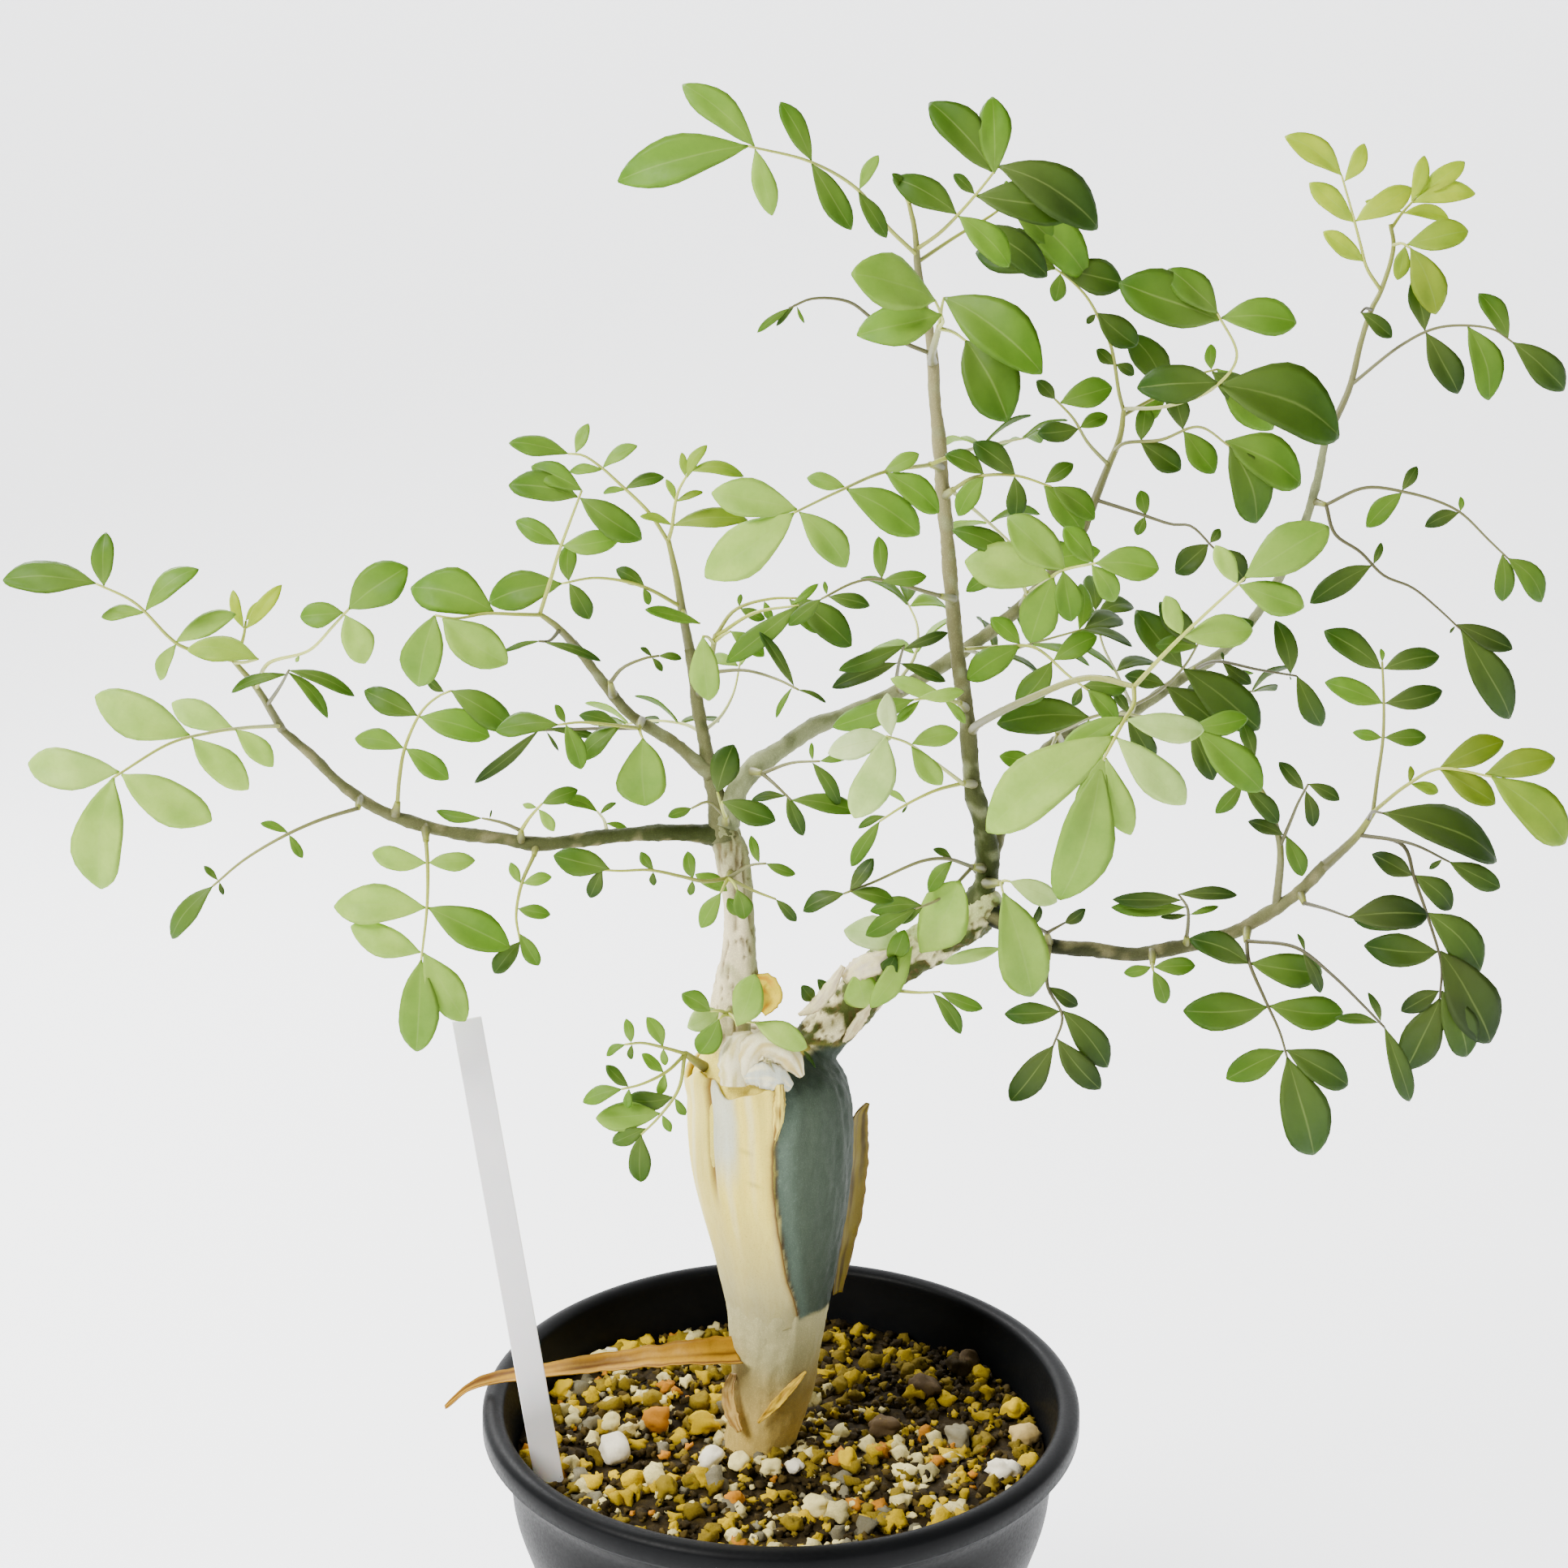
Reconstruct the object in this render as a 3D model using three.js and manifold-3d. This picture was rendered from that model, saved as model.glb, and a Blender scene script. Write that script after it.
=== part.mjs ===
// A bursera bonsai in its pot: swollen trunk base, peeling bark, branches and pinnate fronds.
// Millimetres, +Z up. The origin is the centre of the pot's flat bottom.

import * as THREE from 'three';
import { mergeVertices } from 'three/addons/utils/BufferGeometryUtils.js';
import Module from 'manifold-3d';

// Pot
const POT_HEIGHT = 105;
const RIM_RADIUS = 60;
const RIM_WIDTH = 4.5;
const RIM_DEPTH = 5;
const WALL = 1.6;
const FOOT_RADIUS = 38;
const FLOOR = 2.4;
const POT_SIDES = 20;
const POT_BELL = [
  { below: 9, radius: 55.6 },
  { below: 22, radius: 54 },
  { below: 32, radius: 51 },
  { below: 41, radius: 49 },
];
const DRAIN = { count: 6, radius: 4.5, ring: 24 };

// Soil and what lies in it
const SOIL_BELOW_RIM = 12;
const SOIL_TOP = POT_HEIGHT - SOIL_BELOW_RIM;
const SOIL_WAVE = 0.8;
const SOIL_RINGS = [0.92, 0.74, 0.56, 0.36];
const GRIT = 1.3;
const GAP = 0.3;
const START_GAP = 0.6;
const PEBBLES = [
  { u: 757, v: 1790, size: 8.2 }, { u: 752, v: 1756, size: 5.4 }, { u: 808, v: 1750, size: 7 },
  { u: 867, v: 1756, size: 6 }, { u: 874, v: 1800, size: 5.6 }, { u: 910, v: 1806, size: 5 },
  { u: 1005, v: 1856, size: 5.6 }, { u: 1046, v: 1804, size: 5.4 },
  { u: 1238, v: 1815, size: 6.4 }, { u: 1255, v: 1738, size: 6.8 }, { u: 1140, v: 1716, size: 7 },
  { u: 700, v: 1660, size: 6.2 }, { u: 1090, v: 1760, size: 6 },
  { u: 1180, v: 1770, size: 6.6 }, { u: 820, v: 1840, size: 5.6 },
];

// Loose bark: a thin sheet round the left of the base between two turns (degrees from the front,
// positive to the right), and ribbons whose places carry their width
const BARK = 0.62;
const SHEET = {
  back: -168,
  clear: 0.6,
  steps: 8,
  edge: [{ up: 32, turn: 22 }, { up: 41, turn: 9 }, { up: 51.8, turn: 3 }, { up: 60.5, turn: 1 },
    { up: 70, turn: 1 }, { up: 78, turn: 8 }],
};
const RIBBONS = {
  bark_curl_left: {
    color: 0xd2994b, facing: [0, -0.45, 1], gutter: 0.16,
    route: [[912, 1662, -6.2, 7], [868, 1665, -8, 6.4], [812, 1670, -7.6, 5.4], [745, 1678, -6, 4.6],
      [672, 1688, -4, 3.6], [612, 1697, -2, 3], [576, 1710, -1, 2], [548, 1734, 0, 0.8]],
  },
  bark_flap_right: {
    color: 0xc9a14a, facing: [0.75, -0.66, 0.1], gutter: 0.12,
    route: [[1071, 1360, 1, 0.9], [1064, 1376, 1.5, 4], [1063, 1432, 2, 5], [1056, 1500, 2, 4.6],
      [1045, 1552, 2, 3.8], [1036, 1594, 2, 2.6]],
  },
  bark_curl_top: {
    color: 0xe6d9a6, facing: [0, -1, 0.2], gutter: 0.1,
    route: [[916, 1338, -13.4, 2.4], [931, 1302, -13.2, 5], [954, 1290, -13, 6.4],
      [976, 1302, -13.2, 5], [990, 1340, -13.4, 2]],
  },
  bark_strip_foot: {
    color: 0xd0a85a, facing: [-0.5, -0.8, 0.2], gutter: 0.1,
    route: [[904, 1692, -3.6, 1.6], [897, 1718, -6, 3], [902, 1744, -7.6, 3.2],
      [912, 1764, -8.6, 1.4]],
  },
};

// Plant label: places carry its width; it stands in the soil behind the front left of the rim
const LABEL = {
  thick: 0.9,
  facing: [0.2, -1, 0.1],
  route: [[700, 1955, -16, 1.6], [695, 1925, -16, 5.6], [575, 1256, -9, 5.6]],
};

// Leaves
const BLADE = 0.66;
const RIB = 0.55;
const SHOOT_SIDES = 3;
const LONG_STALK = 22;
const ARCH = 0.28;
const TOP_PAIR = 1.4;
const LEAF_GREEN = 0x6f9a4a;

// The eye that the routes are sighted from: a place is [u, v, y], u and v in pixels across and
// down the picture, y the depth behind the pot's axis in mm. Further numbers are mm too.
const EYE = { x: 0.6, y: -397.5, z: 320, pitch: THREE.MathUtils.degToRad(12.75) };
const SIGHT = { focal: 2650, centre: 966 };

// Swollen base: height above the soil, radius and sideways place of each ring
const CAUDEX = [
  { up: -42, radius: 5.5, x: -6 },
  { up: -12, radius: 7.6, x: -5.4 },
  { up: 0, radius: 7.1, x: -4.6 },
  { up: 5.7, radius: 7.8, x: -2.9 },
  { up: 12.5, radius: 8.2, x: -1.4 },
  { up: 23, radius: 9.3, x: -1 },
  { up: 32, radius: 10.5, x: -0.6 },
  { up: 41, radius: 12.2, x: -0.7 },
  { up: 51.8, radius: 14.4, x: -1.1 },
  { up: 60.5, radius: 15.7, x: -1.6 },
  { up: 70, radius: 16.1, x: -1.8 },
  { up: 78, radius: 15.3, x: -2.1 },
  { up: 83, radius: 13.4, x: -3.4 },
  { up: 86.5, radius: 8, x: -3.6 },
];
const CAUDEX_SIDES = 14;

// Trunks and branches: each place has its diameter as a fourth number
const LIMBS = {
  trunk_left: {
    sides: 8,
    route: [[897, 1340, 0, 9.5], [895, 1280, -1, 8.6], [905, 1219, -1, 7.8], [911, 1171, -1, 7],
      [908, 1107, -1, 5.9], [901, 1053, -1, 6.7], [892, 1021, -1, 5.4], [890, 1008, -1, 3]],
  },
  trunk_right: {
    sides: 8,
    route: [[985, 1320, 2, 9.8], [1007, 1283, 2, 9.6], [1045, 1244, 3, 9.2], [1080, 1203, 4, 9],
      [1150, 1158, 5, 8.8], [1205, 1124, 6, 7.8], [1224, 1098, 6, 5.2]],
  },
  left_bough: {
    sides: 5,
    route: [[898, 1030, -1, 4.6], [863, 1027, -1, 3.4], [809, 1026, -2, 2.9], [748, 1031, -2, 2.8],
      [662, 1040, -3, 2.7], [617, 1033, -4, 2.6], [559, 1026, -5, 2.5], [510, 1014, -6, 2.4],
      [462, 995, -7, 2.2], [421, 967, -8, 2], [383, 930, -9, 1.8], [345, 897, -10, 1.6]],
  },
  middle_leader: {
    sides: 6,
    route: [[894, 1035, -1, 5], [882, 980, 0, 3.6], [873, 941, 1, 2.8], [867, 908, 1, 2.6],
      [861, 878, 2, 2.4], [850, 800, 4, 2]],
  },
  upper_left_branch: {
    sides: 5,
    route: [[876, 955, 0, 2.4], [830, 915, -1, 2.3], [775, 879, -2, 2.1], [737, 832, -3, 1.9],
      [706, 792, -4, 1.6]],
  },
  crossing_branch: {
    sides: 6,
    route: [[893, 1018, -1, 4.6], [908, 975, 0, 4], [927, 948, 1, 3.9], [960, 925, 3, 3.6],
      [1000, 897, 6, 3.4], [1045, 880, 10, 3.2], [1110, 850, 15, 3], [1190, 800, 21, 2.8],
      [1260, 745, 25, 2.4], [1327, 664, 28, 2.1], [1345, 627, 29, 1.9]],
  },
  tall_leader: {
    sides: 6,
    route: [[1190, 1130, 6, 5], [1215, 1085, 6, 4.4], [1211, 1015, 5, 4], [1199, 972, 4, 3.6],
      [1195, 929, 4, 3.2], [1190, 870, 3, 3], [1181, 817, 3, 2.9], [1176, 771, 3, 2.8],
      [1167, 664, 2, 2.7], [1161, 602, 2, 2.7], [1157, 541, 2, 2.5], [1152, 495, 2, 2.3],
      [1148, 430, 2, 2], [1137, 370, 2, 1.6]],
  },
  far_right_branch: {
    sides: 5,
    route: [[1212, 1075, 6, 4], [1235, 1010, 14, 3.4], [1268, 950, 24, 3], [1310, 910, 35, 2.8],
      [1390, 880, 48, 2.6], [1450, 840, 54, 2.4], [1510, 800, 58, 2.2], [1560, 740, 60, 2],
      [1605, 650, 60, 1.9], [1622, 597, 60, 1.8], [1634, 535, 60, 1.6]],
  },
  right_bough: {
    sides: 5,
    route: [[1200, 1118, 6, 4.6], [1228, 1130, 4, 3.8], [1285, 1163, 2, 3], [1348, 1170, 0, 2.9],
      [1394, 1176, -1, 2.8], [1452, 1167, -2, 2.8], [1510, 1153, -3, 2.7], [1556, 1129, -4, 2.5],
      [1598, 1101, -5, 2.3], [1633, 1065, -6, 2.1]],
  },
};

// Which way a frond's upper side looks
const FRONT = [0, -1, 0.35];
const FRONT_SKY = [0, -0.8, 0.8];
const BACK_SKY = [0, 0.7, 0.7];

// Leafy shoots. Each has a stem (places with diameters) and fronds: a route from the stem to the
// end leaflet, each pair of leaflets from the bottom up, and the end one as tip. A pair is the
// one or two places where its tips are seen, or a length in mm, and so is the tip.
const SHOOTS = {
  left_tip: {
    stem: [[348, 900, -10, 1.7], [318, 850, -12, 1.5], [286, 812, -14, 1.2]],
    fronds: [
      { route: [[288, 814, -14], [225, 797, -18], [208, 785, -20], [165, 742, -23],
        [118, 719, -25]], pairs: [[[197, 838], [288, 757]], [[124, 755], [240, 700]], [[122, 657]]],
        tip: [2, 712], face: FRONT_SKY, first: 0.38 },
      { route: [[290, 816, -14], [300, 785, -13], [303, 765, -12]],
        pairs: [[[284, 728], [342, 720]]], tip: [318, 738], face: FRONT, first: 0.5, wide: 0.3 },
      { route: [[290, 816, -14], [302, 816, -19], [318, 812, -23]], pairs: [], tip: [232, 790],
        face: FRONT_SKY, first: 0.5 },
      { route: [[316, 847, -12], [330, 818, -25], [383, 800, -42], [410, 772, -48], [430, 750, -50]],
        pairs: [[[365, 816]], [[369, 757], [452, 817]]], tip: [500, 697], face: FRONT,
        first: 0.62, wide: 0.62 },
      { route: [[330, 868, -11], [345, 846, -18], [356, 826, -24]], pairs: [[[407, 882], [281, 851]]],
        tip: [435, 860], face: FRONT_SKY, first: 0.5, wide: 0.24 },
      { route: [[345, 896, -11], [300, 897, -28], [258, 903, -42], [205, 918, -54], [140, 958, -62]],
        pairs: [[[210, 868], [338, 943]], [[112, 868], [300, 978]], [[30, 938], [257, 1018]]],
        tip: [122, 1098], face: FRONT, first: 0.4 },
    ],
  },
  left_bough_end_drooping: {
    stem: [[443, 984, -8, 1.8], [441, 996, -12, 1.4]],
    fronds: [
      { route: [[441, 995, -12], [395, 1010, -15], [350, 1030, -18], [300, 1060, -20],
        [262, 1092, -22]], pairs: [[[372, 1058], [322, 1012]], [[276, 1103], [250, 1068]]],
        tip: [209, 1160], face: FRONT_SKY, first: 0.45, wide: 0.36 },
    ],
  },
  left_bough_hanging: {
    stem: [[524, 1018, -6, 2], [525, 1036, -9, 1.6]],
    fronds: [
      { route: [[525, 1034, -9], [527, 1071, -12], [526, 1119, -14], [519, 1183, -16]],
        pairs: [[[457, 1056], [584, 1058]], [[411, 1110], [632, 1158]], [[429, 1150], [577, 1257]]],
        tip: [503, 1293], face: FRONT, first: 0.2, wide: 0.44 },
    ],
  },
  left_bough_small: {
    stem: [[661, 1040, -3, 1.8], [658, 1054, -6, 1.3]],
    fronds: [
      { route: [[658, 1052, -6], [643, 1088, -9], [636, 1129, -10], [641, 1160, -11]],
        pairs: [[[627, 1064], [680, 1083]], [[678, 1128]], [[661, 1191]]], tip: [612, 1203],
        face: FRONT, first: 0.35 },
    ],
  },
  left_bough_upright: {
    stem: [[487, 1004, -7, 2], [490, 988, -8, 1.5]],
    fronds: [
      { route: [[490, 990, -8], [492, 960, -8], [499, 921, -7], [520, 876, -6], [540, 858, -5],
        [556, 851, -5]], pairs: [[[437, 905], [556, 955]], [[448, 850], [602, 912]], [[524, 836]]],
        tip: [635, 891], face: FRONT, first: 0.42 },
    ],
  },
  upper_left_end: {
    stem: [[709, 796, -4, 1.7], [685, 771, -5, 1.5], [663, 755, -6, 1.2]],
    fronds: [
      { route: [[665, 757, -6], [677, 719, -10], [688, 682, -13], [706, 633, -15],
        [717, 604, -15]], pairs: [[[633, 646], [763, 667]], [[628, 592], [792, 663]]],
        tip: [652, 578], face: FRONT, first: 0.6 },
      { route: [[667, 758, -6], [636, 757, -11], [600, 756, -14], [560, 762, -17], [536, 758, -18]],
        pairs: [[[508, 714]], [[619, 825]]], tip: [514, 848], face: FRONT, first: 0.5, wide: 0.56 },
      { route: [[690, 776, -5], [676, 790, -10], [664, 790, -12]], pairs: [[[742, 808]]],
        tip: [620, 800], face: FRONT_SKY, first: 0.4, wide: 0.2 },
    ],
  },
  leader_tip: {
    stem: [[851, 806, 4, 2], [840, 749, 4, 1.8], [834, 713, 4, 1.6], [823, 664, 4, 1.3]],
    fronds: [
      { route: [[824, 668, 4], [800, 632, 3], [760, 593, 2], [741, 576, 1], [718, 561, 0],
        [700, 559, 0]], pairs: [[[743, 606], [818, 588]], [[702, 581], [785, 549]], [[722, 521]]],
        tip: [627, 545], face: FRONT_SKY, first: 0.5 },
      { route: [[823, 666, 4], [828, 650, 2], [830, 633, 1], [836, 605, -1], [850, 580, -2]],
        pairs: [[[790, 632], [918, 627]], [[822, 590], [866, 606]], [[838, 558], [868, 547]]],
        tip: [916, 577], face: FRONT_SKY, first: 0.25, wide: 0.36 },
      { route: [[839, 748, 4], [790, 722, 0], [735, 712, -2], [692, 719, -4]],
        pairs: [[[758, 703], [801, 745]], [[699, 670], [728, 763]]], tip: [602, 748], face: FRONT,
        first: 0.36, wide: 0.5 },
      { route: [[840, 752, 3], [850, 765, -2], [862, 768, -5]], pairs: [], tip: [795, 750],
        face: FRONT_SKY, first: 0.5, wide: 0.3 },
    ],
  },
  upper_left_small: {
    stem: [[755, 856, -3, 1.8], [752, 840, -6, 1.3]],
    fronds: [
      { route: [[752, 842, -6], [767, 823, -7], [795, 811, -6], [812, 808, -5]],
        pairs: [[[789, 798], [815, 828]]], tip: [840, 812], face: FRONT_SKY, first: 0.4 },
    ],
  },
  upper_left_low: {
    stem: [[790, 888, -2, 1.9], [787, 897, -7, 1.4]],
    fronds: [
      { route: [[787, 896, -7], [750, 893, -13], [715, 890, -16], [688, 893, -18]],
        pairs: [[[714, 879], [713, 936]], [[683, 869], [714, 949]]], tip: [611, 906],
        face: FRONT_SKY, first: 0.3 },
      { route: [[788, 896, -6], [789, 903, -8], [792, 910, -9]], pairs: [], tip: [803, 995],
        face: FRONT, first: 0.5, wide: 0.72 },
      { route: [[787, 898, -7], [720, 898, -5], [664, 900, -4]], pairs: [[[690, 925], [740, 912]]],
        tip: [581, 963], face: FRONT, first: 0.7, wide: 0.16 },
    ],
  },
  leader_side: {
    stem: [[862, 856, 2, 1.9], [871, 832, -2, 1.6], [882, 782, -6, 1.3]],
    fronds: [
      { route: [[882, 785, -6], [905, 752, -6], [948, 738, -6], [982, 737, -6]],
        pairs: [[[943, 762], [914, 732]], [[952, 764]], [[1013, 778]]], tip: [1054, 791],
        face: FRONT, first: 0.4 },
      { route: [[882, 786, -6], [930, 755, -10], [984, 746, -13]], pairs: [[[1010, 722]]],
        tip: [901, 824], face: FRONT, first: 0.6, wide: 0.26 },
      { route: [[872, 828, -2], [918, 826, -8], [960, 838, -13], [984, 850, -16]],
        pairs: [[[943, 775], [957, 885]]], tip: [1018, 866], face: FRONT_SKY, first: 0.6, wide: 0.2 },
      { route: [[880, 792, -5], [872, 785, -10], [866, 784, -13]], pairs: [], tip: [869, 866],
        face: FRONT, first: 0.5, wide: 0.46 },
      { route: [[881, 790, -5], [892, 782, -9], [900, 778, -11]], pairs: [], tip: [942, 808],
        face: FRONT, first: 0.5, wide: 0.5 },
    ],
  },
  tall_leader_tip: {
    stem: [[1138, 375, 2, 1.7], [1131, 331, 1, 1.5], [1127, 283, 0, 1.2], [1119, 246, 0, 1.1]],
    fronds: [
      { route: [[1129, 314, 1], [1094, 280, -6], [1056, 233, -14], [1000, 200, -22],
        [922, 180, -31]],
        pairs: [[[1084, 192], [1091, 294]], [[959, 127], [1052, 281]], [[841, 103], [953, 265]]],
        tip: [763, 232], face: FRONT, first: 0.44, wide: 0.36 },
      { route: [[1129, 308, 0], [1160, 285, -4], [1189, 255, -7], [1212, 228, -9],
        [1230, 205, -10]],
        pairs: [[[1105, 212], [1243, 329]], [[1175, 214], [1328, 258]], [[1147, 124], [1221, 118]]],
        tip: [1361, 270], face: FRONT, first: 0.5 },
      { route: [[1130, 322, 2], [1180, 290, 10], [1222, 265, 16], [1248, 245, 20]],
        pairs: [[[1205, 300], [1298, 330]], [[1240, 222], [1310, 300]]], tip: [1342, 342],
        face: FRONT, first: 0.62, wide: 0.42 },
      { route: [[1119, 250, 0], [1113, 236, -3], [1110, 230, -4]], pairs: [], tip: 4, face: FRONT,
        first: 0.5 },
    ],
  },
  tall_leader_front: {
    stem: [[1149, 446, 1, 1.9], [1148, 438, -5, 1.6], [1152, 422, -14, 1.5],
      [1158, 400, -24, 1.4]],
    fronds: [
      { route: [[1148, 437, -6], [1110, 420, -8], [1075, 393, -10], [1046, 372, -12],
        [1001, 368, -14], [972, 380, -15]], pairs: [[[958, 403], [992, 398]]],
        tip: [931, 407], face: FRONT, first: 0.6, wide: 0.22 },
      { route: [[1158, 402, -23], [1158, 384, -30], [1152, 370, -33]], pairs: [],
        tip: [1048, 350, -42], face: FRONT, first: 0.5, wide: 0.56 },
      { route: [[1158, 404, -22], [1162, 396, -30], [1160, 388, -34]], pairs: [],
        tip: [1060, 411, -38], face: FRONT, first: 0.5, wide: 0.5 },
      { route: [[1158, 402, -23], [1160, 380, -29], [1163, 367, -32]], pairs: [],
        tip: [1290, 448, -40], face: FRONT, first: 0.5 },
      { route: [[1158, 404, -22], [1176, 410, -28], [1190, 420, -31]], pairs: [],
        tip: [1250, 512, -36], face: FRONT, first: 0.5, wide: 0.66 },
    ],
  },
  tall_leader_near: {
    stem: [[1160, 576, 2, 2], [1146, 572, -6, 1.5]],
    fronds: [
      { route: [[1147, 572, -5], [1088, 582, -22], [1032, 606, -38], [978, 632, -50]],
        pairs: [[[1160, 628], [1133, 560]], [[994, 590], [1131, 664]], [[876, 611], [1043, 700]]],
        tip: [876, 720], face: FRONT, first: 0.36, wide: 0.46 },
      { route: [[1147, 572, -6], [1172, 562, -5], [1202, 552, 10], [1236, 545, 26],
        [1262, 540, 36]], pairs: [10, 10], tip: 10, face: BACK_SKY, first: 0.5 },
    ],
  },
  tall_leader_left: {
    stem: [[1174, 738, 2, 2], [1158, 734, -4, 1.4]],
    fronds: [
      { route: [[1159, 734, -4], [1080, 714, -10], [1052, 718, -12], [1012, 738, -15]],
        pairs: [[[1141, 706], [1078, 662]], [[1016, 716], [1072, 748]]], tip: [972, 772],
        face: FRONT, first: 0.5, wide: 0.38 },
    ],
  },
  crossing_tip: {
    stem: [[1342, 634, 29, 1.9], [1364, 578, 31, 1.7], [1380, 538, 32, 1.5], [1385, 502, 32, 1.3]],
    fronds: [
      { route: [[1384, 506, 32], [1379, 485, 30], [1369, 427, 28], [1354, 392, 26],
        [1339, 366, 25], [1319, 345, 24], [1300, 331, 23]],
        pairs: [[[1398, 462], [1350, 432]], [[1338, 398], [1397, 430]], [[1300, 372], [1386, 342]]],
        tip: [1205, 305], face: FRONT, first: 0.3, wide: 0.6 },
      { route: [[1366, 572, 30], [1340, 545, 26], [1322, 515, 22], [1300, 492, 20]],
        pairs: [[[1279, 537], [1364, 510]], [[1372, 480]]], tip: [1278, 468],
        face: FRONT, first: 0.6, wide: 0.56 },
      { route: [[1384, 512, 33], [1410, 497, 37], [1440, 482, 40], [1475, 462, 44], [1500, 455, 46]],
        pairs: [[[1398, 408], [1402, 520]], [[1491, 424], [1551, 518]]], tip: [1572, 528],
        face: FRONT, first: 0.48, wide: 0.5 },
      { route: [[1374, 556, 31], [1386, 546, 27], [1430, 542, 22], [1478, 526, 16], [1515, 550, 12]],
        pairs: [[[1454, 580], [1408, 500]], [[1500, 580], [1450, 480]], [[1610, 586]]],
        tip: [1557, 642], face: FRONT, first: 0.3, wide: 0.56 },
      { route: [[1385, 504, 31], [1440, 500, 4], [1498, 476, -18], [1524, 436, -30],
        [1500, 386, -36]], pairs: [[[1402, 478], [1662, 518]], [[1380, 346], [1600, 396]]],
        tip: [1443, 329], face: FRONT, first: 0.7, wide: 0.52 },
      { route: [[1349, 616, 30], [1401, 632, 26], [1444, 646, 23], [1467, 648, 21], [1496, 676, 18]],
        pairs: [[[1402, 660], [1405, 604]], [[1446, 703], [1504, 652]]], tip: [1536, 716],
        face: FRONT, first: 0.4, wide: 0.6 },
    ],
  },
  crown_right: {
    stem: [[1178, 800, 3, 2], [1188, 800, 10, 1.5]],
    fronds: [
      { route: [[1187, 801, 9], [1225, 806, 30], [1282, 790, 48], [1336, 775, 58]],
        pairs: [11, 13, 12], tip: 13, face: FRONT_SKY, first: 0.4 },
      { route: [[1187, 801, 9], [1230, 797, 4], [1275, 798, -2], [1316, 832, -8], [1340, 850, -12]],
        pairs: [[[1190, 834], [1225, 758]], [[1256, 872], [1354, 788]], [[1322, 870], [1388, 845]]],
        tip: [1378, 888], face: FRONT, first: 0.42, wide: 0.5 },
    ],
  },
  crown_upper: {
    stem: [[1163, 612, 2, 2], [1175, 603, -3, 1.5]],
    fronds: [
      { route: [[1174, 604, -3], [1201, 588, -6], [1251, 586, -8], [1296, 600, -9]],
        pairs: [[[1167, 556], [1177, 633]], [[1202, 542], [1250, 640]], [[1335, 656], [1322, 570]]],
        tip: [1350, 638], face: FRONT, first: 0.36, wide: 0.5 },
      { route: [[1174, 604, -2], [1214, 640, 24], [1248, 672, 42], [1262, 690, 54]],
        pairs: [11, 12], tip: 12, face: BACK_SKY, first: 0.5 },
    ],
  },
  crown_middle: {
    stem: [[1260, 747, 24, 1.9], [1265, 732, 16, 1.5]],
    fronds: [
      { route: [[1264, 733, 17], [1290, 715, 0], [1312, 702, -20], [1350, 694, -34]],
        pairs: [[[1190, 690], [1268, 792]], [[1240, 640], [1322, 766]], [[1372, 744], [1310, 650]]],
        tip: [1428, 704], face: FRONT, first: 0.45, wide: 0.56 },
      { route: [[1264, 734, 16], [1258, 712, 4], [1252, 690, -4]], pairs: [[[1357, 678], [1190, 728]]],
        tip: [1178, 646], face: FRONT, first: 0.5, wide: 0.34 },
    ],
  },
  crown_far: {
    stem: [[1392, 878, 48, 1.9], [1397, 868, 42, 1.5]],
    fronds: [
      { route: [[1396, 869, 43], [1430, 850, 38], [1460, 820, 32], [1478, 790, 28]],
        pairs: [[[1387, 832], [1500, 905]], [[1407, 750], [1546, 905]], [[1436, 738], [1425, 790]]],
        tip: [1546, 768], face: FRONT, first: 0.4, wide: 0.46 },
      { route: [[1396, 869, 44], [1376, 830, 60], [1358, 792, 72], [1350, 752, 80]],
        pairs: [11, 12], tip: 12, face: BACK_SKY, first: 0.45 },
    ],
  },
  crown_low: {
    stem: [[1306, 913, 33, 1.9], [1303, 902, 26, 1.5]],
    fronds: [
      { route: [[1303, 903, 26], [1360, 880, 6], [1420, 885, -12], [1475, 900, -20]],
        pairs: [[[1229, 880], [1330, 925]], [[1376, 850], [1420, 940]], [[1540, 890], [1500, 960]]],
        tip: [1556, 978], face: FRONT, first: 0.3, wide: 0.42 },
      { route: [[1303, 904, 27], [1290, 930, 16], [1272, 950, 12]], pairs: [[[1232, 930], [1300, 985]]],
        tip: [1232, 1004], face: FRONT, first: 0.6, wide: 0.5 },
    ],
  },
  crossing_middle: {
    stem: [[1110, 850, 14, 1.9], [1104, 838, 8, 1.4]],
    fronds: [
      { route: [[1104, 839, 8], [1108, 815, 2], [1114, 795, -3]],
        pairs: [[[1027, 852], [1168, 834]], [[1070, 812], [1168, 779]]], tip: [1034, 829],
        face: FRONT, first: 0.5, wide: 0.26 },
      { route: [[1105, 840, 10], [1128, 806, 26], [1130, 770, 38], [1118, 742, 46]],
        pairs: [10.5, 11], tip: 11, face: BACK_SKY, first: 0.45 },
    ],
  },
  tall_leader_low_left: {
    stem: [[1189, 872, 2, 2], [1182, 866, -5, 1.4]],
    fronds: [
      { route: [[1183, 867, -5], [1155, 860, -11], [1126, 862, -15]],
        pairs: [[[1100, 832], [1189, 892]], [[1188, 852], [1100, 888]]], tip: [1024, 889],
        face: FRONT, first: 0.4, wide: 0.32 },
    ],
  },
  tall_leader_low_front: {
    stem: [[1199, 966, 3, 2], [1186, 965, -4, 1.5]],
    fronds: [
      { route: [[1187, 965, -4], [1150, 975, -10], [1110, 995, -14], [1084, 1012, -16]],
        pairs: [[[1092, 974], [1112, 1002]], [[1056, 1018]]], tip: [1048, 1068],
        face: FRONT, first: 0.7, wide: 0.3 },
      { route: [[1187, 964, -4], [1150, 938, -22], [1115, 914, -36], [1092, 907, -40]],
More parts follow.
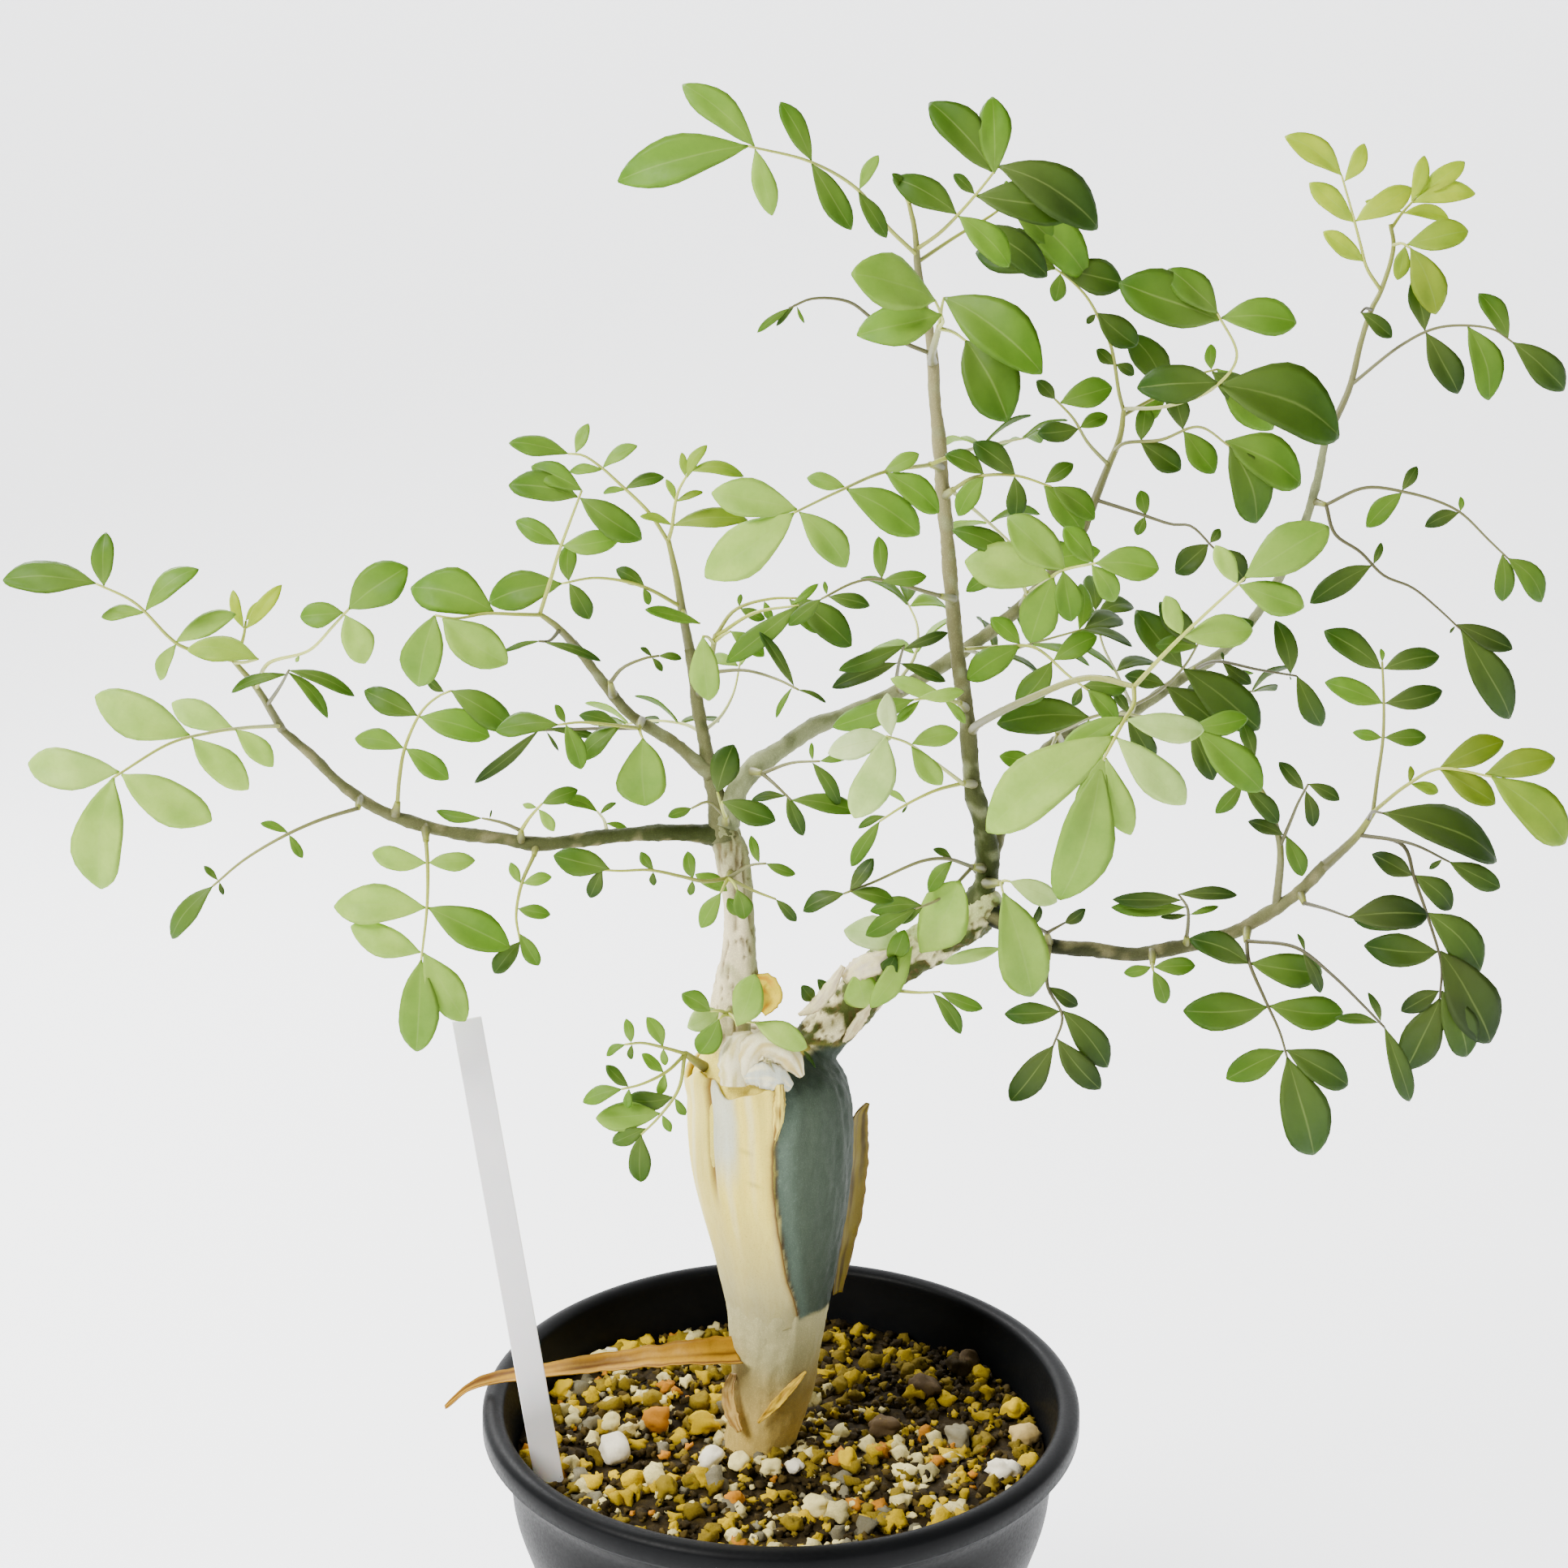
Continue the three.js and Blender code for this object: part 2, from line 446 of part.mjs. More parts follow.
        pairs: [[[1180, 900], [1159, 968]], [[1090, 856], [1019, 920]]], tip: [1060, 1010],
        face: FRONT, first: 0.8, wide: 0.46 },
    ],
  },
  low_left_of_tall: {
    stem: [[1210, 1070, 4, 2], [1198, 1068, -3, 1.5]],
    fronds: [
      { route: [[1199, 1068, -3], [1165, 1058, -9], [1136, 1061, -12], [1076, 1087, -17],
        [1040, 1101, -20]], pairs: [[[1140, 1096], [1150, 1046]], [[1078, 1060], [1102, 1112]]],
        tip: [988, 1121], face: FRONT_SKY, first: 0.22 },
      { route: [[1199, 1070, -3], [1160, 1106, -7], [1128, 1120, -9]],
        pairs: [[[1072, 1116], [1104, 1140]]], tip: [1066, 1152], face: FRONT, first: 0.8,
        wide: 0.36 },
    ],
  },
  right_trunk_small: {
    stem: [[1096, 1202, 0, 2.2], [1108, 1221, -5, 1.4]],
    fronds: [
      { route: [[1107, 1220, -5], [1132, 1223, -9], [1158, 1222, -11]], pairs: [[[1186, 1272]]],
        tip: [1212, 1240], face: FRONT, first: 0.6, wide: 0.32 },
    ],
  },
  crossing_start: {
    stem: [[926, 950, 0, 2], [939, 953, -6, 1.4]],
    fronds: [
      { route: [[938, 953, -6], [952, 964, -8], [975, 986, -10]], pairs: [[[926, 984], [990, 1032]]],
        tip: [1057, 1004], face: FRONT_SKY, first: 0.5, wide: 0.34 },
      { route: [[938, 952, -6], [975, 940, -9], [1010, 938, -11]], pairs: [[[1040, 990], [1000, 915]]],
        tip: [1052, 931], face: FRONT, first: 0.6, wide: 0.3 },
    ],
  },
  fork: {
    stem: [[894, 1016, -2, 2], [894, 1006, -7, 1.4]],
    fronds: [
      { route: [[894, 1007, -7], [888, 990, -9], [884, 976, -10]], pairs: [], tip: [906, 920],
        face: FRONT, first: 0.5, wide: 0.6 },
      { route: [[894, 1007, -7], [890, 996, -12], [890, 988, -15]], pairs: [], tip: [956, 1010],
        face: FRONT, first: 0.5 },
      { route: [[894, 1007, -7], [872, 988, -9], [852, 996, -10]], pairs: [], tip: 4.5,
        face: FRONT, first: 0.5 },
    ],
  },
  left_trunk: {
    stem: [[902, 1075, -3, 2.2], [897, 1082, -7, 1.6]],
    fronds: [
      { route: [[897, 1081, -7], [868, 1086, -10], [840, 1080, -12], [800, 1072, -15],
        [765, 1073, -17], [742, 1072, -18]],
        pairs: [[[845, 1050], [850, 1104]], [[788, 1051], [806, 1092]], [[684, 1048]]],
        tip: [725, 1106], face: FRONT, first: 0.3, wide: 0.5 },
      { route: [[898, 1082, -7], [892, 1092, -10], [888, 1100, -12]], pairs: [], tip: [862, 1142],
        face: FRONT, first: 0.5 },
      { route: [[898, 1081, -7], [904, 1088, -10], [908, 1096, -12]], pairs: [], tip: [920, 1133],
        face: FRONT, first: 0.5, wide: 0.6 },
      { route: [[898, 1079, -7], [925, 1066, -9], [944, 1064, -10]], pairs: [[[926, 1030]]],
        tip: [980, 1078], face: FRONT, first: 0.6, wide: 0.36 },
      { route: [[898, 1081, -7], [930, 1098, -8], [956, 1108, -9]], pairs: [], tip: [980, 1138],
        face: FRONT, first: 0.6, wide: 0.36 },
    ],
  },
  left_bough_top: {
    stem: [[642, 1036, -4, 1.9], [642, 1022, -5, 1.3]],
    fronds: [
      { route: [[642, 1024, -5], [652, 1008, -6], [668, 990, -7]], pairs: [[[644, 990], [683, 1024]]],
        tip: [712, 975], face: FRONT, first: 0.5 },
      { route: [[642, 1024, -5], [620, 1014, -5], [594, 1008, -5]], pairs: [[[606, 998]]],
        tip: [536, 1004], face: FRONT, first: 0.5, wide: 0.26 },
    ],
  },
  left_bough_back: {
    stem: [[748, 1031, -2, 1.9], [748, 1024, 5, 1.4]],
    fronds: [
      { route: [[748, 1025, 4], [744, 1010, 10], [736, 1000, 14]],
        pairs: [[[776, 1022]], [[758, 988]]], tip: [690, 980], face: FRONT_SKY, first: 0.4,
        wide: 0.36 },
    ],
  },
  far_right_tip: {
    stem: [[1630, 547, 60, 1.7], [1662, 480, 60, 1.5], [1677, 421, 60, 1.4], [1690, 381, 60, 1.4],
      [1702, 357, 60, 1.3], [1717, 304, 60, 1.2], [1713, 276, 60, 1.1]],
    fronds: [
      { route: [[1664, 476, 60], [1724, 427, 57], [1764, 406, 56], [1797, 401, 55],
        [1840, 406, 53], [1864, 422, 51]],
        pairs: [[[1736, 349], [1791, 489]], [[1839, 492]], [[1824, 362]]], tip: [1932, 482],
        face: FRONT, first: 0.5 },
      { route: [[1702, 358, 60], [1684, 330, 58], [1677, 304, 57], [1665, 258, 56],
        [1653, 216, 55]], pairs: [[[1632, 284]], [[1736, 222], [1612, 228]], [[1686, 178]]],
        tip: [1583, 170], face: FRONT, first: 0.3, wide: 0.42 },
      { route: [[1714, 282, 60], [1728, 262, 62], [1745, 244, 64]],
        pairs: [[[1682, 250], [1786, 264]], [[1760, 192], [1819, 232]]], tip: [1806, 200],
        face: FRONT, first: 0.5, wide: 0.36 },
      { route: [[1716, 302, 60], [1728, 300, 56], [1738, 306, 54]],
        pairs: [[[1722, 345], [1812, 290]]], tip: [1768, 389], face: FRONT, first: 0.5, wide: 0.5 },
      { route: [[1690, 382, 60], [1682, 380, 56], [1677, 385, 54]], pairs: [], tip: [1717, 414],
        face: FRONT, first: 0.5 },
    ],
  },
  far_right_side: {
    stem: [[1620, 618, 60, 1.8], [1634, 622, 56, 1.4]],
    fronds: [
      { route: [[1633, 621, 56], [1682, 601, 55], [1734, 607, 54], [1775, 619, 53],
        [1800, 632, 52], [1836, 667, 51], [1858, 688, 50]],
        pairs: [[[1682, 647], [1745, 574]], [[1756, 647], [1800, 612]], [[1856, 742]]],
        tip: [1909, 738], face: FRONT, first: 0.38 },
      { route: [[1633, 623, 56], [1645, 658, 54], [1676, 680, 52], [1705, 709, 50],
        [1740, 724, 49], [1770, 748, 48], [1800, 776, 47]],
        pairs: [[[1613, 738], [1700, 668]], [[1786, 780], [1864, 798]]], tip: [1873, 883],
        face: FRONT, first: 0.42, wide: 0.36 },
    ],
  },
  far_right_low: {
    stem: [[1466, 830, 55, 1.8], [1472, 824, 49, 1.4]],
    fronds: [
      { route: [[1471, 825, 50], [1500, 815, 42], [1550, 825, 36], [1598, 833, 32]],
        pairs: [[[1506, 803], [1540, 846]], [[1577, 765], [1590, 838]]], tip: [1628, 899],
        face: FRONT, first: 0.4, wide: 0.4 },
      { route: [[1472, 825, 50], [1480, 843, 57], [1510, 852, 68], [1545, 852, 78]],
        pairs: [9, 10], tip: 10, face: BACK_SKY, first: 0.45 },
    ],
  },
  right_bough_tip: {
    stem: [[1630, 1069, -6, 2.1], [1672, 1030, -7, 1.8], [1694, 998, -8, 1.4]],
    fronds: [
      { route: [[1692, 1002, -8], [1697, 960, -7], [1704, 910, -6], [1705, 862, -5],
        [1703, 815, -4]],
        pairs: [[[1668, 904], [1759, 905]], [[1634, 844], [1778, 852]], [[1631, 780], [1773, 803]]],
        tip: 2.5, face: FRONT, first: 0.5, wide: 0.42 },
      { route: [[1693, 1000, -8], [1734, 967, -17], [1775, 947, -25], [1838, 957, -33]],
        pairs: [[[1774, 978], [1740, 944]], [[1843, 990], [1856, 919]], [[1917, 929]]],
        tip: [1931, 1048], face: FRONT, first: 0.4, wide: 0.42 },
      { route: [[1686, 1010, -8], [1692, 1000, -14], [1704, 1002, -18]], pairs: [],
        tip: [1856, 1052], face: FRONT_SKY, first: 0.5, wide: 0.4 },
      { route: [[1674, 1029, -7], [1728, 1041, -10], [1743, 1083, -12], [1760, 1132, -14],
        [1776, 1190, -16], [1774, 1230, -17]],
        pairs: [[[1692, 1055], [1791, 1121]], [[1669, 1130], [1831, 1194]],
          [[1684, 1172], [1847, 1279]], [[1728, 1248], [1812, 1304]]],
        tip: [1736, 1323], face: FRONT, first: 0.38, wide: 0.48 },
      { route: [[1676, 1028, -6], [1740, 1040, -14], [1786, 1062, -18]], pairs: [[[1762, 1072]]],
        tip: [1848, 1098], face: FRONT, first: 0.7, wide: 0.4 },
    ],
  },
  right_bough_under: {
    stem: [[1602, 1099, -5, 2], [1607, 1113, -9, 1.4]],
    fronds: [
      { route: [[1606, 1111, -9], [1634, 1120, -18], [1662, 1130, -25]], pairs: [],
        tip: [1760, 1118], face: FRONT, first: 0.5 },
    ],
  },
  right_bough_twig: {
    stem: [[1572, 1121, -4, 1.8], [1577, 1041, -6, 1.5], [1560, 985, -6, 1.3],
      [1547, 962, -6, 1.1]],
    fronds: [
      { route: [[1576, 1044, -6], [1590, 1012, -9], [1600, 988, -11], [1612, 966, -12]],
        pairs: [[[1604, 1083], [1541, 1010]], [[1578, 938], [1614, 1020]]], tip: [1651, 986],
        face: FRONT, first: 0.2, wide: 0.4 },
      { route: [[1563, 992, -6], [1545, 976, -10], [1530, 964, -12]], pairs: [[[1574, 1016]]],
        tip: [1502, 1005], face: FRONT, first: 0.3, wide: 0.4 },
      { route: [[1548, 964, -6], [1545, 945, -4], [1546, 934, -2]], pairs: [], tip: [1530, 890],
        face: FRONT, first: 0.5, wide: 0.4 },
    ],
  },
  right_bough_top: {
    stem: [[1462, 1168, -2, 2], [1462, 1154, -4, 1.4]],
    fronds: [
      { route: [[1462, 1156, -4], [1464, 1138, -5], [1463, 1118, -6], [1452, 1102, -7]],
        pairs: [[[1430, 1130], [1502, 1118]], [[1370, 1126]], [[1372, 1100]]], tip: [1525, 1101],
        face: FRONT, first: 0.5, wide: 0.24 },
    ],
  },
  right_bough_bud: {
    stem: [[1420, 1172, -2, 2], [1420, 1188, -5, 1.4]],
    fronds: [
      { route: [[1420, 1187, -5], [1420, 1191, -7], [1421, 1196, -8]],
        pairs: [[[1385, 1199], [1473, 1190]]], tip: [1438, 1238], face: FRONT, first: 0.5 },
    ],
  },
  right_bough_hanging: {
    stem: [[1537, 1139, -3, 2.1], [1536, 1160, -8, 1.6]],
    fronds: [
      { route: [[1536, 1158, -8], [1539, 1185, -11], [1558, 1230, -14], [1577, 1272, -16],
        [1586, 1303, -17]],
        pairs: [[[1470, 1152], [1632, 1208]], [[1458, 1240], [1655, 1250]], [[1513, 1333], [1667, 1331]]],
        tip: [1620, 1428], face: FRONT, first: 0.2, wide: 0.46 },
      { route: [[1537, 1157, -8], [1598, 1168, -18], [1640, 1200, -25], [1679, 1238, -31],
        [1706, 1266, -35]], pairs: [[[1626, 1228], [1600, 1150]], [[1646, 1252], [1690, 1222]]],
        tip: [1749, 1357], face: FRONT, first: 0.4, wide: 0.26 },
    ],
  },
  near_hanging: {
    stem: [[1198, 900, 3, 2], [1206, 892, -5, 1.6], [1270, 860, -28, 1.5],
      [1345, 835, -43, 1.4], [1398, 846, -50, 1.2]],
    fronds: [
      { route: [[1396, 846, -50], [1397, 868, -52], [1386, 886, -54], [1368, 920, -57],
        [1356, 942, -58]],
        pairs: [[[1301, 924], [1486, 904]], [[1216, 1026], [1458, 1000]], [[1384, 1032], [1330, 1040]]],
        tip: [1300, 1113], face: FRONT, first: 0.42, wide: 0.38 },
      { route: [[1397, 847, -50], [1440, 800, -56], [1490, 752, -60], [1534, 712, -62]],
        pairs: [[[1434, 735], [1546, 782]], [[1500, 672], [1604, 756]]], tip: [1632, 640],
        face: FRONT, first: 0.5, wide: 0.5 },
    ],
  },
  tall_leader_foot: {
    stem: [[1216, 1088, 4, 2.4], [1234, 1088, -4, 1.5]],
    fronds: [
      { route: [[1233, 1088, -4], [1234, 1092, -9], [1236, 1100, -12]], pairs: [],
        tip: [1286, 1228], face: FRONT, first: 0.5, wide: 0.46 },
      { route: [[1233, 1088, -4], [1238, 1085, -8], [1244, 1086, -10]], pairs: [],
        tip: [1304, 1113], face: FRONT, first: 0.5 },
    ],
  },
  right_bough_lower: {
    stem: [[1290, 1164, 1, 2], [1291, 1182, -3, 1.5]],
    fronds: [
      { route: [[1291, 1180, -3], [1291, 1216, -8], [1309, 1253, -12], [1298, 1288, -14]],
        pairs: [[[1330, 1240]], [[1238, 1245], [1370, 1313]], [[1350, 1347]]], tip: [1243, 1359],
        face: FRONT, first: 0.35, wide: 0.4 },
    ],
  },
  base_shoulder: {
    stem: [[870, 1316, -5, 2.2], [844, 1298, -11, 1.6]],
    fronds: [
      { route: [[845, 1298, -11], [815, 1290, -15], [790, 1285, -18], [770, 1287, -20]],
        pairs: [[[798, 1252], [818, 1314]], [[774, 1256], [776, 1306]]], tip: [746, 1299],
        face: FRONT_SKY, first: 0.4 },
      { route: [[845, 1299, -11], [822, 1320, -15], [790, 1336, -19], [766, 1342, -21]],
        pairs: [[[790, 1300], [812, 1350]], [[746, 1314], [772, 1366]]], tip: [717, 1358],
        face: FRONT_SKY, first: 0.4 },
      { route: [[845, 1300, -12], [836, 1342, -16], [812, 1376, -19], [790, 1398, -21]],
        pairs: [[[772, 1360], [846, 1374]], [[734, 1372], [828, 1394]], [[754, 1412]]],
        tip: [783, 1458], face: FRONT, first: 0.5 },
    ],
  },
  base_top: {
    stem: [[902, 1244, -4, 2.2], [897, 1249, -9, 1.6]],
    fronds: [
      { route: [[897, 1249, -9], [885, 1245, -12], [875, 1246, -13]], pairs: [], tip: [842, 1222],
        face: FRONT, first: 0.5, wide: 0.6 },
      { route: [[897, 1250, -9], [890, 1252, -12], [886, 1256, -13]], pairs: [], tip: [862, 1301],
        face: FRONT, first: 0.5, wide: 0.6 },
      { route: [[898, 1249, -9], [906, 1256, -13], [908, 1264, -15]], pairs: [], tip: [936, 1205],
        face: FRONT, first: 0.5, wide: 0.6 },
      { route: [[898, 1250, -9], [914, 1258, -13], [930, 1260, -14]], pairs: [], tip: [997, 1284],
        face: FRONT, first: 0.5 },
    ],
  },
  right_bough_sprout: {
    stem: [[1292, 1162, 1, 2], [1290, 1149, -2, 1.3]],
    fronds: [
      { route: [[1290, 1150, -2], [1278, 1142, -5], [1268, 1136, -6]], pairs: [4], tip: 5.5,
        face: FRONT, first: 0.5 },
      { route: [[1290, 1150, -2], [1303, 1142, -5], [1312, 1137, -6]], pairs: [], tip: 5,
        face: FRONT, first: 0.5 },
    ],
  },
  leader_back: {
    stem: [[867, 908, 2, 1.9], [866, 902, 8, 1.4]],
    fronds: [
      { route: [[866, 903, 7], [842, 892, 22], [806, 888, 36], [772, 892, 48]],
        pairs: [10.5, 11], tip: 11, face: BACK_SKY, first: 0.4 },
      { route: [[866, 903, 8], [890, 880, 24], [905, 850, 36], [912, 815, 44]],
        pairs: [9], tip: 9, face: BACK_SKY, first: 0.6 },
    ],
  },
};

const wasm = await Module();
wasm.setup();

function seen([u, v, y]) {
  const forward = new THREE.Vector3(0, Math.cos(EYE.pitch), -Math.sin(EYE.pitch));
  const up = new THREE.Vector3(0, Math.sin(EYE.pitch), Math.cos(EYE.pitch));
  const ray = forward.clone();
  ray.x += (u - SIGHT.centre) / SIGHT.focal;
  ray.addScaledVector(up, -(v - SIGHT.centre) / SIGHT.focal);
  ray.multiplyScalar((y - EYE.y) / ray.y);
  return ray.add(new THREE.Vector3(EYE.x, EYE.y, EYE.z));
}

function toManifold(geometry) {
  let plain = geometry.clone();
  plain.deleteAttribute('normal');
  plain.deleteAttribute('uv');
  plain = mergeVertices(plain, 1e-4);
  const solid = new wasm.Manifold(new wasm.Mesh({
    numProp: 3,
    vertProperties: new Float32Array(plain.attributes.position.array),
    triVerts: new Uint32Array(plain.index.array),
  }));
  return solid;
}

function fromManifold(solid) {
  const mesh = solid.getMesh();
  const geometry = new THREE.BufferGeometry();
  geometry.setAttribute('position', new THREE.BufferAttribute(mesh.vertProperties, 3));
  geometry.setIndex(new THREE.BufferAttribute(mesh.triVerts, 1));
  return geometry;
}

function largestPiece(solid) {
  return solid.decompose().reduce((best, piece) => (piece.volume() > best.volume() ? piece : best));
}

function closedMesh(points, triangles) {
  const geometry = new THREE.BufferGeometry();
  geometry.setAttribute('position', new THREE.Float32BufferAttribute(points.flat(), 3));
  geometry.setIndex(triangles.flat());
  return geometry;
}

// Rings of points, all with the same number of points, skinned and capped at both ends
function skin(rings) {
  const sides = rings[0].length;
  const points = rings.flat().map((p) => p.toArray());
  const triangles = [];
  for (let ring = 0; ring + 1 < rings.length; ring += 1) {
    for (let side = 0; side < sides; side += 1) {
      const next = (side + 1) % sides;
      const [a, b] = [ring * sides + side, ring * sides + next];
      triangles.push([a, b, b + sides], [a, b + sides, a + sides]);
    }
  }
  const last = (rings.length - 1) * sides;
  for (let side = 1; side + 1 < sides; side += 1) {
    triangles.push([0, side + 1, side], [last, last + side, last + side + 1]);
  }
  return closedMesh(points, triangles);
}

// A tapered round limb through places that carry their diameters; grow adds to the radius
function limb(route, sides, grow = 0) {
  const centres = route.map(seen);
  const rings = [];
  let across = new THREE.Vector3(0, 1, 0);
  centres.forEach((centre, i) => {
    const ahead = centres[Math.min(i + 1, centres.length - 1)];
    const behind = centres[Math.max(i - 1, 0)];
    const along = ahead.clone().sub(behind).normalize();
    across = across.clone().addScaledVector(along, -across.dot(along)).normalize();
    const side = along.clone().cross(across);
    const radius = route[i][3] / 2 + grow;
    const place = centre.clone();
    if (i === 0) place.addScaledVector(along, -grow);
    if (i === centres.length - 1) place.addScaledVector(along, grow);
    rings.push(Array.from({ length: sides }, (_, k) => {
      const turn = (2 * Math.PI * k) / sides;
      return place.clone()
        .addScaledVector(across, radius * Math.cos(turn))
        .addScaledVector(side, radius * Math.sin(turn));
    }));
  });
  return toManifold(skin(rings));
}

function caudexAt(up) {
  const next = Math.max(1, CAUDEX.findIndex((ring) => ring.up >= up));
  const [low, high] = [CAUDEX[next - 1], CAUDEX[next]];
  const share = (up - low.up) / (high.up - low.up);
  return {
    radius: THREE.MathUtils.lerp(low.radius, high.radius, share),
    x: THREE.MathUtils.lerp(low.x, high.x, share),
  };
}

function caudex(grow = 0) {
  const rings = CAUDEX.map(({ up, radius, x }) => Array.from({ length: CAUDEX_SIDES }, (_, k) => {
    const turn = (2 * Math.PI * k) / CAUDEX_SIDES;
    const r = radius + grow;
    return new THREE.Vector3(x + r * Math.cos(turn), r * Math.sin(turn), SOIL_TOP + up);
  }));
  return toManifold(skin(rings));
}

function wood(grow = 0) {
  const limbs = Object.values(LIMBS).map(({ route, sides }) => limb(route, sides, grow));
  return limbs.reduce((whole, piece) => whole.add(piece), caudex(grow));
}

// A steady draw between -1 and 1 for leaflet number n
function sway(n, salt) {
  const wave = Math.sin(n * 12.9898 + salt * 78.233) * 43758.5453;
  return 2 * (wave - Math.floor(wave)) - 1;
}

// One frond: a narrow rib with a leaflet each side at every pair and one at the end, in one
// closed thin blade. Its outline runs up the right, round the end leaflet and down the left.
// The top pair stands just below the end leaflet, and the others evenly down to first.
function frond(start, { route, pairs, tip, face, splay = 64, wide = 0.45, first = 0.3 }) {
  const places = [start, ...route.slice(1).map(seen)];
  const curve = new THREE.CatmullRomCurve3(places, false, 'centripetal');
  const length = curve.getLength();
  const facing = new THREE.Vector3(...face).normalize();
  const seed = route[0][0] + route[0][1] * 0.37 + route[1][0] * 0.11;

  const station = (share) => {
    const along = curve.getTangentAt(share);
    const left = facing.clone().cross(along).normalize();
    const normal = along.clone().cross(left);
    return { place: curve.getPointAt(share), along, left, normal };
  };
  const rim = (frame, side) => ({
    at: frame.place.clone().addScaledVector(frame.left, side * RIB),
    normal: frame.normal,
  });
  // Where a leaflet points, how long it is and which way its blade looks
  const aim = (frame, root, side, size, number) => {
    if (Array.isArray(size)) {
      const [u, v, y = root.y] = size;
      const reach = seen([u, v, y]).sub(root);
      return { long: reach.length(), along: reach.normalize(), look: facing.clone() };
    }
    const lean = THREE.MathUtils.degToRad(side === 0 ? 0 : splay + 7 * sway(seed + number, 1));
    const fold = THREE.MathUtils.degToRad(side === 0 ? 0 : 16 + 14 * sway(seed + number, 2));
    const out = frame.left.clone().multiplyScalar(side * Math.cos(fold))
      .addScaledVector(frame.normal, Math.sin(fold));
    const along = frame.along.clone().multiplyScalar(Math.cos(lean))
      .addScaledVector(out, Math.sin(lean));
    const look = frame.normal.clone().multiplyScalar(Math.cos(fold))
      .addScaledVector(frame.left, -side * Math.sin(fold));
    return { long: size * (1 + 0.08 * sway(seed + number, 3)), along, look };
  };
  // Of a pair given by its tips, the one on the right of the rib comes first; a lone leaflet
  // leaves the other side bare
  const sides = (frame, size) => {
    if (!Array.isArray(size)) return [size, size];
    const leftward = ([u, v, y = frame.place.y]) => seen([u, v, y]).sub(frame.place).dot(frame.left);
    if (size.length === 1) return leftward(size[0]) < 0 ? [size[0], null] : [null, size[0]];
    return size.slice().sort((one, other) => leftward(one) - leftward(other));
  };
  const leaflet = (frame, side, size, number) => {
    const root = frame.place.clone().addScaledVector(frame.left, side * RIB);
    const { long, along, look } = aim(frame, root, side, size, number);
    const turn = side === -1 ? 1 : -1;
    const across = look.cross(along).multiplyScalar(turn).normalize();
    const normal = along.clone().cross(across).multiplyScalar(turn);
    const corner = (reach, half) => ({
      at: root.clone().addScaledVector(along, reach * long)
        .addScaledVector(across, half * wide * long)
        .addScaledVector(normal, ARCH * long * reach * (1 - reach)),
      normal,
    });
    const order = side === 0 ? 1 : -1;
    const row = [[0.55, 0.5], [1, 0], [0.55, -0.5]];
    return row.map(([reach, half]) => corner(reach, half * order));
  };

  const topPair = 1 - Math.min(TOP_PAIR, 0.3 * length) / length;
  const grip = Math.min(0.5, 0.07 * length) / length;
  const right = [];
  const left = [];
  const faces = [];
  const rungs = [];
  const petiole = first * length > LONG_STALK ? [0, first * 0.5] : [0];
  petiole.forEach((share) => rungs.push({ share, size: 0 }));
  pairs.forEach((size, k) => {
    const share = THREE.MathUtils.lerp(first, topPair, pairs.length > 1 ? k / (pairs.length - 1) : 1);
    rungs.push({ share: share - grip, size }, { share: share + grip, size: 0 });
  });
  rungs.push({ share: 1, size: 0 });
  rungs.forEach((rung, i) => {
    const frame = station(rung.share);
    rung.right = right.push(rim(frame, -1)) - 1;
    rung.left = left.push(rim(frame, 1)) - 1;
    if (rung.size === 0) return;
    const middle = station((rung.share + rungs[i + 1].share) / 2);
    [rung.toRight, rung.toLeft] = sides(middle, rung.size);
    if (rung.toRight) right.push(...leaflet(middle, -1, rung.toRight, i));
    if (rung.toLeft) left.push(...leaflet(middle, 1, rung.toLeft, i + 0.5));
  });
  const end = leaflet(station(1), 0, tip, 99);
  const loop = [...right, ...end, ...left.slice().reverse()];
  const leftIndex = (k) => loop.length - 1 - k;
  const fan = (corners) => {
    for (let k = 1; k + 1 < corners.length; k += 1) {
      faces.push([corners[0], corners[k], corners[k + 1]]);
    }
  };
  rungs.forEach((rung, i) => {
    const next = rungs[i + 1];
    if (!next) return;
    fan([rung.right, next.right, leftIndex(next.left), leftIndex(rung.left)]);
    if (rung.toRight) fan([0, 1, 2, 3, 4].map((k) => rung.right + k));
    if (rung.toLeft) fan([4, 3, 2, 1, 0].map((k) => leftIndex(rung.left + k)));
  });
  const top = rungs[rungs.length - 1];
  fan([0, 1, 2, 3, 4].map((k) => top.right + k));

  const half = BLADE / 2;
  const upper = loop.map(({ at, normal }) => at.clone().addScaledVector(normal, half).toArray());
  const lower = loop.map(({ at, normal }) => at.clone().addScaledVector(normal, -half).toArray());
  const count = loop.length;
  const triangles = [...faces];
  faces.forEach(([a, b, c]) => triangles.push([c + count, b + count, a + count]));
  for (let k = 0; k < count; k += 1) {
    const next = (k + 1) % count;
    triangles.push([k, k + count, next + count], [k, next + count, next]);
  }
  return toManifold(closedMesh([...upper, ...lower], triangles));
}

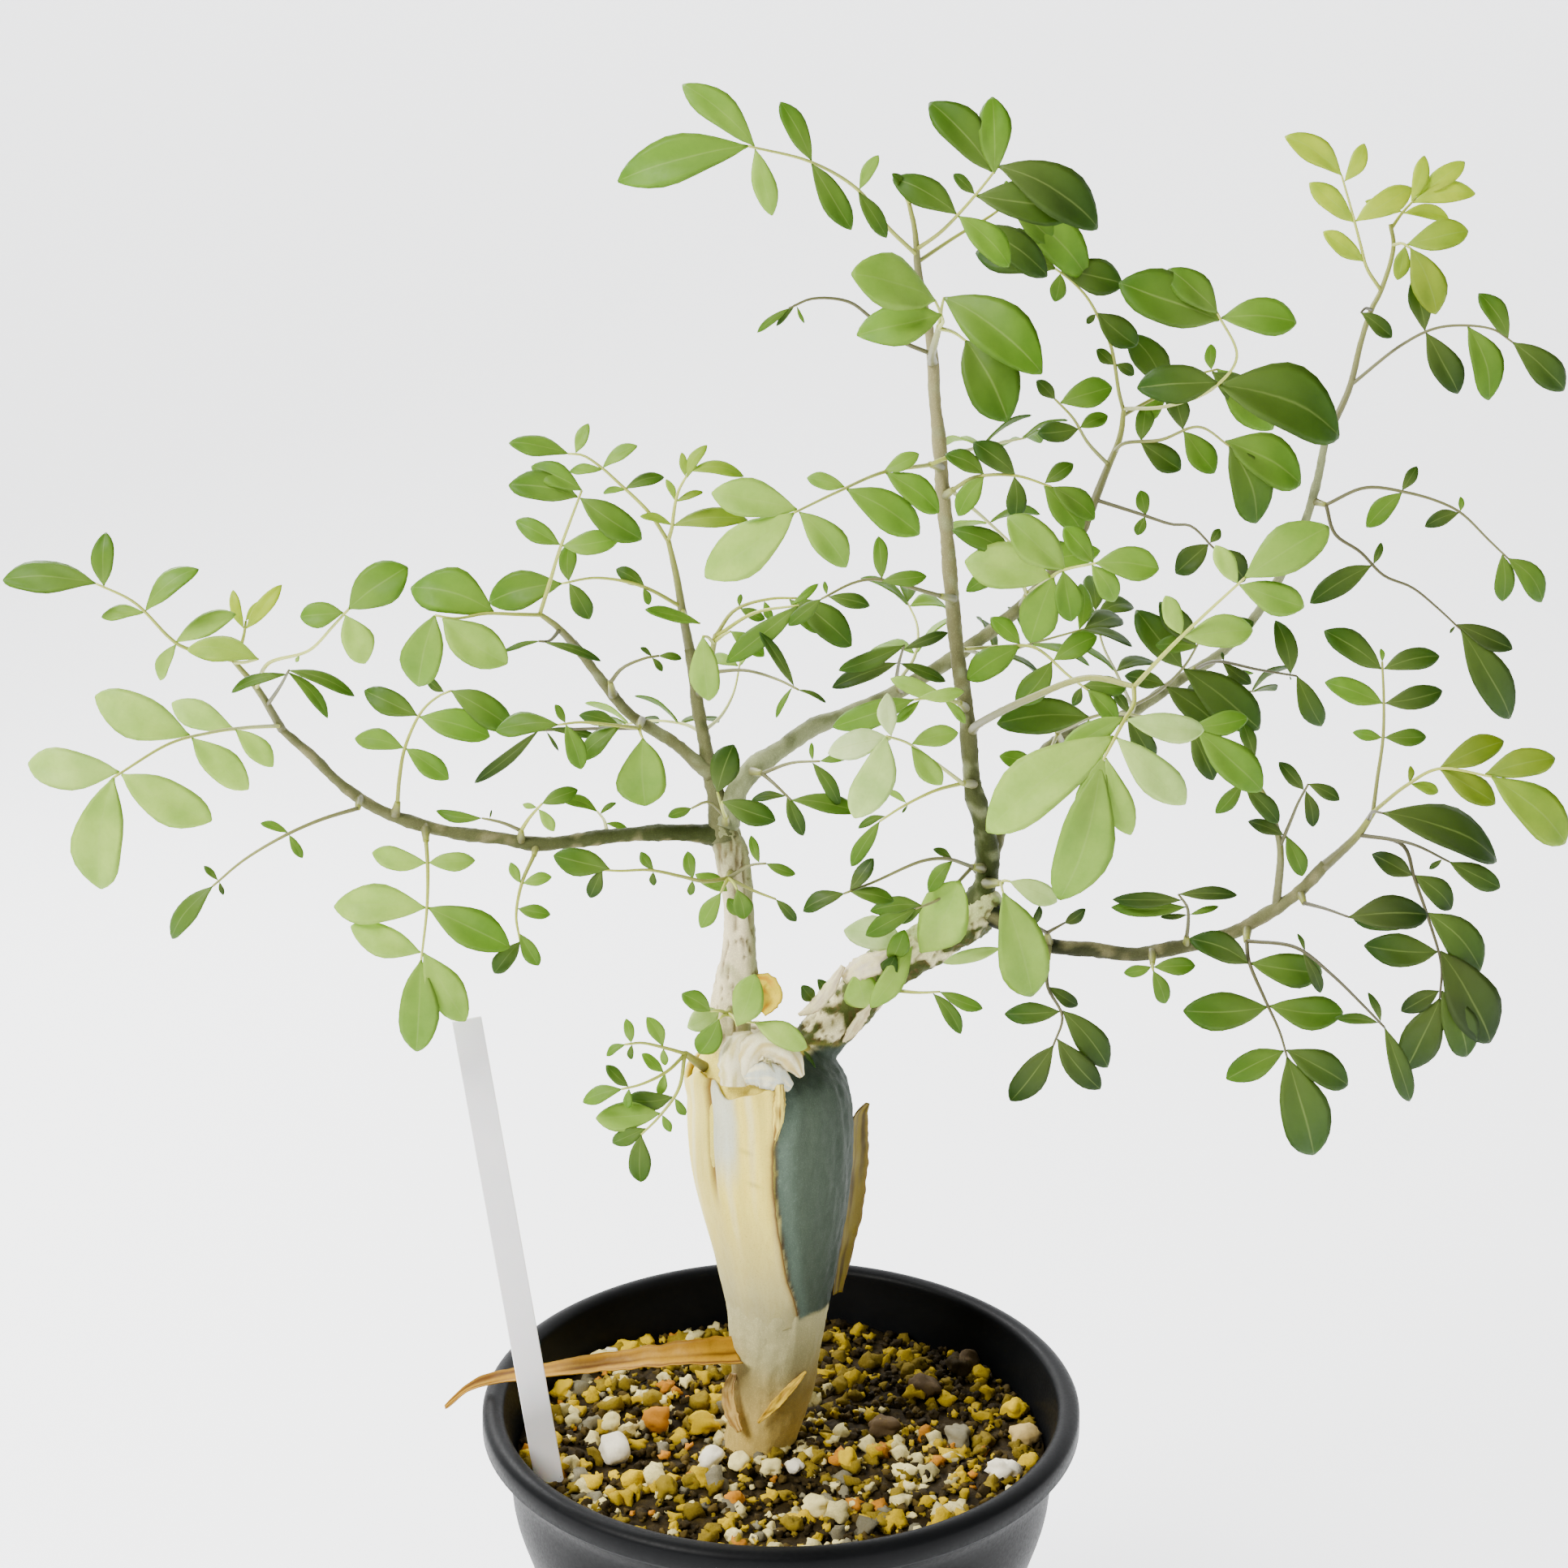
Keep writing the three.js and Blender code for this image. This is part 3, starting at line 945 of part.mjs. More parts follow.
// How far a point is from the bark of the nearest limb or of the swollen base
function clearance(point) {
  const nearest = new THREE.Vector3();
  const line = new THREE.Line3();
  const up = point.z - SOIL_TOP;
  const ring = caudexAt(Math.min(up, CAUDEX[CAUDEX.length - 1].up));
  const above = Math.max(0, up - CAUDEX[CAUDEX.length - 1].up);
  const beside = Math.max(0, Math.hypot(point.x - ring.x, point.y) - ring.radius);
  let least = Math.hypot(above, beside);
  Object.values(LIMBS).forEach(({ route }) => {
    for (let k = 0; k + 1 < route.length; k += 1) {
      line.set(seen(route[k]), seen(route[k + 1]));
      const share = line.closestPointToPointParameter(point, false);
      const within = THREE.MathUtils.clamp(share, 0, 1);
      line.at(share, nearest);
      const radius = THREE.MathUtils.lerp(route[k][3], route[k + 1][3], within) / 2;
      const past = Math.abs(share - within) * line.distance();
      least = Math.min(least, Math.hypot(past, Math.max(0, nearest.distanceTo(point) - radius)));
    }
  });
  return least;
}

// The place on a stem's middle line that is nearest to a point
function onStem(places, point) {
  const line = new THREE.Line3();
  let best = places[0];
  for (let k = 0; k + 1 < places.length; k += 1) {
    line.set(places[k], places[k + 1]);
    const spot = line.closestPointToPoint(point, true, new THREE.Vector3());
    if (spot.distanceTo(point) < best.distanceTo(point)) best = spot;
  }
  return best;
}

// A shoot's stem is written from the middle of its branch, and starts just clear of the bark.
// A shoot with a short stem and one frond is only that frond.
function shoot({ stem, fronds }) {
  const [start, next, ...rest] = stem;
  const tie = (share) => start.map((value, k) => THREE.MathUtils.lerp(value, next[k], share));
  let share = 0;
  while (share < 0.9 && clearance(seen(tie(share))) < START_GAP) share += 0.02;
  const stalk = [tie(share), next, ...rest];
  const middle = stalk.map(seen);
  if (fronds.length === 1 && rest.length === 0) return frond(middle[0], fronds[0]);
  return fronds.reduce((whole, spec) => {
    const foot = onStem(middle, seen(spec.route[0]));
    return whole.add(frond(foot, spec));
  }, limb(stalk, SHOOT_SIDES));
}

// A thin ribbon of bark or plastic, hollowed along its middle by gutter times its width
function ribbon(route, facing, thick, gutter, grow = 0) {
  const centres = route.map(seen);
  const face = new THREE.Vector3(...facing).normalize();
  const rings = centres.map((centre, i) => {
    const ahead = centres[Math.min(i + 1, centres.length - 1)];
    const behind = centres[Math.max(i - 1, 0)];
    const along = ahead.clone().sub(behind).normalize();
    const across = face.clone().cross(along).normalize();
    const normal = along.clone().cross(across);
    const half = route[i][3] / 2 + grow;
    const deep = thick / 2 + grow;
    const sag = gutter * route[i][3];
    const place = centre.clone();
    if (i === 0) place.addScaledVector(along, -grow);
    if (i === centres.length - 1) place.addScaledVector(along, grow);
    const section = [[0, deep - sag], [-half, deep], [-half, -deep], [0, -deep - sag], [half, -deep],
      [half, deep]];
    return section.map(([a, n]) => place.clone().addScaledVector(across, a)
      .addScaledVector(normal, n));
  });
  return toManifold(skin(rings));
}

// The loose sheet round the swollen base: an outer and an inner grid joined at their edges
function barkSheet() {
  const rows = SHEET.edge.length;
  const columns = SHEET.steps + 1;
  const points = [];
  [BARK, 0].forEach((layer) => {
    SHEET.edge.forEach(({ up, turn }, row) => {
      for (let column = 0; column < columns; column += 1) {
        const angle = THREE.MathUtils.degToRad(
          THREE.MathUtils.lerp(SHEET.back, turn, column / SHEET.steps),
        );
        const rag = row === 0 || row === rows - 1 ? 1.6 * Math.sin(5 * angle + row) : 0;
        const { radius, x } = caudexAt(up + rag);
        const reach = radius + SHEET.clear + layer;
        points.push([x + reach * Math.sin(angle), -reach * Math.cos(angle), SOIL_TOP + up + rag]);
      }
    });
  });
  const inner = rows * columns;
  const triangles = [];
  const quad = (a, b, c, d) => triangles.push([a, b, c], [a, c, d]);
  for (let row = 0; row + 1 < rows; row += 1) {
    for (let column = 0; column + 1 < columns; column += 1) {
      const a = row * columns + column;
      quad(a, a + 1, a + 1 + columns, a + columns);
      quad(a + inner + columns, a + inner + 1 + columns, a + inner + 1, a + inner);
    }
    const start = row * columns;
    const end = start + columns - 1;
    quad(start, start + columns, start + inner + columns, start + inner);
    quad(end + columns, end, end + inner, end + inner + columns);
  }
  for (let column = 0; column + 1 < columns; column += 1) {
    const top = (rows - 1) * columns + column;
    quad(column + 1, column, column + inner, column + inner + 1);
    quad(top, top + 1, top + inner + 1, top + inner);
  }
  return toManifold(closedMesh(points, triangles));
}

function lathe(profile, sides) {
  const points = profile.map(([radius, height]) => new THREE.Vector2(radius, height));
  return toManifold(new THREE.LatheGeometry(points, sides).rotateX(Math.PI / 2));
}

// The place on the soil that is seen at u, v
function onSoil({ u, v }) {
  const near = seen([u, v, -50]);
  const far = seen([u, v, 50]);
  return near.lerp(far, (SOIL_TOP - near.z) / (far.z - near.z));
}

function stone(place, size, number) {
  const rock = new THREE.IcosahedronGeometry(size / 2, 0);
  rock.rotateX(number).rotateZ(2.3 * number);
  rock.scale(1, 0.86 + 0.1 * sway(number, 4), 0.72);
  rock.translate(place.x, place.y, SOIL_TOP + 0.16 * size);
  return toManifold(rock);
}

function soil(hollows) {
  const inset = WALL + GAP;
  const wall = POT_BELL.filter(({ below }) => below > SOIL_BELOW_RIM).reverse()
    .map(({ below, radius }) => [radius - inset, POT_HEIGHT - below]);
  const [lip, bell] = POT_BELL;
  const share = (SOIL_BELOW_RIM - lip.below) / (bell.below - lip.below);
  const edge = THREE.MathUtils.lerp(lip.radius, bell.radius, share) - inset;
  const bed = new THREE.LatheGeometry([
    [0, FLOOR + GAP], [FOOT_RADIUS - inset, FLOOR + GAP], ...wall, [edge, SOIL_TOP],
    ...SOIL_RINGS.map((part) => [part * edge, SOIL_TOP]), [0, SOIL_TOP],
  ].map(([radius, height]) => new THREE.Vector2(radius, height)), POT_SIDES);
  bed.rotateX(Math.PI / 2);
  const place = bed.attributes.position;
  for (let k = 0; k < place.count; k += 1) {
    const [x, y, z] = [place.getX(k), place.getY(k), place.getZ(k)];
    const onTop = Math.hypot(x, y) < 0.97 * edge && z > SOIL_TOP - 1;
    const wave = SOIL_WAVE * Math.sin(0.11 * x + 1) * Math.cos(0.13 * y);
    const grain = GRIT * Math.sin(0.9 * x + 2 * Math.sin(0.7 * y)) * Math.cos(0.8 * y);
    if (onTop) place.setZ(k, z + wave + grain);
  }
  let whole = toManifold(bed);
  PEBBLES.forEach((pebble, k) => {
    const spot = onSoil(pebble).setZ(0).clampLength(0, edge - 0.6 * pebble.size);
    whole = whole.add(stone(spot, pebble.size, k));
  });
  return largestPiece(hollows.reduce((rest, hollow) => rest.subtract(hollow), whole));
}

function pot() {
  const outer = POT_BELL.slice().reverse().map(({ below, radius }) => [radius, POT_HEIGHT - below]);
  const inner = POT_BELL.map(({ below, radius }) => [radius - WALL, POT_HEIGHT - below]);
  const lip = RIM_RADIUS - RIM_WIDTH;
  const solid = lathe([
    [0, 0], [FOOT_RADIUS, 0], ...outer, [RIM_RADIUS - 2.4, POT_HEIGHT - RIM_DEPTH - 1.5],
    [RIM_RADIUS, POT_HEIGHT - RIM_DEPTH], [RIM_RADIUS, POT_HEIGHT - 1.4],
    [RIM_RADIUS - 1.2, POT_HEIGHT], [lip + 1.2, POT_HEIGHT], [lip, POT_HEIGHT - 1.4],
    ...inner, [FOOT_RADIUS - WALL, FLOOR], [0, FLOOR],
  ], POT_SIDES);
  const holes = Array.from({ length: DRAIN.count }, (_, k) => {
    const turn = (2 * Math.PI * k) / DRAIN.count;
    const hole = new THREE.CylinderGeometry(DRAIN.radius, DRAIN.radius, 3 * FLOOR, 8);
    hole.rotateX(Math.PI / 2);
    hole.translate(DRAIN.ring * Math.cos(turn), DRAIN.ring * Math.sin(turn), 0);
    return toManifold(hole);
  });
  return holes.reduce((whole, hole) => whole.subtract(hole), solid);
}

const parts = new THREE.Group();

function addPart(name, solid, color, roughness = 0.8) {
  const material = new THREE.MeshStandardMaterial({ color, roughness, metalness: 0 });
  const mesh = new THREE.Mesh(fromManifold(solid), material);
  mesh.name = name;
  parts.add(mesh);
}

const clearOfWood = wood(GAP);
const label = (grow = 0) => ribbon(LABEL.route, LABEL.facing, LABEL.thick, 0, grow);
addPart('pot', pot(), 0x1e2022, 0.45);
addPart('soil', soil([clearOfWood, label(GAP)]), 0x5a4526, 0.95);
addPart('wood', wood(), 0x9b937a);
addPart('papery_bark_sheet', barkSheet(), 0xe6d9a6);
addPart('plant_label', label(), 0xf2f2f0, 0.4);
Object.entries(RIBBONS).forEach(([name, { route, facing, gutter, color }]) => {
  addPart(name, largestPiece(ribbon(route, facing, BARK, gutter).subtract(clearOfWood)), color);
});
Object.entries(SHOOTS).forEach(([name, spec]) => {
  addPart(`leaves_${name}`, shoot(spec), LEAF_GREEN, 0.6);
});

export default parts;
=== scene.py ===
# The looks of a bursera bonsai in its pot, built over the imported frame.
# Lengths here are millimetres, +Z up, as in the frame; MM turns them into metres.

import bisect
import math
import random

import bmesh
import bpy
from mathutils import Matrix, Vector, noise


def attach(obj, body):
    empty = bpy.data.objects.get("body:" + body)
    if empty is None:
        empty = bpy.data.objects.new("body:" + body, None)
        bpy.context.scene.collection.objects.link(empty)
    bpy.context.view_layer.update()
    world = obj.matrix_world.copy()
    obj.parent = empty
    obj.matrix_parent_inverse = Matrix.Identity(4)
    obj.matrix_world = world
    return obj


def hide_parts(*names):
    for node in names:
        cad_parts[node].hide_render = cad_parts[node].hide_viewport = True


MM = 0.001
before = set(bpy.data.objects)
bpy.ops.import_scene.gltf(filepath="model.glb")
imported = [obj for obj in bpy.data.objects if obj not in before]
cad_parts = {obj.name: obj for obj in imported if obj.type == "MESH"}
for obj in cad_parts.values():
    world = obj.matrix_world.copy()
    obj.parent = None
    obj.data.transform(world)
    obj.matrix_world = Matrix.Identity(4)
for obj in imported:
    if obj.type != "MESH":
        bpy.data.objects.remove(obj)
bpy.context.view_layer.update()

# The camera's place and lens; a place on the plant is [u, v, y]: pixels across and down the
# picture, and the depth behind the pot's axis in mm
EYE = Vector((0.6, -397.5, 320.0))
PITCH = math.radians(12.75)
FOCAL = 2650
CENTRE = 966
SENSOR = 36

# Pot: the bell of its wall is depth below the rim's top and radius, and the middle of its floor,
# with the drain holes, reaches out to DRAIN_FIELD
POT_HEIGHT = 105
RIM_RADIUS = 60
RIM_WIDTH = 4.5
RIM_DEPTH = 5
RIM_ROUND = 1.8
WALL = 1.6
FOOT_RADIUS = 38
FLOOR = 2.4
POT_BELL = [(9, 55.6), (22, 54), (32, 51), (41, 49)]
DRAIN_RING = 24
DRAIN_RADIUS = 4.5
DRAIN_COUNT = 6
DRAIN_FIELD = 33
POT_SIDES = 144

# Soil, with its rings below the surface as radius and height
SOIL_TOP = 93
SOIL_EDGE = 53.2
SOIL_FOOT = 2.7
SOIL_WALL = [(52.2, 86), (51, 74), (47.2, 64), (36, SOIL_FOOT)]
SOIL_RINGS = 60
SOIL_SIDES = 150

# Swollen base: height above the soil, radius and sideways place of each ring
CAUDEX = [
    (-12, 7.6, -5.4), (0, 7.1, -4.6), (5.7, 7.8, -2.9), (12.5, 8.2, -1.4), (23, 9.3, -1),
    (32, 10.5, -0.6), (41, 12.2, -0.7), (51.8, 14.4, -1.1), (60.5, 15.7, -1.6), (70, 16.1, -1.8),
    (78, 15.3, -2.1), (83, 13.4, -3.4), (86.5, 8, -3.6),
]

# Trunks and branches: each place has its diameter as a fourth number
LIMBS = {
    "trunk_left": [
        [897, 1340, 0, 9.5], [895, 1280, -1, 8.6], [905, 1219, -1, 7.8], [911, 1171, -1, 7],
        [908, 1107, -1, 5.9], [901, 1053, -1, 6.7], [892, 1021, -1, 5.4], [890, 1008, -1, 3]],
    "trunk_right": [
        [985, 1320, 2, 9.8], [1007, 1283, 2, 9.6], [1045, 1244, 3, 9.2], [1080, 1203, 4, 9],
        [1150, 1158, 5, 8.8], [1205, 1124, 6, 7.8], [1224, 1098, 6, 5.2]],
    "left_bough": [
        [898, 1030, -1, 4.6], [863, 1027, -1, 3.4], [809, 1026, -2, 2.9], [748, 1031, -2, 2.8],
        [662, 1040, -3, 2.7], [617, 1033, -4, 2.6], [559, 1026, -5, 2.5], [510, 1014, -6, 2.4],
        [462, 995, -7, 2.2], [421, 967, -8, 2], [383, 930, -9, 1.8], [345, 897, -10, 1.6]],
    "middle_leader": [
        [894, 1035, -1, 5], [882, 980, 0, 3.6], [873, 941, 1, 2.8], [867, 908, 1, 2.6],
        [861, 878, 2, 2.4], [850, 800, 4, 2]],
    "upper_left_branch": [
        [876, 955, 0, 2.4], [830, 915, -1, 2.3], [775, 879, -2, 2.1], [737, 832, -3, 1.9],
        [706, 792, -4, 1.6]],
    "crossing_branch": [
        [893, 1018, -1, 4.6], [908, 975, 0, 4], [927, 948, 1, 3.9], [960, 925, 3, 3.6],
        [1000, 897, 6, 3.4], [1045, 880, 10, 3.2], [1110, 850, 15, 3], [1190, 800, 21, 2.8],
        [1260, 745, 25, 2.4], [1327, 664, 28, 2.1], [1345, 627, 29, 1.9]],
    "tall_leader": [
        [1190, 1130, 6, 5], [1215, 1085, 6, 4.4], [1211, 1015, 5, 4], [1199, 972, 4, 3.6],
        [1195, 929, 4, 3.2], [1190, 870, 3, 3], [1181, 817, 3, 2.9], [1176, 771, 3, 2.8],
        [1167, 664, 2, 2.7], [1161, 602, 2, 2.7], [1157, 541, 2, 2.5], [1152, 495, 2, 2.3],
        [1148, 430, 2, 2], [1137, 370, 2, 1.6]],
    "far_right_branch": [
        [1212, 1075, 6, 4], [1235, 1010, 14, 3.4], [1268, 950, 24, 3], [1310, 910, 35, 2.8],
        [1390, 880, 48, 2.6], [1450, 840, 54, 2.4], [1510, 800, 58, 2.2], [1560, 740, 60, 2],
        [1605, 650, 60, 1.9], [1622, 597, 60, 1.8], [1634, 535, 60, 1.6]],
    "right_bough": [
        [1200, 1118, 6, 4.6], [1228, 1130, 4, 3.8], [1285, 1163, 2, 3], [1348, 1170, 0, 2.9],
        [1394, 1176, -1, 2.8], [1452, 1167, -2, 2.8], [1510, 1153, -3, 2.7], [1556, 1129, -4, 2.5],
        [1598, 1101, -5, 2.3], [1633, 1065, -6, 2.1]],
}

# Colours, as linear red, green and blue
FINES = (0.012, 0.008, 0.002)
EARTH = (0.026, 0.017, 0.004)
LOAM = (0.085, 0.055, 0.010)
OCHRE = (0.26, 0.18, 0.010)
YELLOW = (0.64, 0.43, 0.006)
ORANGE = (0.56, 0.22, 0.012)
PUMICE = (0.84, 0.72, 0.30)
GREY_STONE = (0.20, 0.18, 0.11)
CHALK = (0.88, 0.81, 0.62)
TAN_STONE = (0.50, 0.36, 0.13)
BROWN_STONE = (0.085, 0.055, 0.026)
FOOT_GOLD = (0.50, 0.36, 0.10)
STIPPLE = (0.46, 0.42, 0.205)
PAPER_CREAM = (0.86, 0.70, 0.12)
PAPER_WHITE = (0.87, 0.79, 0.40)
PAPER_BLUE = (0.56, 0.60, 0.50)
CURL_WHITE = (0.85, 0.79, 0.50)
GROOVE_BROWN = (0.22, 0.115, 0.012)
TEAR_BROWN = (0.12, 0.052, 0.006)
TEAL_BARK = (0.13, 0.185, 0.140)
GREEN_BARK = (0.058, 0.078, 0.053)
PAINTED_SHADE_GREEN = (0.016, 0.026, 0.017)
TRUNK_CREAM = (0.82, 0.70, 0.42)
TRUNK_GREEN = (0.24, 0.25, 0.105)
FISSURE = (0.13, 0.085, 0.030)
MOSS = (0.050, 0.062, 0.010)
PAINTED_LIT_MOSS = (0.38, 0.46, 0.15)
PEEL_WHITE = (0.80, 0.72, 0.40)
BEIGE = (0.27, 0.24, 0.115)
PALE_TWIG = (0.25, 0.27, 0.135)
GREY_TWIG = (0.135, 0.135, 0.055)
OLIVE = (0.036, 0.046, 0.009)
DARK_TWIG = (0.013, 0.016, 0.005)

# Tones of leaf and stalk from dark (0) to pale (1), where the leaves' run is partly their own
# colour and partly painted shade and painted light, and what the surfaces mix in
LEAF_TONES = [
    (0.0, (0.008, 0.028, 0.002)), (0.3, (0.029, 0.080, 0.005)), (0.55, (0.145, 0.300, 0.018)),
    (0.8, (0.480, 0.680, 0.120)), (1.0, (0.760, 0.850, 0.460)),
]
STALK_TONES = [
    (0.0, (0.045, 0.035, 0.014)), (0.35, (0.15, 0.15, 0.050)), (0.7, (0.40, 0.44, 0.055)),
    (1.0, (0.56, 0.62, 0.12)),
]
YOUNG_LEAF = (0.500, 0.600, 0.015)
LEAF_FOOT = (0.60, 0.70, 0.20)
LEAF_RIB = (0.42, 0.54, 0.14)
LEAF_GLOW = (0.46, 0.66, 0.06)
POT_TONES = [(0.3, (0.003, 0.0032, 0.0036)), (0.7, (0.006, 0.0064, 0.007))]
LABEL_TONES = [(0.3, (0.86, 0.87, 0.88)), (0.7, (0.92, 0.92, 0.92))]
SOIL_DARK = (0.02, 0.012, 0.003)
SOIL_WARM = (0.16, 0.10, 0.015)

# Grains on the soil: how far each colour reaches in a draw from 0 to 1, the red below which one
# is dark, the sizes of dark and pale ones, and the spread of their width, depth and height
GRAINS = 2500
GRAIN_SEED = 7
GRAIN_BANDS = [
    (0.26, EARTH), (0.44, LOAM), (0.60, OCHRE), (0.74, YELLOW), (0.77, ORANGE), (0.94, PUMICE),
    (1.0, GREY_STONE),
]
DARK_RED = 0.12
DARK_SIZES = (0.9, 2.4)
PALE_LEAST = 1.2
PALE_EXTRA = 3.4
GRAIN_SPREAD = [(0.75, 1.2), (0.7, 1), (0.6, 0.9)]

# Larger stones: [u, v], width and depth ratio, colour, roughness
STONES = [
    (757, 1790, 8.6, 0.7, CHALK, 0.25), (752, 1757, 5.4, 0.8, PUMICE, 0.4),
    (808, 1750, 7.0, 0.8, ORANGE, 0.4), (867, 1756, 6.2, 0.8, YELLOW, 0.5),
    (876, 1799, 5.6, 0.9, CHALK, 0.4), (910, 1804, 4.8, 0.9, PUMICE, 0.4),
    (950, 1812, 4.6, 0.8, PUMICE, 0.5), (979, 1809, 3.8, 0.9, CHALK, 0.4),
    (1005, 1855, 5.8, 0.8, PUMICE, 0.5), (1046, 1803, 5.4, 0.7, YELLOW, 0.5),
    (1238, 1815, 6.2, 0.8, CHALK, 0.5), (1262, 1773, 6.0, 0.8, TAN_STONE, 0.4),
    (1252, 1739, 5.4, 0.8, YELLOW, 0.5), (1140, 1716, 7.4, 0.7, BROWN_STONE, 0.4),
    (700, 1660, 6.2, 0.9, PUMICE, 0.5), (731, 1643, 5.6, 0.9, YELLOW, 0.5),
    (757, 1664, 5.0, 0.9, OCHRE, 0.5), (684, 1640, 4.6, 0.9, CHALK, 0.5),
    (1090, 1760, 6.0, 0.8, BROWN_STONE, 0.5), (1180, 1770, 6.6, 0.8, GREY_STONE, 0.5),
    (820, 1840, 5.6, 0.8, OCHRE, 0.5), (1115, 1818, 5.0, 0.8, PUMICE, 0.5),
    (640, 1700, 4.8, 0.9, YELLOW, 0.5), (905, 1850, 4.4, 0.8, ORANGE, 0.5),
    (1180, 1690, 6.4, 0.8, EARTH, 0.5), (1235, 1668, 6.0, 0.8, BROWN_STONE, 0.5),
]

# Base and trunks: rings and sides of the base, the heights over which its bark gives way to the
# trunks', and the skin that joins them
BASE_RINGS = 110
BASE_SIDES = 72
BASE_END = (84.5, 86.5)
TRUNK_VOXEL = 0.6
TRUNK_SMOOTHS = 9

# Papery sheet: height above the soil and turn of its torn edge, in degrees from the front;
# how far from it the outer and the inner face are torn brown, in degrees; creases by height, turn
# and half their length; a groove by its turn and its lean
SHEET_EDGE = [(32, 22), (41, 9), (51.8, 3), (60.5, 1), (70, 1), (78, 8)]
SHEET_TORN = [(2.6, 0.3), (7, 0)]
SHEET_BACK = -168
SHEET_THICK = 0.5
SHEET_ROWS = 150
SHEET_COLUMNS = 130
CREASES = [(69, -17, 8), (62.5, -12, 9)]
GROOVE = (-47, 0.18)

# Thinner branches: colour at the foot, at the tip and on some of its patches
BOUGH_TINTS = {
    "left_bough": (OLIVE, GREY_TWIG, BEIGE),
    "middle_leader": (GREY_TWIG, GREY_TWIG, OLIVE),
    "upper_left_branch": (GREY_TWIG, GREY_TWIG, PALE_TWIG),
    "crossing_branch": (PALE_TWIG, GREY_TWIG, OLIVE),
    "tall_leader": (OLIVE, BEIGE, PALE_TWIG),
    "far_right_branch": (GREY_TWIG, PALE_TWIG, OLIVE),
    "right_bough": (DARK_TWIG, GREY_TWIG, BEIGE),
}

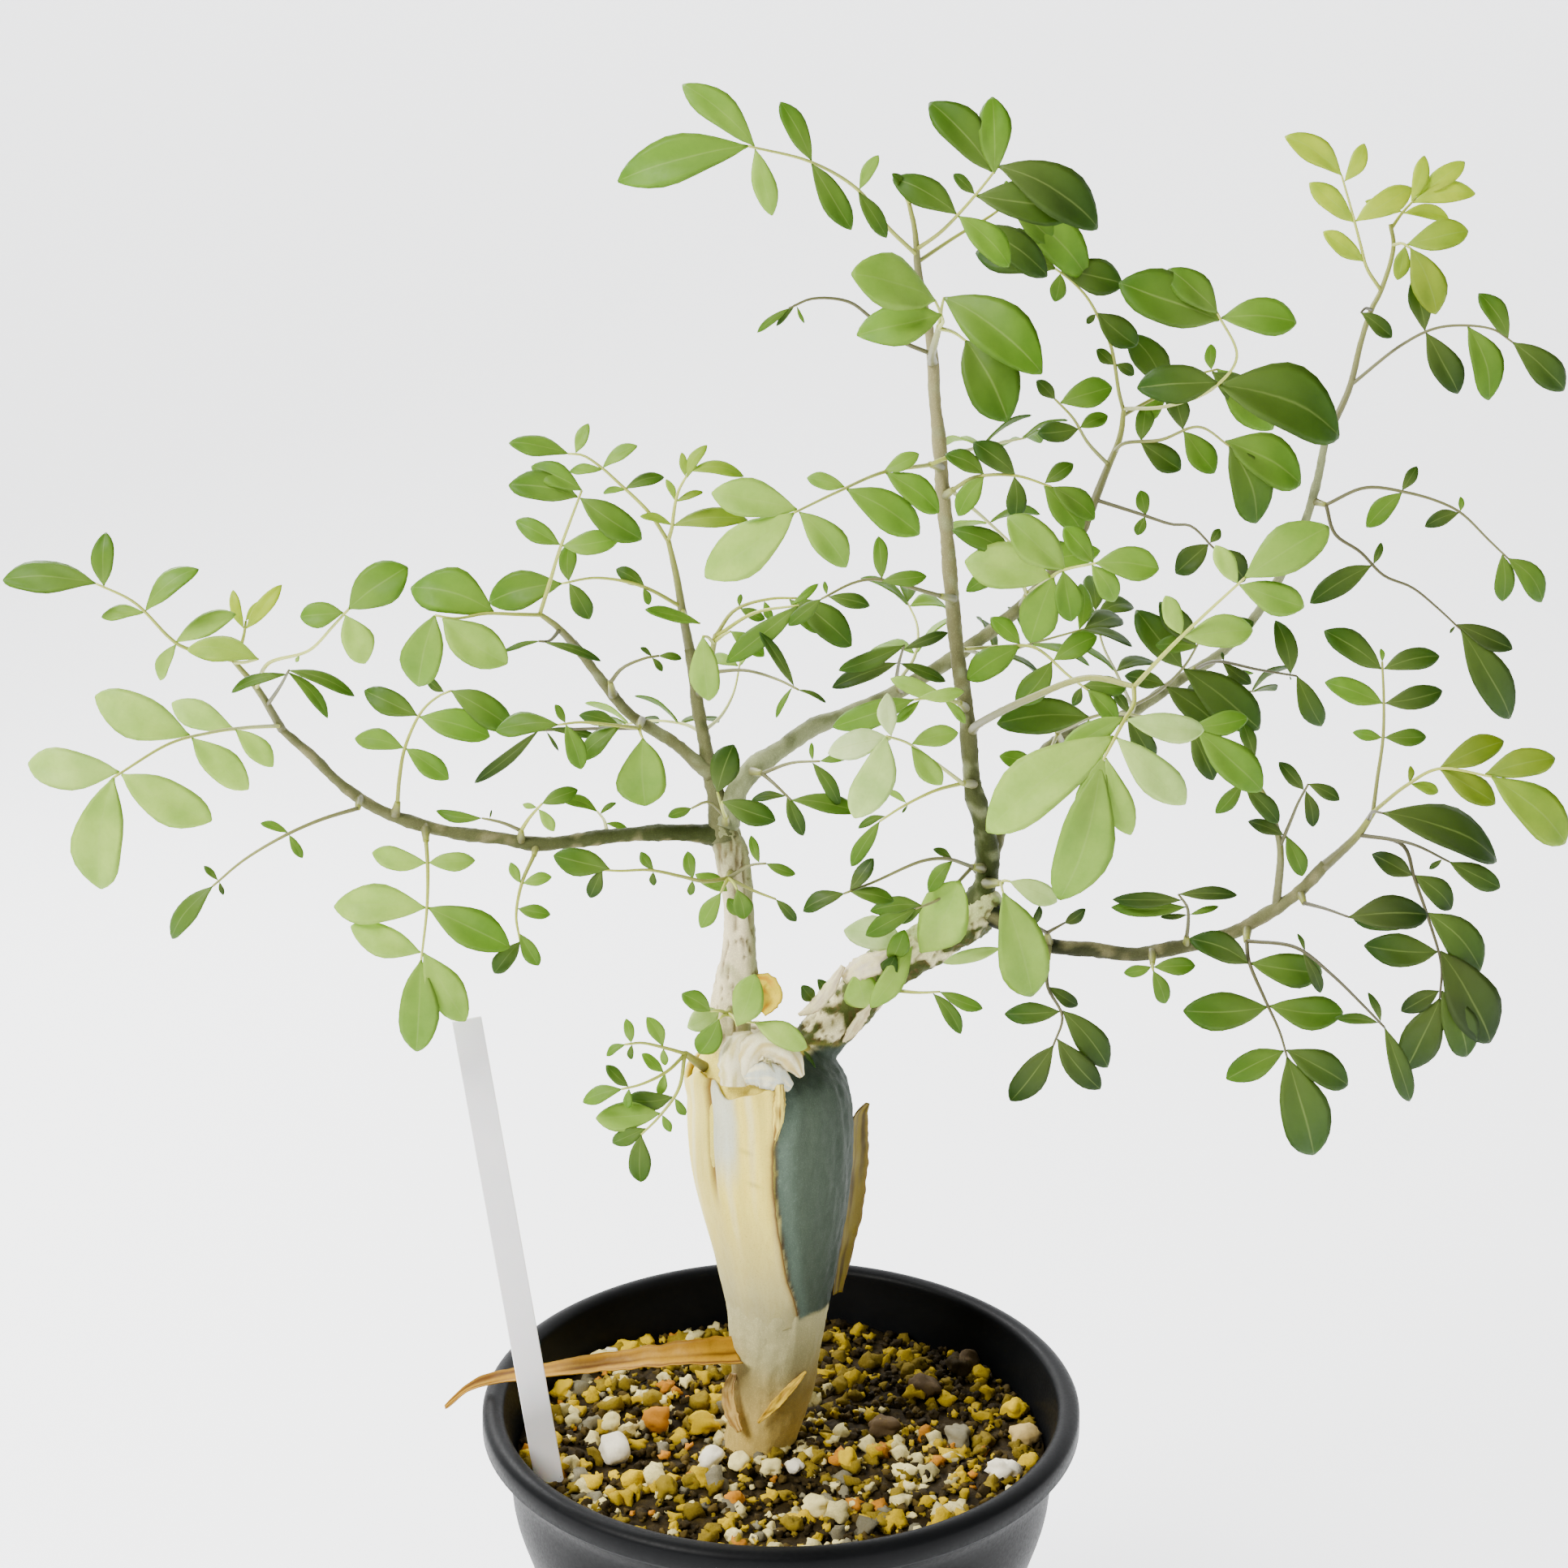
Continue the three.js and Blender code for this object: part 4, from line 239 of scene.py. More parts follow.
# Loose bark, by piece: the solid it replaces or lies on, its slot, where it faces, how hollow it
# is over its width, its tint and shade, and places that carry its width
RIBBON_COLUMNS = 12
LOOSE_BARK = {
    "bark_curl_left_piece": (
        "bark_curl_left", "ochre_bark", (0, -0.45, 1), 0.22, (0.42, 0.22, 0.004),
        (0.13, 0.052, 0.001),
        [[912, 1662, -6.2, 7], [868, 1665, -8, 6.4], [812, 1670, -7.6, 5.4],
         [745, 1678, -6, 4.6], [672, 1688, -4, 3.6], [612, 1697, -2, 3],
         [576, 1710, -1, 2], [548, 1734, 0, 0.8]]),
    "bark_flap_right_piece": (
        "bark_flap_right", "ochre_bark", (0.75, -0.66, 0.1), 0.12, (0.175, 0.130, 0.004),
        (0.065, 0.042, 0.001),
        [[1069, 1360, 1, 1.2], [1061, 1376, 1.5, 4.4], [1058, 1432, 2, 6],
         [1050, 1500, 2, 6], [1039, 1552, 2, 5], [1032, 1594, 2, 2.8]]),
    "bark_curl_top_piece": (
        "bark_curl_top", "papery_bark", (0.2, -1, 0.5), -0.22, CURL_WHITE, (0.58, 0.46, 0.16),
        [[916, 1334, -13.2, 3.4], [921, 1305, -13.4, 5.4], [938, 1288, -13, 5.6],
         [962, 1294, -13, 5.4], [978, 1310, -13.2, 4.4], [988, 1326, -13.4, 1.2]]),
    "bark_strip_foot_piece": (
        "bark_strip_foot", "ochre_bark", (-0.5, -0.8, 0.2), 0.1, (0.62, 0.42, 0.12),
        (0.34, 0.18, 0.04),
        [[904, 1692, -3.6, 1.6], [897, 1718, -6, 3], [902, 1744, -7.6, 3.2],
         [912, 1764, -8.6, 1.4]]),
    "foot_slash": (
        "wood", "ochre_bark", (0, -1, 0.2), 0.08, (0.80, 0.54, 0.05), (0.50, 0.28, 0.03),
        [[993, 1690, -7.4, 0.5], [978, 1706, -8.4, 1.6], [956, 1730, -9, 2.0],
         [934, 1753, -9.2, 0.6]]),
    "fork_cup": (
        "wood", "ochre_bark", (0.3, -1, 0.5), 0.3, (0.86, 0.66, 0.02), (0.70, 0.36, 0.004),
        [[926, 1208, -3, 1.6], [942, 1212, -4.6, 4.6], [948, 1228, -5, 5.4],
         [936, 1249, -4, 2.4]]),
    "top_fold": (
        "papery_bark_sheet", "papery_bark", (-0.2, -1, 0.2), -0.3, CURL_WHITE,
        (0.60, 0.52, 0.20),
        [[924, 1276, -8, 2.4], [911, 1288, -10.6, 5.6], [905, 1308, -12.4, 6.4],
         [904, 1338, -13.6, 5]]),
    "top_inner_curl": (
        "papery_bark_sheet", "papery_bark", (0.3, -1, 0.8), 0.3, CURL_WHITE,
        (0.36, 0.34, 0.16),
        [[926, 1308, -14.4, 1.4], [938, 1296, -15, 3.8], [952, 1300, -15.2, 4.4],
         [960, 1318, -15, 2.2]]),
    "top_veil": (
        "papery_bark_sheet", "papery_bark", (0, -1, 0.1), -0.12, PAPER_BLUE, CURL_WHITE,
        [[918, 1326, -14.2, 3], [938, 1324, -14.8, 5.4], [958, 1330, -14.8, 5],
         [974, 1340, -14.2, 2]]),
    "tear_lip": (
        "papery_bark_sheet", "papery_bark", (0.4, -1, 0.1), -0.25, PAPER_CREAM, GROOVE_BROWN,
        [[961, 1336, -15.4, 1.6], [960, 1360, -16, 2.6], [958, 1384, -16.2, 2.2],
         [953, 1408, -16, 0.8]]),
    "trunk_peel_upper": (
        "wood", "papery_bark", (-0.5, -1, 0.5), -0.2, PEEL_WHITE, (0.62, 0.52, 0.34),
        [[985, 1250, -3.6, 0.8], [1003, 1240, -5, 2.6], [1022, 1218, -5.2, 2.8],
         [1039, 1190, -4.4, 1]]),
    "trunk_peel_lower": (
        "wood", "papery_bark", (0.3, -1, -0.4), 0.2, PEEL_WHITE, (0.62, 0.50, 0.28),
        [[1040, 1284, -1.6, 0.8], [1051, 1270, -3.2, 2.6], [1063, 1252, -3.4, 2.6],
         [1073, 1238, -2.6, 0.8]]),
    "trunk_peel_patch": (
        "wood", "papery_bark", (-0.2, -1, 0.7), -0.15, PEEL_WHITE, (0.66, 0.58, 0.42),
        [[1040, 1206, -3.4, 2.4], [1058, 1194, -4, 4.6], [1078, 1186, -4, 5],
         [1094, 1174, -2.8, 2]]),
}

# Pale leaflets that grow straight out of the trunk: root, tip, width ratio and tone, whose run
# from dark to pale is partly their own colour and partly painted shade and painted light
TRUNK_LEAVES = [
    ([1134, 1174, -2.5], [1192, 1092, -8], 0.56, 0.78),
    ([1124, 1166, -3], [1068, 1238, -7], 0.34, 0.7),
    ([1066, 1242, -3], [1052, 1206, -6], 0.9, 0.72),
    ([1234, 1168, -2], [1166, 1193, -5], 0.24, 0.85),
    ([1112, 1164, 0], [1046, 1142, -4], 0.56, 0.95),
    ([1096, 1186, -3], [1110, 1146, -6], 0.5, 0.5),
    ([1084, 1216, -3], [1100, 1180, -6], 0.5, 0.3),
    ([1004, 1232, -3], [986, 1216, -5], 0.6, 0.25),
    ([1024, 1226, -3], [1010, 1208, -5], 0.5, 0.2),
    ([978, 1292, -4], [1004, 1318, -8], 0.5, 0.25),
    ([886, 1246, -5], [846, 1264, -10], 0.6, 0.9),
    ([896, 1098, -5], [862, 1076, -8], 0.42, 0.6),
    ([912, 1128, -5], [898, 1106, -8], 0.5, 0.45),
]

# Label: places carry its width
LABEL_ROUTE = [[700, 1955, -16, 1.6], [695, 1925, -16, 5.6], [575, 1256, -9, 5.6]]
LABEL_FACING = (0.2, -1, 0.1)
LABEL_THICK = 0.9
LABEL_BEVEL = 0.12

# Leaflets: how far they arch over their length, how far the top pair is below the tip, and the
# rows and columns of a blade
ARCH = 0.28
TOP_PAIR = 1.4
LEAF_ROWS = 11
LEAF_COLUMNS = 8

# Backdrop, in metres: its front end, where its bend starts, the bend's radius, its height and
# half its width; then how much it glows, and the sky's colour and strength
STAGE_FRONT = -1.6
STAGE_FLAT = 0.9
STAGE_BEND = 0.7
STAGE_TOP = 3.2
STAGE_HALF = 3
STAGE_GLOW = 1.9
SKY = (0.93, 0.96, 1.0, 1)
SKY_STRENGTH = 0.2

# Lamps: place and aim in metres, size, power and colour
LAMPS = {
    "key": ((-0.75, -0.55, 1.05), (0, 0, 0.2), 0.6, 34, (1, 0.985, 0.95)),
    "fill": ((0.9, -0.7, 0.5), (0, 0, 0.2), 0.9, 1, (1, 1, 1)),
    "back": ((-0.5, 0.75, 0.9), (0, 0, 0.25), 0.5, 14, (1, 1, 1)),
}

# Which way a frond's upper side looks
FRONT = (0, -1, 0.35)
FRONT_SKY = (0, -0.8, 0.8)
BACK_SKY = (0, 0.7, 0.7)


def frond(route, pairs, tip, face=FRONT, first=0.5, wide=0.45, tone=0.5, young=0):
    """A route from the stem to the end leaflet, each pair of leaflets from the bottom up, and the
    end one as tip: places where the tips are seen, or a length in mm. Tone runs from dark to
    pale, partly the leaves' own colour and partly painted shade and painted light; young runs from
    green to yellow-green."""
    return {"route": route, "pairs": pairs, "tip": tip, "face": face, "first": first,
            "wide": wide, "tone": tone, "young": young}


# Leafy shoots: a stem of places with diameters, then its fronds
SHOOTS = {
    "left_tip": ([[348, 900, -10, 1.7], [318, 850, -12, 1.5], [286, 812, -14, 1.2]], [
        frond([[288, 814, -14], [225, 797, -18], [208, 785, -20], [165, 742, -23], [118, 719, -25]],
              [[[197, 838], [288, 757]], [[124, 755], [240, 700]], [[122, 657]]], [2, 712],
              FRONT_SKY, 0.38, tone=0.62),
        frond([[290, 816, -14], [300, 785, -13], [303, 765, -12]], [[[284, 728], [342, 720]]],
              [318, 738], wide=0.3, tone=0.8, young=1),
        frond([[290, 816, -14], [302, 816, -19], [318, 812, -23]], [], [232, 790], FRONT_SKY,
              tone=0.75, young=0.4),
        frond([[316, 847, -12], [330, 818, -25], [383, 800, -42], [410, 772, -48], [430, 750, -50]],
              [[[365, 816]], [[369, 757], [452, 817]]], [500, 697], first=0.62, wide=0.62,
              tone=0.6),
        frond([[330, 868, -11], [345, 846, -18], [356, 826, -24]], [[[407, 882], [281, 851]]],
              [435, 860], FRONT_SKY, wide=0.24, tone=0.25),
        frond([[345, 896, -11], [300, 897, -28], [258, 903, -42], [205, 918, -54], [140, 958, -62]],
              [[[210, 868], [338, 943]], [[112, 868], [300, 978]], [[30, 938], [257, 1018]]],
              [122, 1098], first=0.4, tone=0.72)]),
    "left_bough_end_drooping": ([[443, 984, -8, 1.8], [441, 996, -12, 1.4]], [
        frond([[441, 995, -12], [395, 1010, -15], [350, 1030, -18], [300, 1060, -20],
               [262, 1092, -22]], [[[372, 1058], [322, 1012]], [[276, 1103], [250, 1068]]],
              [209, 1160], FRONT_SKY, 0.45, 0.36, 0.32)]),
    "left_bough_hanging": ([[524, 1018, -6, 2], [525, 1036, -9, 1.6]], [
        frond([[525, 1034, -9], [527, 1071, -12], [526, 1119, -14], [519, 1183, -16]],
              [[[457, 1056], [584, 1058]], [[411, 1110], [632, 1158]], [[429, 1150], [577, 1257]]],
              [503, 1293], first=0.2, wide=0.44, tone=0.6)]),
    "left_bough_small": ([[661, 1040, -3, 1.8], [658, 1054, -6, 1.3]], [
        frond([[658, 1052, -6], [643, 1088, -9], [636, 1129, -10], [641, 1160, -11]],
              [[[627, 1064], [680, 1083]], [[678, 1128]], [[661, 1191]]], [612, 1203],
              first=0.35, tone=0.42)]),
    "left_bough_upright": ([[487, 1004, -7, 2], [490, 988, -8, 1.5]], [
        frond([[490, 990, -8], [492, 960, -8], [499, 921, -7], [520, 876, -6], [540, 858, -5],
               [556, 851, -5]], [[[437, 905], [556, 955]], [[448, 850], [602, 912]], [[524, 836]]],
              [635, 891], first=0.42, tone=0.42)]),
    "upper_left_end": ([[709, 796, -4, 1.7], [685, 771, -5, 1.5], [663, 755, -6, 1.2]], [
        frond([[665, 757, -6], [677, 719, -10], [688, 682, -13], [706, 633, -15], [717, 604, -15]],
              [[[633, 646], [763, 667]], [[628, 592], [792, 663]]], [652, 578], first=0.6,
              tone=0.45),
        frond([[667, 758, -6], [636, 757, -11], [600, 756, -14], [560, 762, -17], [536, 758, -18]],
              [[[508, 714]], [[619, 825]]], [514, 848], wide=0.56, tone=0.52),
        frond([[690, 776, -5], [676, 790, -10], [664, 790, -12]], [[[742, 808]]], [620, 800],
              FRONT_SKY, 0.4, 0.2, 0.25)]),
    "leader_tip": ([[851, 806, 4, 2], [840, 749, 4, 1.8], [834, 713, 4, 1.6], [823, 664, 4, 1.3]], [
        frond([[824, 668, 4], [800, 632, 3], [760, 593, 2], [741, 576, 1], [718, 561, 0],
               [700, 559, 0]], [[[743, 606], [818, 588]], [[702, 581], [785, 549]], [[722, 521]]],
              [627, 545], FRONT_SKY, tone=0.55),
        frond([[823, 666, 4], [828, 650, 2], [830, 633, 1], [836, 605, -1], [850, 580, -2]],
              [[[790, 632], [918, 627]], [[822, 590], [866, 606]], [[838, 558], [868, 547]]],
              [916, 577], FRONT_SKY, 0.25, 0.36, 0.5, 0.35),
        frond([[839, 748, 4], [790, 722, 0], [735, 712, -2], [692, 719, -4]],
              [[[758, 703], [801, 745]], [[699, 670], [728, 763]]], [602, 748], first=0.36,
              wide=0.5, tone=0.45),
        frond([[840, 752, 3], [850, 765, -2], [862, 768, -5]], [], [795, 750], FRONT_SKY,
              wide=0.3, tone=0.6)]),
    "upper_left_small": ([[755, 856, -3, 1.8], [752, 840, -6, 1.3]], [
        frond([[752, 842, -6], [767, 823, -7], [795, 811, -6], [812, 808, -5]],
              [[[789, 798], [815, 828]]], [840, 812], FRONT_SKY, 0.4, tone=0.3)]),
    "upper_left_low": ([[790, 888, -2, 1.9], [787, 897, -7, 1.4]], [
        frond([[787, 896, -7], [750, 893, -13], [715, 890, -16], [688, 893, -18]],
              [[[714, 879], [713, 936]], [[683, 869], [714, 949]]], [611, 906], FRONT_SKY, 0.3,
              tone=0.42),
        frond([[788, 896, -6], [789, 903, -8], [792, 910, -9]], [], [803, 995], wide=0.72,
              tone=0.6),
        frond([[787, 898, -7], [720, 898, -5], [664, 900, -4]], [[[690, 925], [740, 912]]],
              [581, 963], first=0.7, wide=0.16, tone=0.2)]),
    "leader_side": ([[862, 856, 2, 1.9], [871, 832, -2, 1.6], [882, 782, -6, 1.3]], [
        frond([[882, 785, -6], [905, 752, -6], [948, 738, -6], [982, 737, -6]],
              [[[943, 762], [914, 732]], [[952, 764]], [[1013, 778]]], [1054, 791], first=0.4,
              tone=0.4),
        frond([[882, 786, -6], [930, 755, -10], [984, 746, -13]], [[[1010, 722]]], [901, 824],
              first=0.6, wide=0.26, tone=0.5),
        frond([[872, 828, -2], [918, 826, -8], [960, 838, -13], [984, 850, -16]],
              [[[943, 775], [957, 885]]], [1018, 866], FRONT_SKY, 0.6, 0.2, 0.3),
        frond([[880, 792, -5], [872, 785, -10], [866, 784, -13]], [], [869, 866], wide=0.46,
              tone=0.62),
        frond([[881, 790, -5], [892, 782, -9], [900, 778, -11]], [], [942, 808], tone=0.6)]),
    "tall_leader_tip": ([[1138, 375, 2, 1.7], [1131, 331, 1, 1.5], [1127, 283, 0, 1.2],
                         [1119, 246, 0, 1.1]], [
        frond([[1129, 314, 1], [1094, 280, -6], [1056, 233, -14], [1000, 200, -22],
               [922, 180, -31]],
              [[[1084, 192], [1091, 294]], [[959, 127], [1052, 281]], [[841, 103], [953, 265]]],
              [763, 232], first=0.44, wide=0.36, tone=0.52),
        frond([[1129, 308, 0], [1160, 285, -4], [1189, 255, -7], [1212, 228, -9], [1230, 205, -10]],
              [[[1105, 212], [1243, 329]], [[1175, 214], [1328, 258]], [[1147, 124], [1221, 118]]],
              [1361, 270], tone=0.4),
        frond([[1130, 322, 2], [1180, 290, 10], [1222, 265, 16], [1248, 245, 20]],
              [[[1205, 300], [1298, 330]], [[1240, 222], [1310, 300]]], [1342, 342], first=0.62,
              wide=0.42, tone=0.4),
        frond([[1119, 250, 0], [1113, 236, -3], [1110, 230, -4]], [], 4, tone=0.5)]),
    "tall_leader_front": ([[1149, 446, 1, 1.9], [1148, 438, -5, 1.6], [1152, 422, -14, 1.5],
                           [1158, 400, -24, 1.4]], [
        frond([[1148, 437, -6], [1110, 420, -8], [1075, 393, -10], [1046, 372, -12],
               [1001, 368, -14], [972, 380, -15]], [[[958, 403], [992, 398]]], [931, 407],
              first=0.6, wide=0.22, tone=0.25),
        frond([[1158, 402, -23], [1158, 384, -30], [1152, 370, -33]], [], [1048, 350, -42],
              wide=0.56, tone=0.52),
        frond([[1158, 404, -22], [1162, 396, -30], [1160, 388, -34]], [], [1060, 411, -38],
              wide=0.5, tone=0.55),
        frond([[1158, 402, -23], [1160, 380, -29], [1163, 367, -32]], [], [1290, 448, -40],
              tone=0.5),
        frond([[1158, 404, -22], [1176, 410, -28], [1190, 420, -31]], [], [1250, 512, -36],
              wide=0.66, tone=0.55)]),
    "tall_leader_near": ([[1160, 576, 2, 2], [1146, 572, -6, 1.5]], [
        frond([[1147, 572, -5], [1088, 582, -22], [1032, 606, -38], [978, 632, -50]],
              [[[1160, 628], [1133, 560]], [[994, 590], [1131, 664]], [[876, 611], [1043, 700]]],
              [876, 720], first=0.36, wide=0.46, tone=0.66),
        frond([[1147, 572, -6], [1172, 562, -5], [1202, 552, 10], [1236, 545, 26], [1262, 540, 36]],
              [10, 10], 10, BACK_SKY)]),
    "tall_leader_left": ([[1174, 738, 2, 2], [1158, 734, -4, 1.4]], [
        frond([[1159, 734, -4], [1080, 714, -10], [1052, 718, -12], [1012, 738, -15]],
              [[[1141, 706], [1078, 662]], [[1016, 716], [1072, 748]]], [972, 772], wide=0.38,
              tone=0.3)]),
    "crossing_tip": ([[1342, 634, 29, 1.9], [1364, 578, 31, 1.7], [1380, 538, 32, 1.5],
                      [1385, 502, 32, 1.3]], [
        frond([[1384, 506, 32], [1379, 485, 30], [1369, 427, 28], [1354, 392, 26], [1339, 366, 25],
               [1319, 345, 24], [1300, 331, 23]],
              [[[1398, 462], [1350, 432]], [[1338, 398], [1397, 430]], [[1300, 372], [1386, 342]]],
              [1205, 305], first=0.3, wide=0.6, tone=0.4),
        frond([[1366, 572, 30], [1340, 545, 26], [1322, 515, 22], [1300, 492, 20]],
              [[[1279, 537], [1364, 510]], [[1372, 480]]], [1278, 468], first=0.6, wide=0.56,
              tone=0.36),
        frond([[1384, 512, 33], [1410, 497, 37], [1440, 482, 40], [1475, 462, 44], [1500, 455, 46]],
              [[[1398, 408], [1402, 520]], [[1491, 424], [1551, 518]]], [1572, 528], first=0.48,
              wide=0.5, tone=0.4),
        frond([[1374, 556, 31], [1386, 546, 27], [1430, 542, 22], [1478, 526, 16], [1515, 550, 12]],
              [[[1454, 580], [1408, 500]], [[1500, 580], [1450, 480]], [[1610, 586]]],
              [1557, 642], first=0.3, wide=0.56, tone=0.34),
        frond([[1385, 504, 31], [1440, 500, 4], [1498, 476, -18], [1524, 436, -30],
               [1500, 386, -36]], [[[1402, 478], [1662, 518]], [[1380, 346], [1600, 396]]],
              [1443, 329], first=0.7, wide=0.52, tone=0.4),
        frond([[1349, 616, 30], [1401, 632, 26], [1444, 646, 23], [1467, 648, 21], [1496, 676, 18]],
              [[[1402, 660], [1405, 604]], [[1446, 703], [1504, 652]]], [1536, 716], first=0.4,
              wide=0.6, tone=0.22)]),
    "crown_right": ([[1178, 800, 3, 2], [1188, 800, 10, 1.5]], [
        frond([[1187, 801, 9], [1225, 806, 30], [1282, 790, 48], [1336, 775, 58]], [11, 13, 12], 13,
              FRONT_SKY, 0.4, tone=0.35),
        frond([[1187, 801, 9], [1230, 797, 4], [1275, 798, -2], [1316, 832, -8], [1340, 850, -12]],
              [[[1190, 834], [1225, 758]], [[1256, 872], [1354, 788]], [[1322, 870], [1388, 845]]],
              [1378, 888], first=0.42, wide=0.5, tone=0.42)]),
    "crown_upper": ([[1163, 612, 2, 2], [1175, 603, -3, 1.5]], [
        frond([[1174, 604, -3], [1201, 588, -6], [1251, 586, -8], [1296, 600, -9]],
              [[[1167, 556], [1177, 633]], [[1202, 542], [1250, 640]], [[1335, 656], [1322, 570]]],
              [1350, 638], first=0.36, wide=0.5, tone=0.4),
        frond([[1174, 604, -2], [1214, 640, 24], [1248, 672, 42], [1262, 690, 54]], [11, 12], 12,
              BACK_SKY)]),
    "crown_middle": ([[1260, 747, 24, 1.9], [1265, 732, 16, 1.5]], [
        frond([[1264, 733, 17], [1290, 715, 0], [1312, 702, -20], [1350, 694, -34]],
              [[[1190, 690], [1268, 792]], [[1240, 640], [1322, 766]], [[1372, 744], [1310, 650]]],
              [1428, 704], first=0.45, wide=0.56, tone=0.6),
        frond([[1264, 734, 16], [1258, 712, 4], [1252, 690, -4]], [[[1357, 678], [1190, 728]]],
              [1178, 646], wide=0.34, tone=0.45)]),
    "crown_far": ([[1392, 878, 48, 1.9], [1397, 868, 42, 1.5]], [
        frond([[1396, 869, 43], [1430, 850, 38], [1460, 820, 32], [1478, 790, 28]],
              [[[1387, 832], [1500, 905]], [[1407, 750], [1546, 905]], [[1436, 738], [1425, 790]]],
              [1546, 768], first=0.4, wide=0.46, tone=0.3),
        frond([[1396, 869, 44], [1376, 830, 60], [1358, 792, 72], [1350, 752, 80]], [11, 12], 12,
              BACK_SKY, 0.45, tone=0.35)]),
    "crown_low": ([[1306, 913, 33, 1.9], [1303, 902, 26, 1.5]], [
        frond([[1303, 903, 26], [1360, 880, 6], [1420, 885, -12], [1475, 900, -20]],
              [[[1229, 880], [1330, 925]], [[1376, 850], [1420, 940]], [[1540, 890], [1500, 960]]],
              [1556, 978], first=0.3, wide=0.42, tone=0.34),
        frond([[1303, 904, 27], [1290, 930, 16], [1272, 950, 12]], [[[1232, 930], [1300, 985]]],
              [1232, 1004], first=0.6, wide=0.5, tone=0.38)]),
    "crossing_middle": ([[1110, 850, 14, 1.9], [1104, 838, 8, 1.4]], [
        frond([[1104, 839, 8], [1108, 815, 2], [1114, 795, -3]],
              [[[1027, 852], [1168, 834]], [[1070, 812], [1168, 779]]], [1034, 829], wide=0.26,
              tone=0.25),
        frond([[1105, 840, 10], [1128, 806, 26], [1130, 770, 38], [1118, 742, 46]], [10.5, 11], 11,
              BACK_SKY, 0.45)]),
    "tall_leader_low_left": ([[1189, 872, 2, 2], [1182, 866, -5, 1.4]], [
        frond([[1183, 867, -5], [1155, 860, -11], [1126, 862, -15]],
              [[[1100, 832], [1189, 892]], [[1188, 852], [1100, 888]]], [1024, 889], first=0.4,
              wide=0.32, tone=0.55)]),
    "tall_leader_low_front": ([[1199, 966, 3, 2], [1186, 965, -4, 1.5]], [
        frond([[1187, 965, -4], [1150, 975, -10], [1110, 995, -14], [1084, 1012, -16]],
              [[[1092, 974], [1112, 1002]], [[1056, 1018]]], [1048, 1068], first=0.7, wide=0.3,
              tone=0.5),
        frond([[1187, 964, -4], [1150, 938, -22], [1115, 914, -36], [1092, 907, -40]],
              [[[1180, 900], [1159, 968]], [[1090, 856], [1019, 920]]], [1060, 1010], first=0.8,
              wide=0.46, tone=0.8)]),
    "low_left_of_tall": ([[1210, 1070, 4, 2], [1198, 1068, -3, 1.5]], [
        frond([[1199, 1068, -3], [1165, 1058, -9], [1136, 1061, -12], [1076, 1087, -17],
               [1040, 1101, -20]], [[[1140, 1096], [1150, 1046]], [[1078, 1060], [1102, 1112]]],
              [988, 1121], FRONT_SKY, 0.22, tone=0.3),
        frond([[1199, 1070, -3], [1160, 1106, -7], [1128, 1120, -9]],
              [[[1072, 1116], [1104, 1140]]], [1066, 1152], first=0.8, wide=0.36, tone=0.3)]),
    "right_trunk_small": ([[1096, 1202, 0, 2.2], [1108, 1221, -5, 1.4]], [
        frond([[1107, 1220, -5], [1132, 1223, -9], [1158, 1222, -11]], [[[1186, 1272]]],
              [1212, 1240], first=0.6, wide=0.32, tone=0.4)]),
    "crossing_start": ([[926, 950, 0, 2], [939, 953, -6, 1.4]], [
        frond([[938, 953, -6], [952, 964, -8], [975, 986, -10]], [[[926, 984], [990, 1032]]],
              [1057, 1004], FRONT_SKY, wide=0.34, tone=0.28),
        frond([[938, 952, -6], [975, 940, -9], [1010, 938, -11]], [[[1040, 990], [1000, 915]]],
              [1052, 931], first=0.6, wide=0.3, tone=0.3)]),
    "fork": ([[894, 1016, -2, 2], [894, 1006, -7, 1.4]], [
        frond([[894, 1007, -7], [888, 990, -9], [884, 976, -10]], [], [906, 920], wide=0.6,
              tone=0.38),
        frond([[894, 1007, -7], [890, 996, -12], [890, 988, -15]], [], [956, 1010], tone=0.45),
        frond([[894, 1007, -7], [872, 988, -9], [852, 996, -10]], [], 4.5, tone=0.3)]),
    "left_trunk": ([[902, 1075, -3, 2.2], [897, 1082, -7, 1.6]], [
        frond([[897, 1081, -7], [868, 1086, -10], [840, 1080, -12], [800, 1072, -15],
               [765, 1073, -17], [742, 1072, -18]],
              [[[845, 1050], [850, 1104]], [[788, 1051], [806, 1092]], [[684, 1048]]],
              [725, 1106], first=0.3, wide=0.5, tone=0.38),
        frond([[898, 1082, -7], [892, 1092, -10], [888, 1100, -12]], [], [862, 1142], tone=0.5),
        frond([[898, 1081, -7], [904, 1088, -10], [908, 1096, -12]], [], [920, 1133], wide=0.6,
              tone=0.5),
        frond([[898, 1079, -7], [925, 1066, -9], [944, 1064, -10]], [[[926, 1030]]], [980, 1078],
              first=0.6, wide=0.36, tone=0.3),
        frond([[898, 1081, -7], [930, 1098, -8], [956, 1108, -9]], [], [980, 1138], wide=0.36,
              tone=0.35)]),
    "left_bough_top": ([[642, 1036, -4, 1.9], [642, 1022, -5, 1.3]], [
        frond([[642, 1024, -5], [652, 1008, -6], [668, 990, -7]], [[[644, 990], [683, 1024]]],
              [712, 975], tone=0.55),
        frond([[642, 1024, -5], [620, 1014, -5], [594, 1008, -5]], [[[606, 998]]], [536, 1004],
              wide=0.26, tone=0.3)]),
    "left_bough_back": ([[748, 1031, -2, 1.9], [748, 1024, 5, 1.4]], [
        frond([[748, 1025, 4], [744, 1010, 10], [736, 1000, 14]], [[[776, 1022]], [[758, 988]]],
              [690, 980], FRONT_SKY, 0.4, 0.36, 0.55)]),
    "far_right_tip": ([[1630, 547, 60, 1.7], [1662, 480, 60, 1.5], [1677, 421, 60, 1.4],
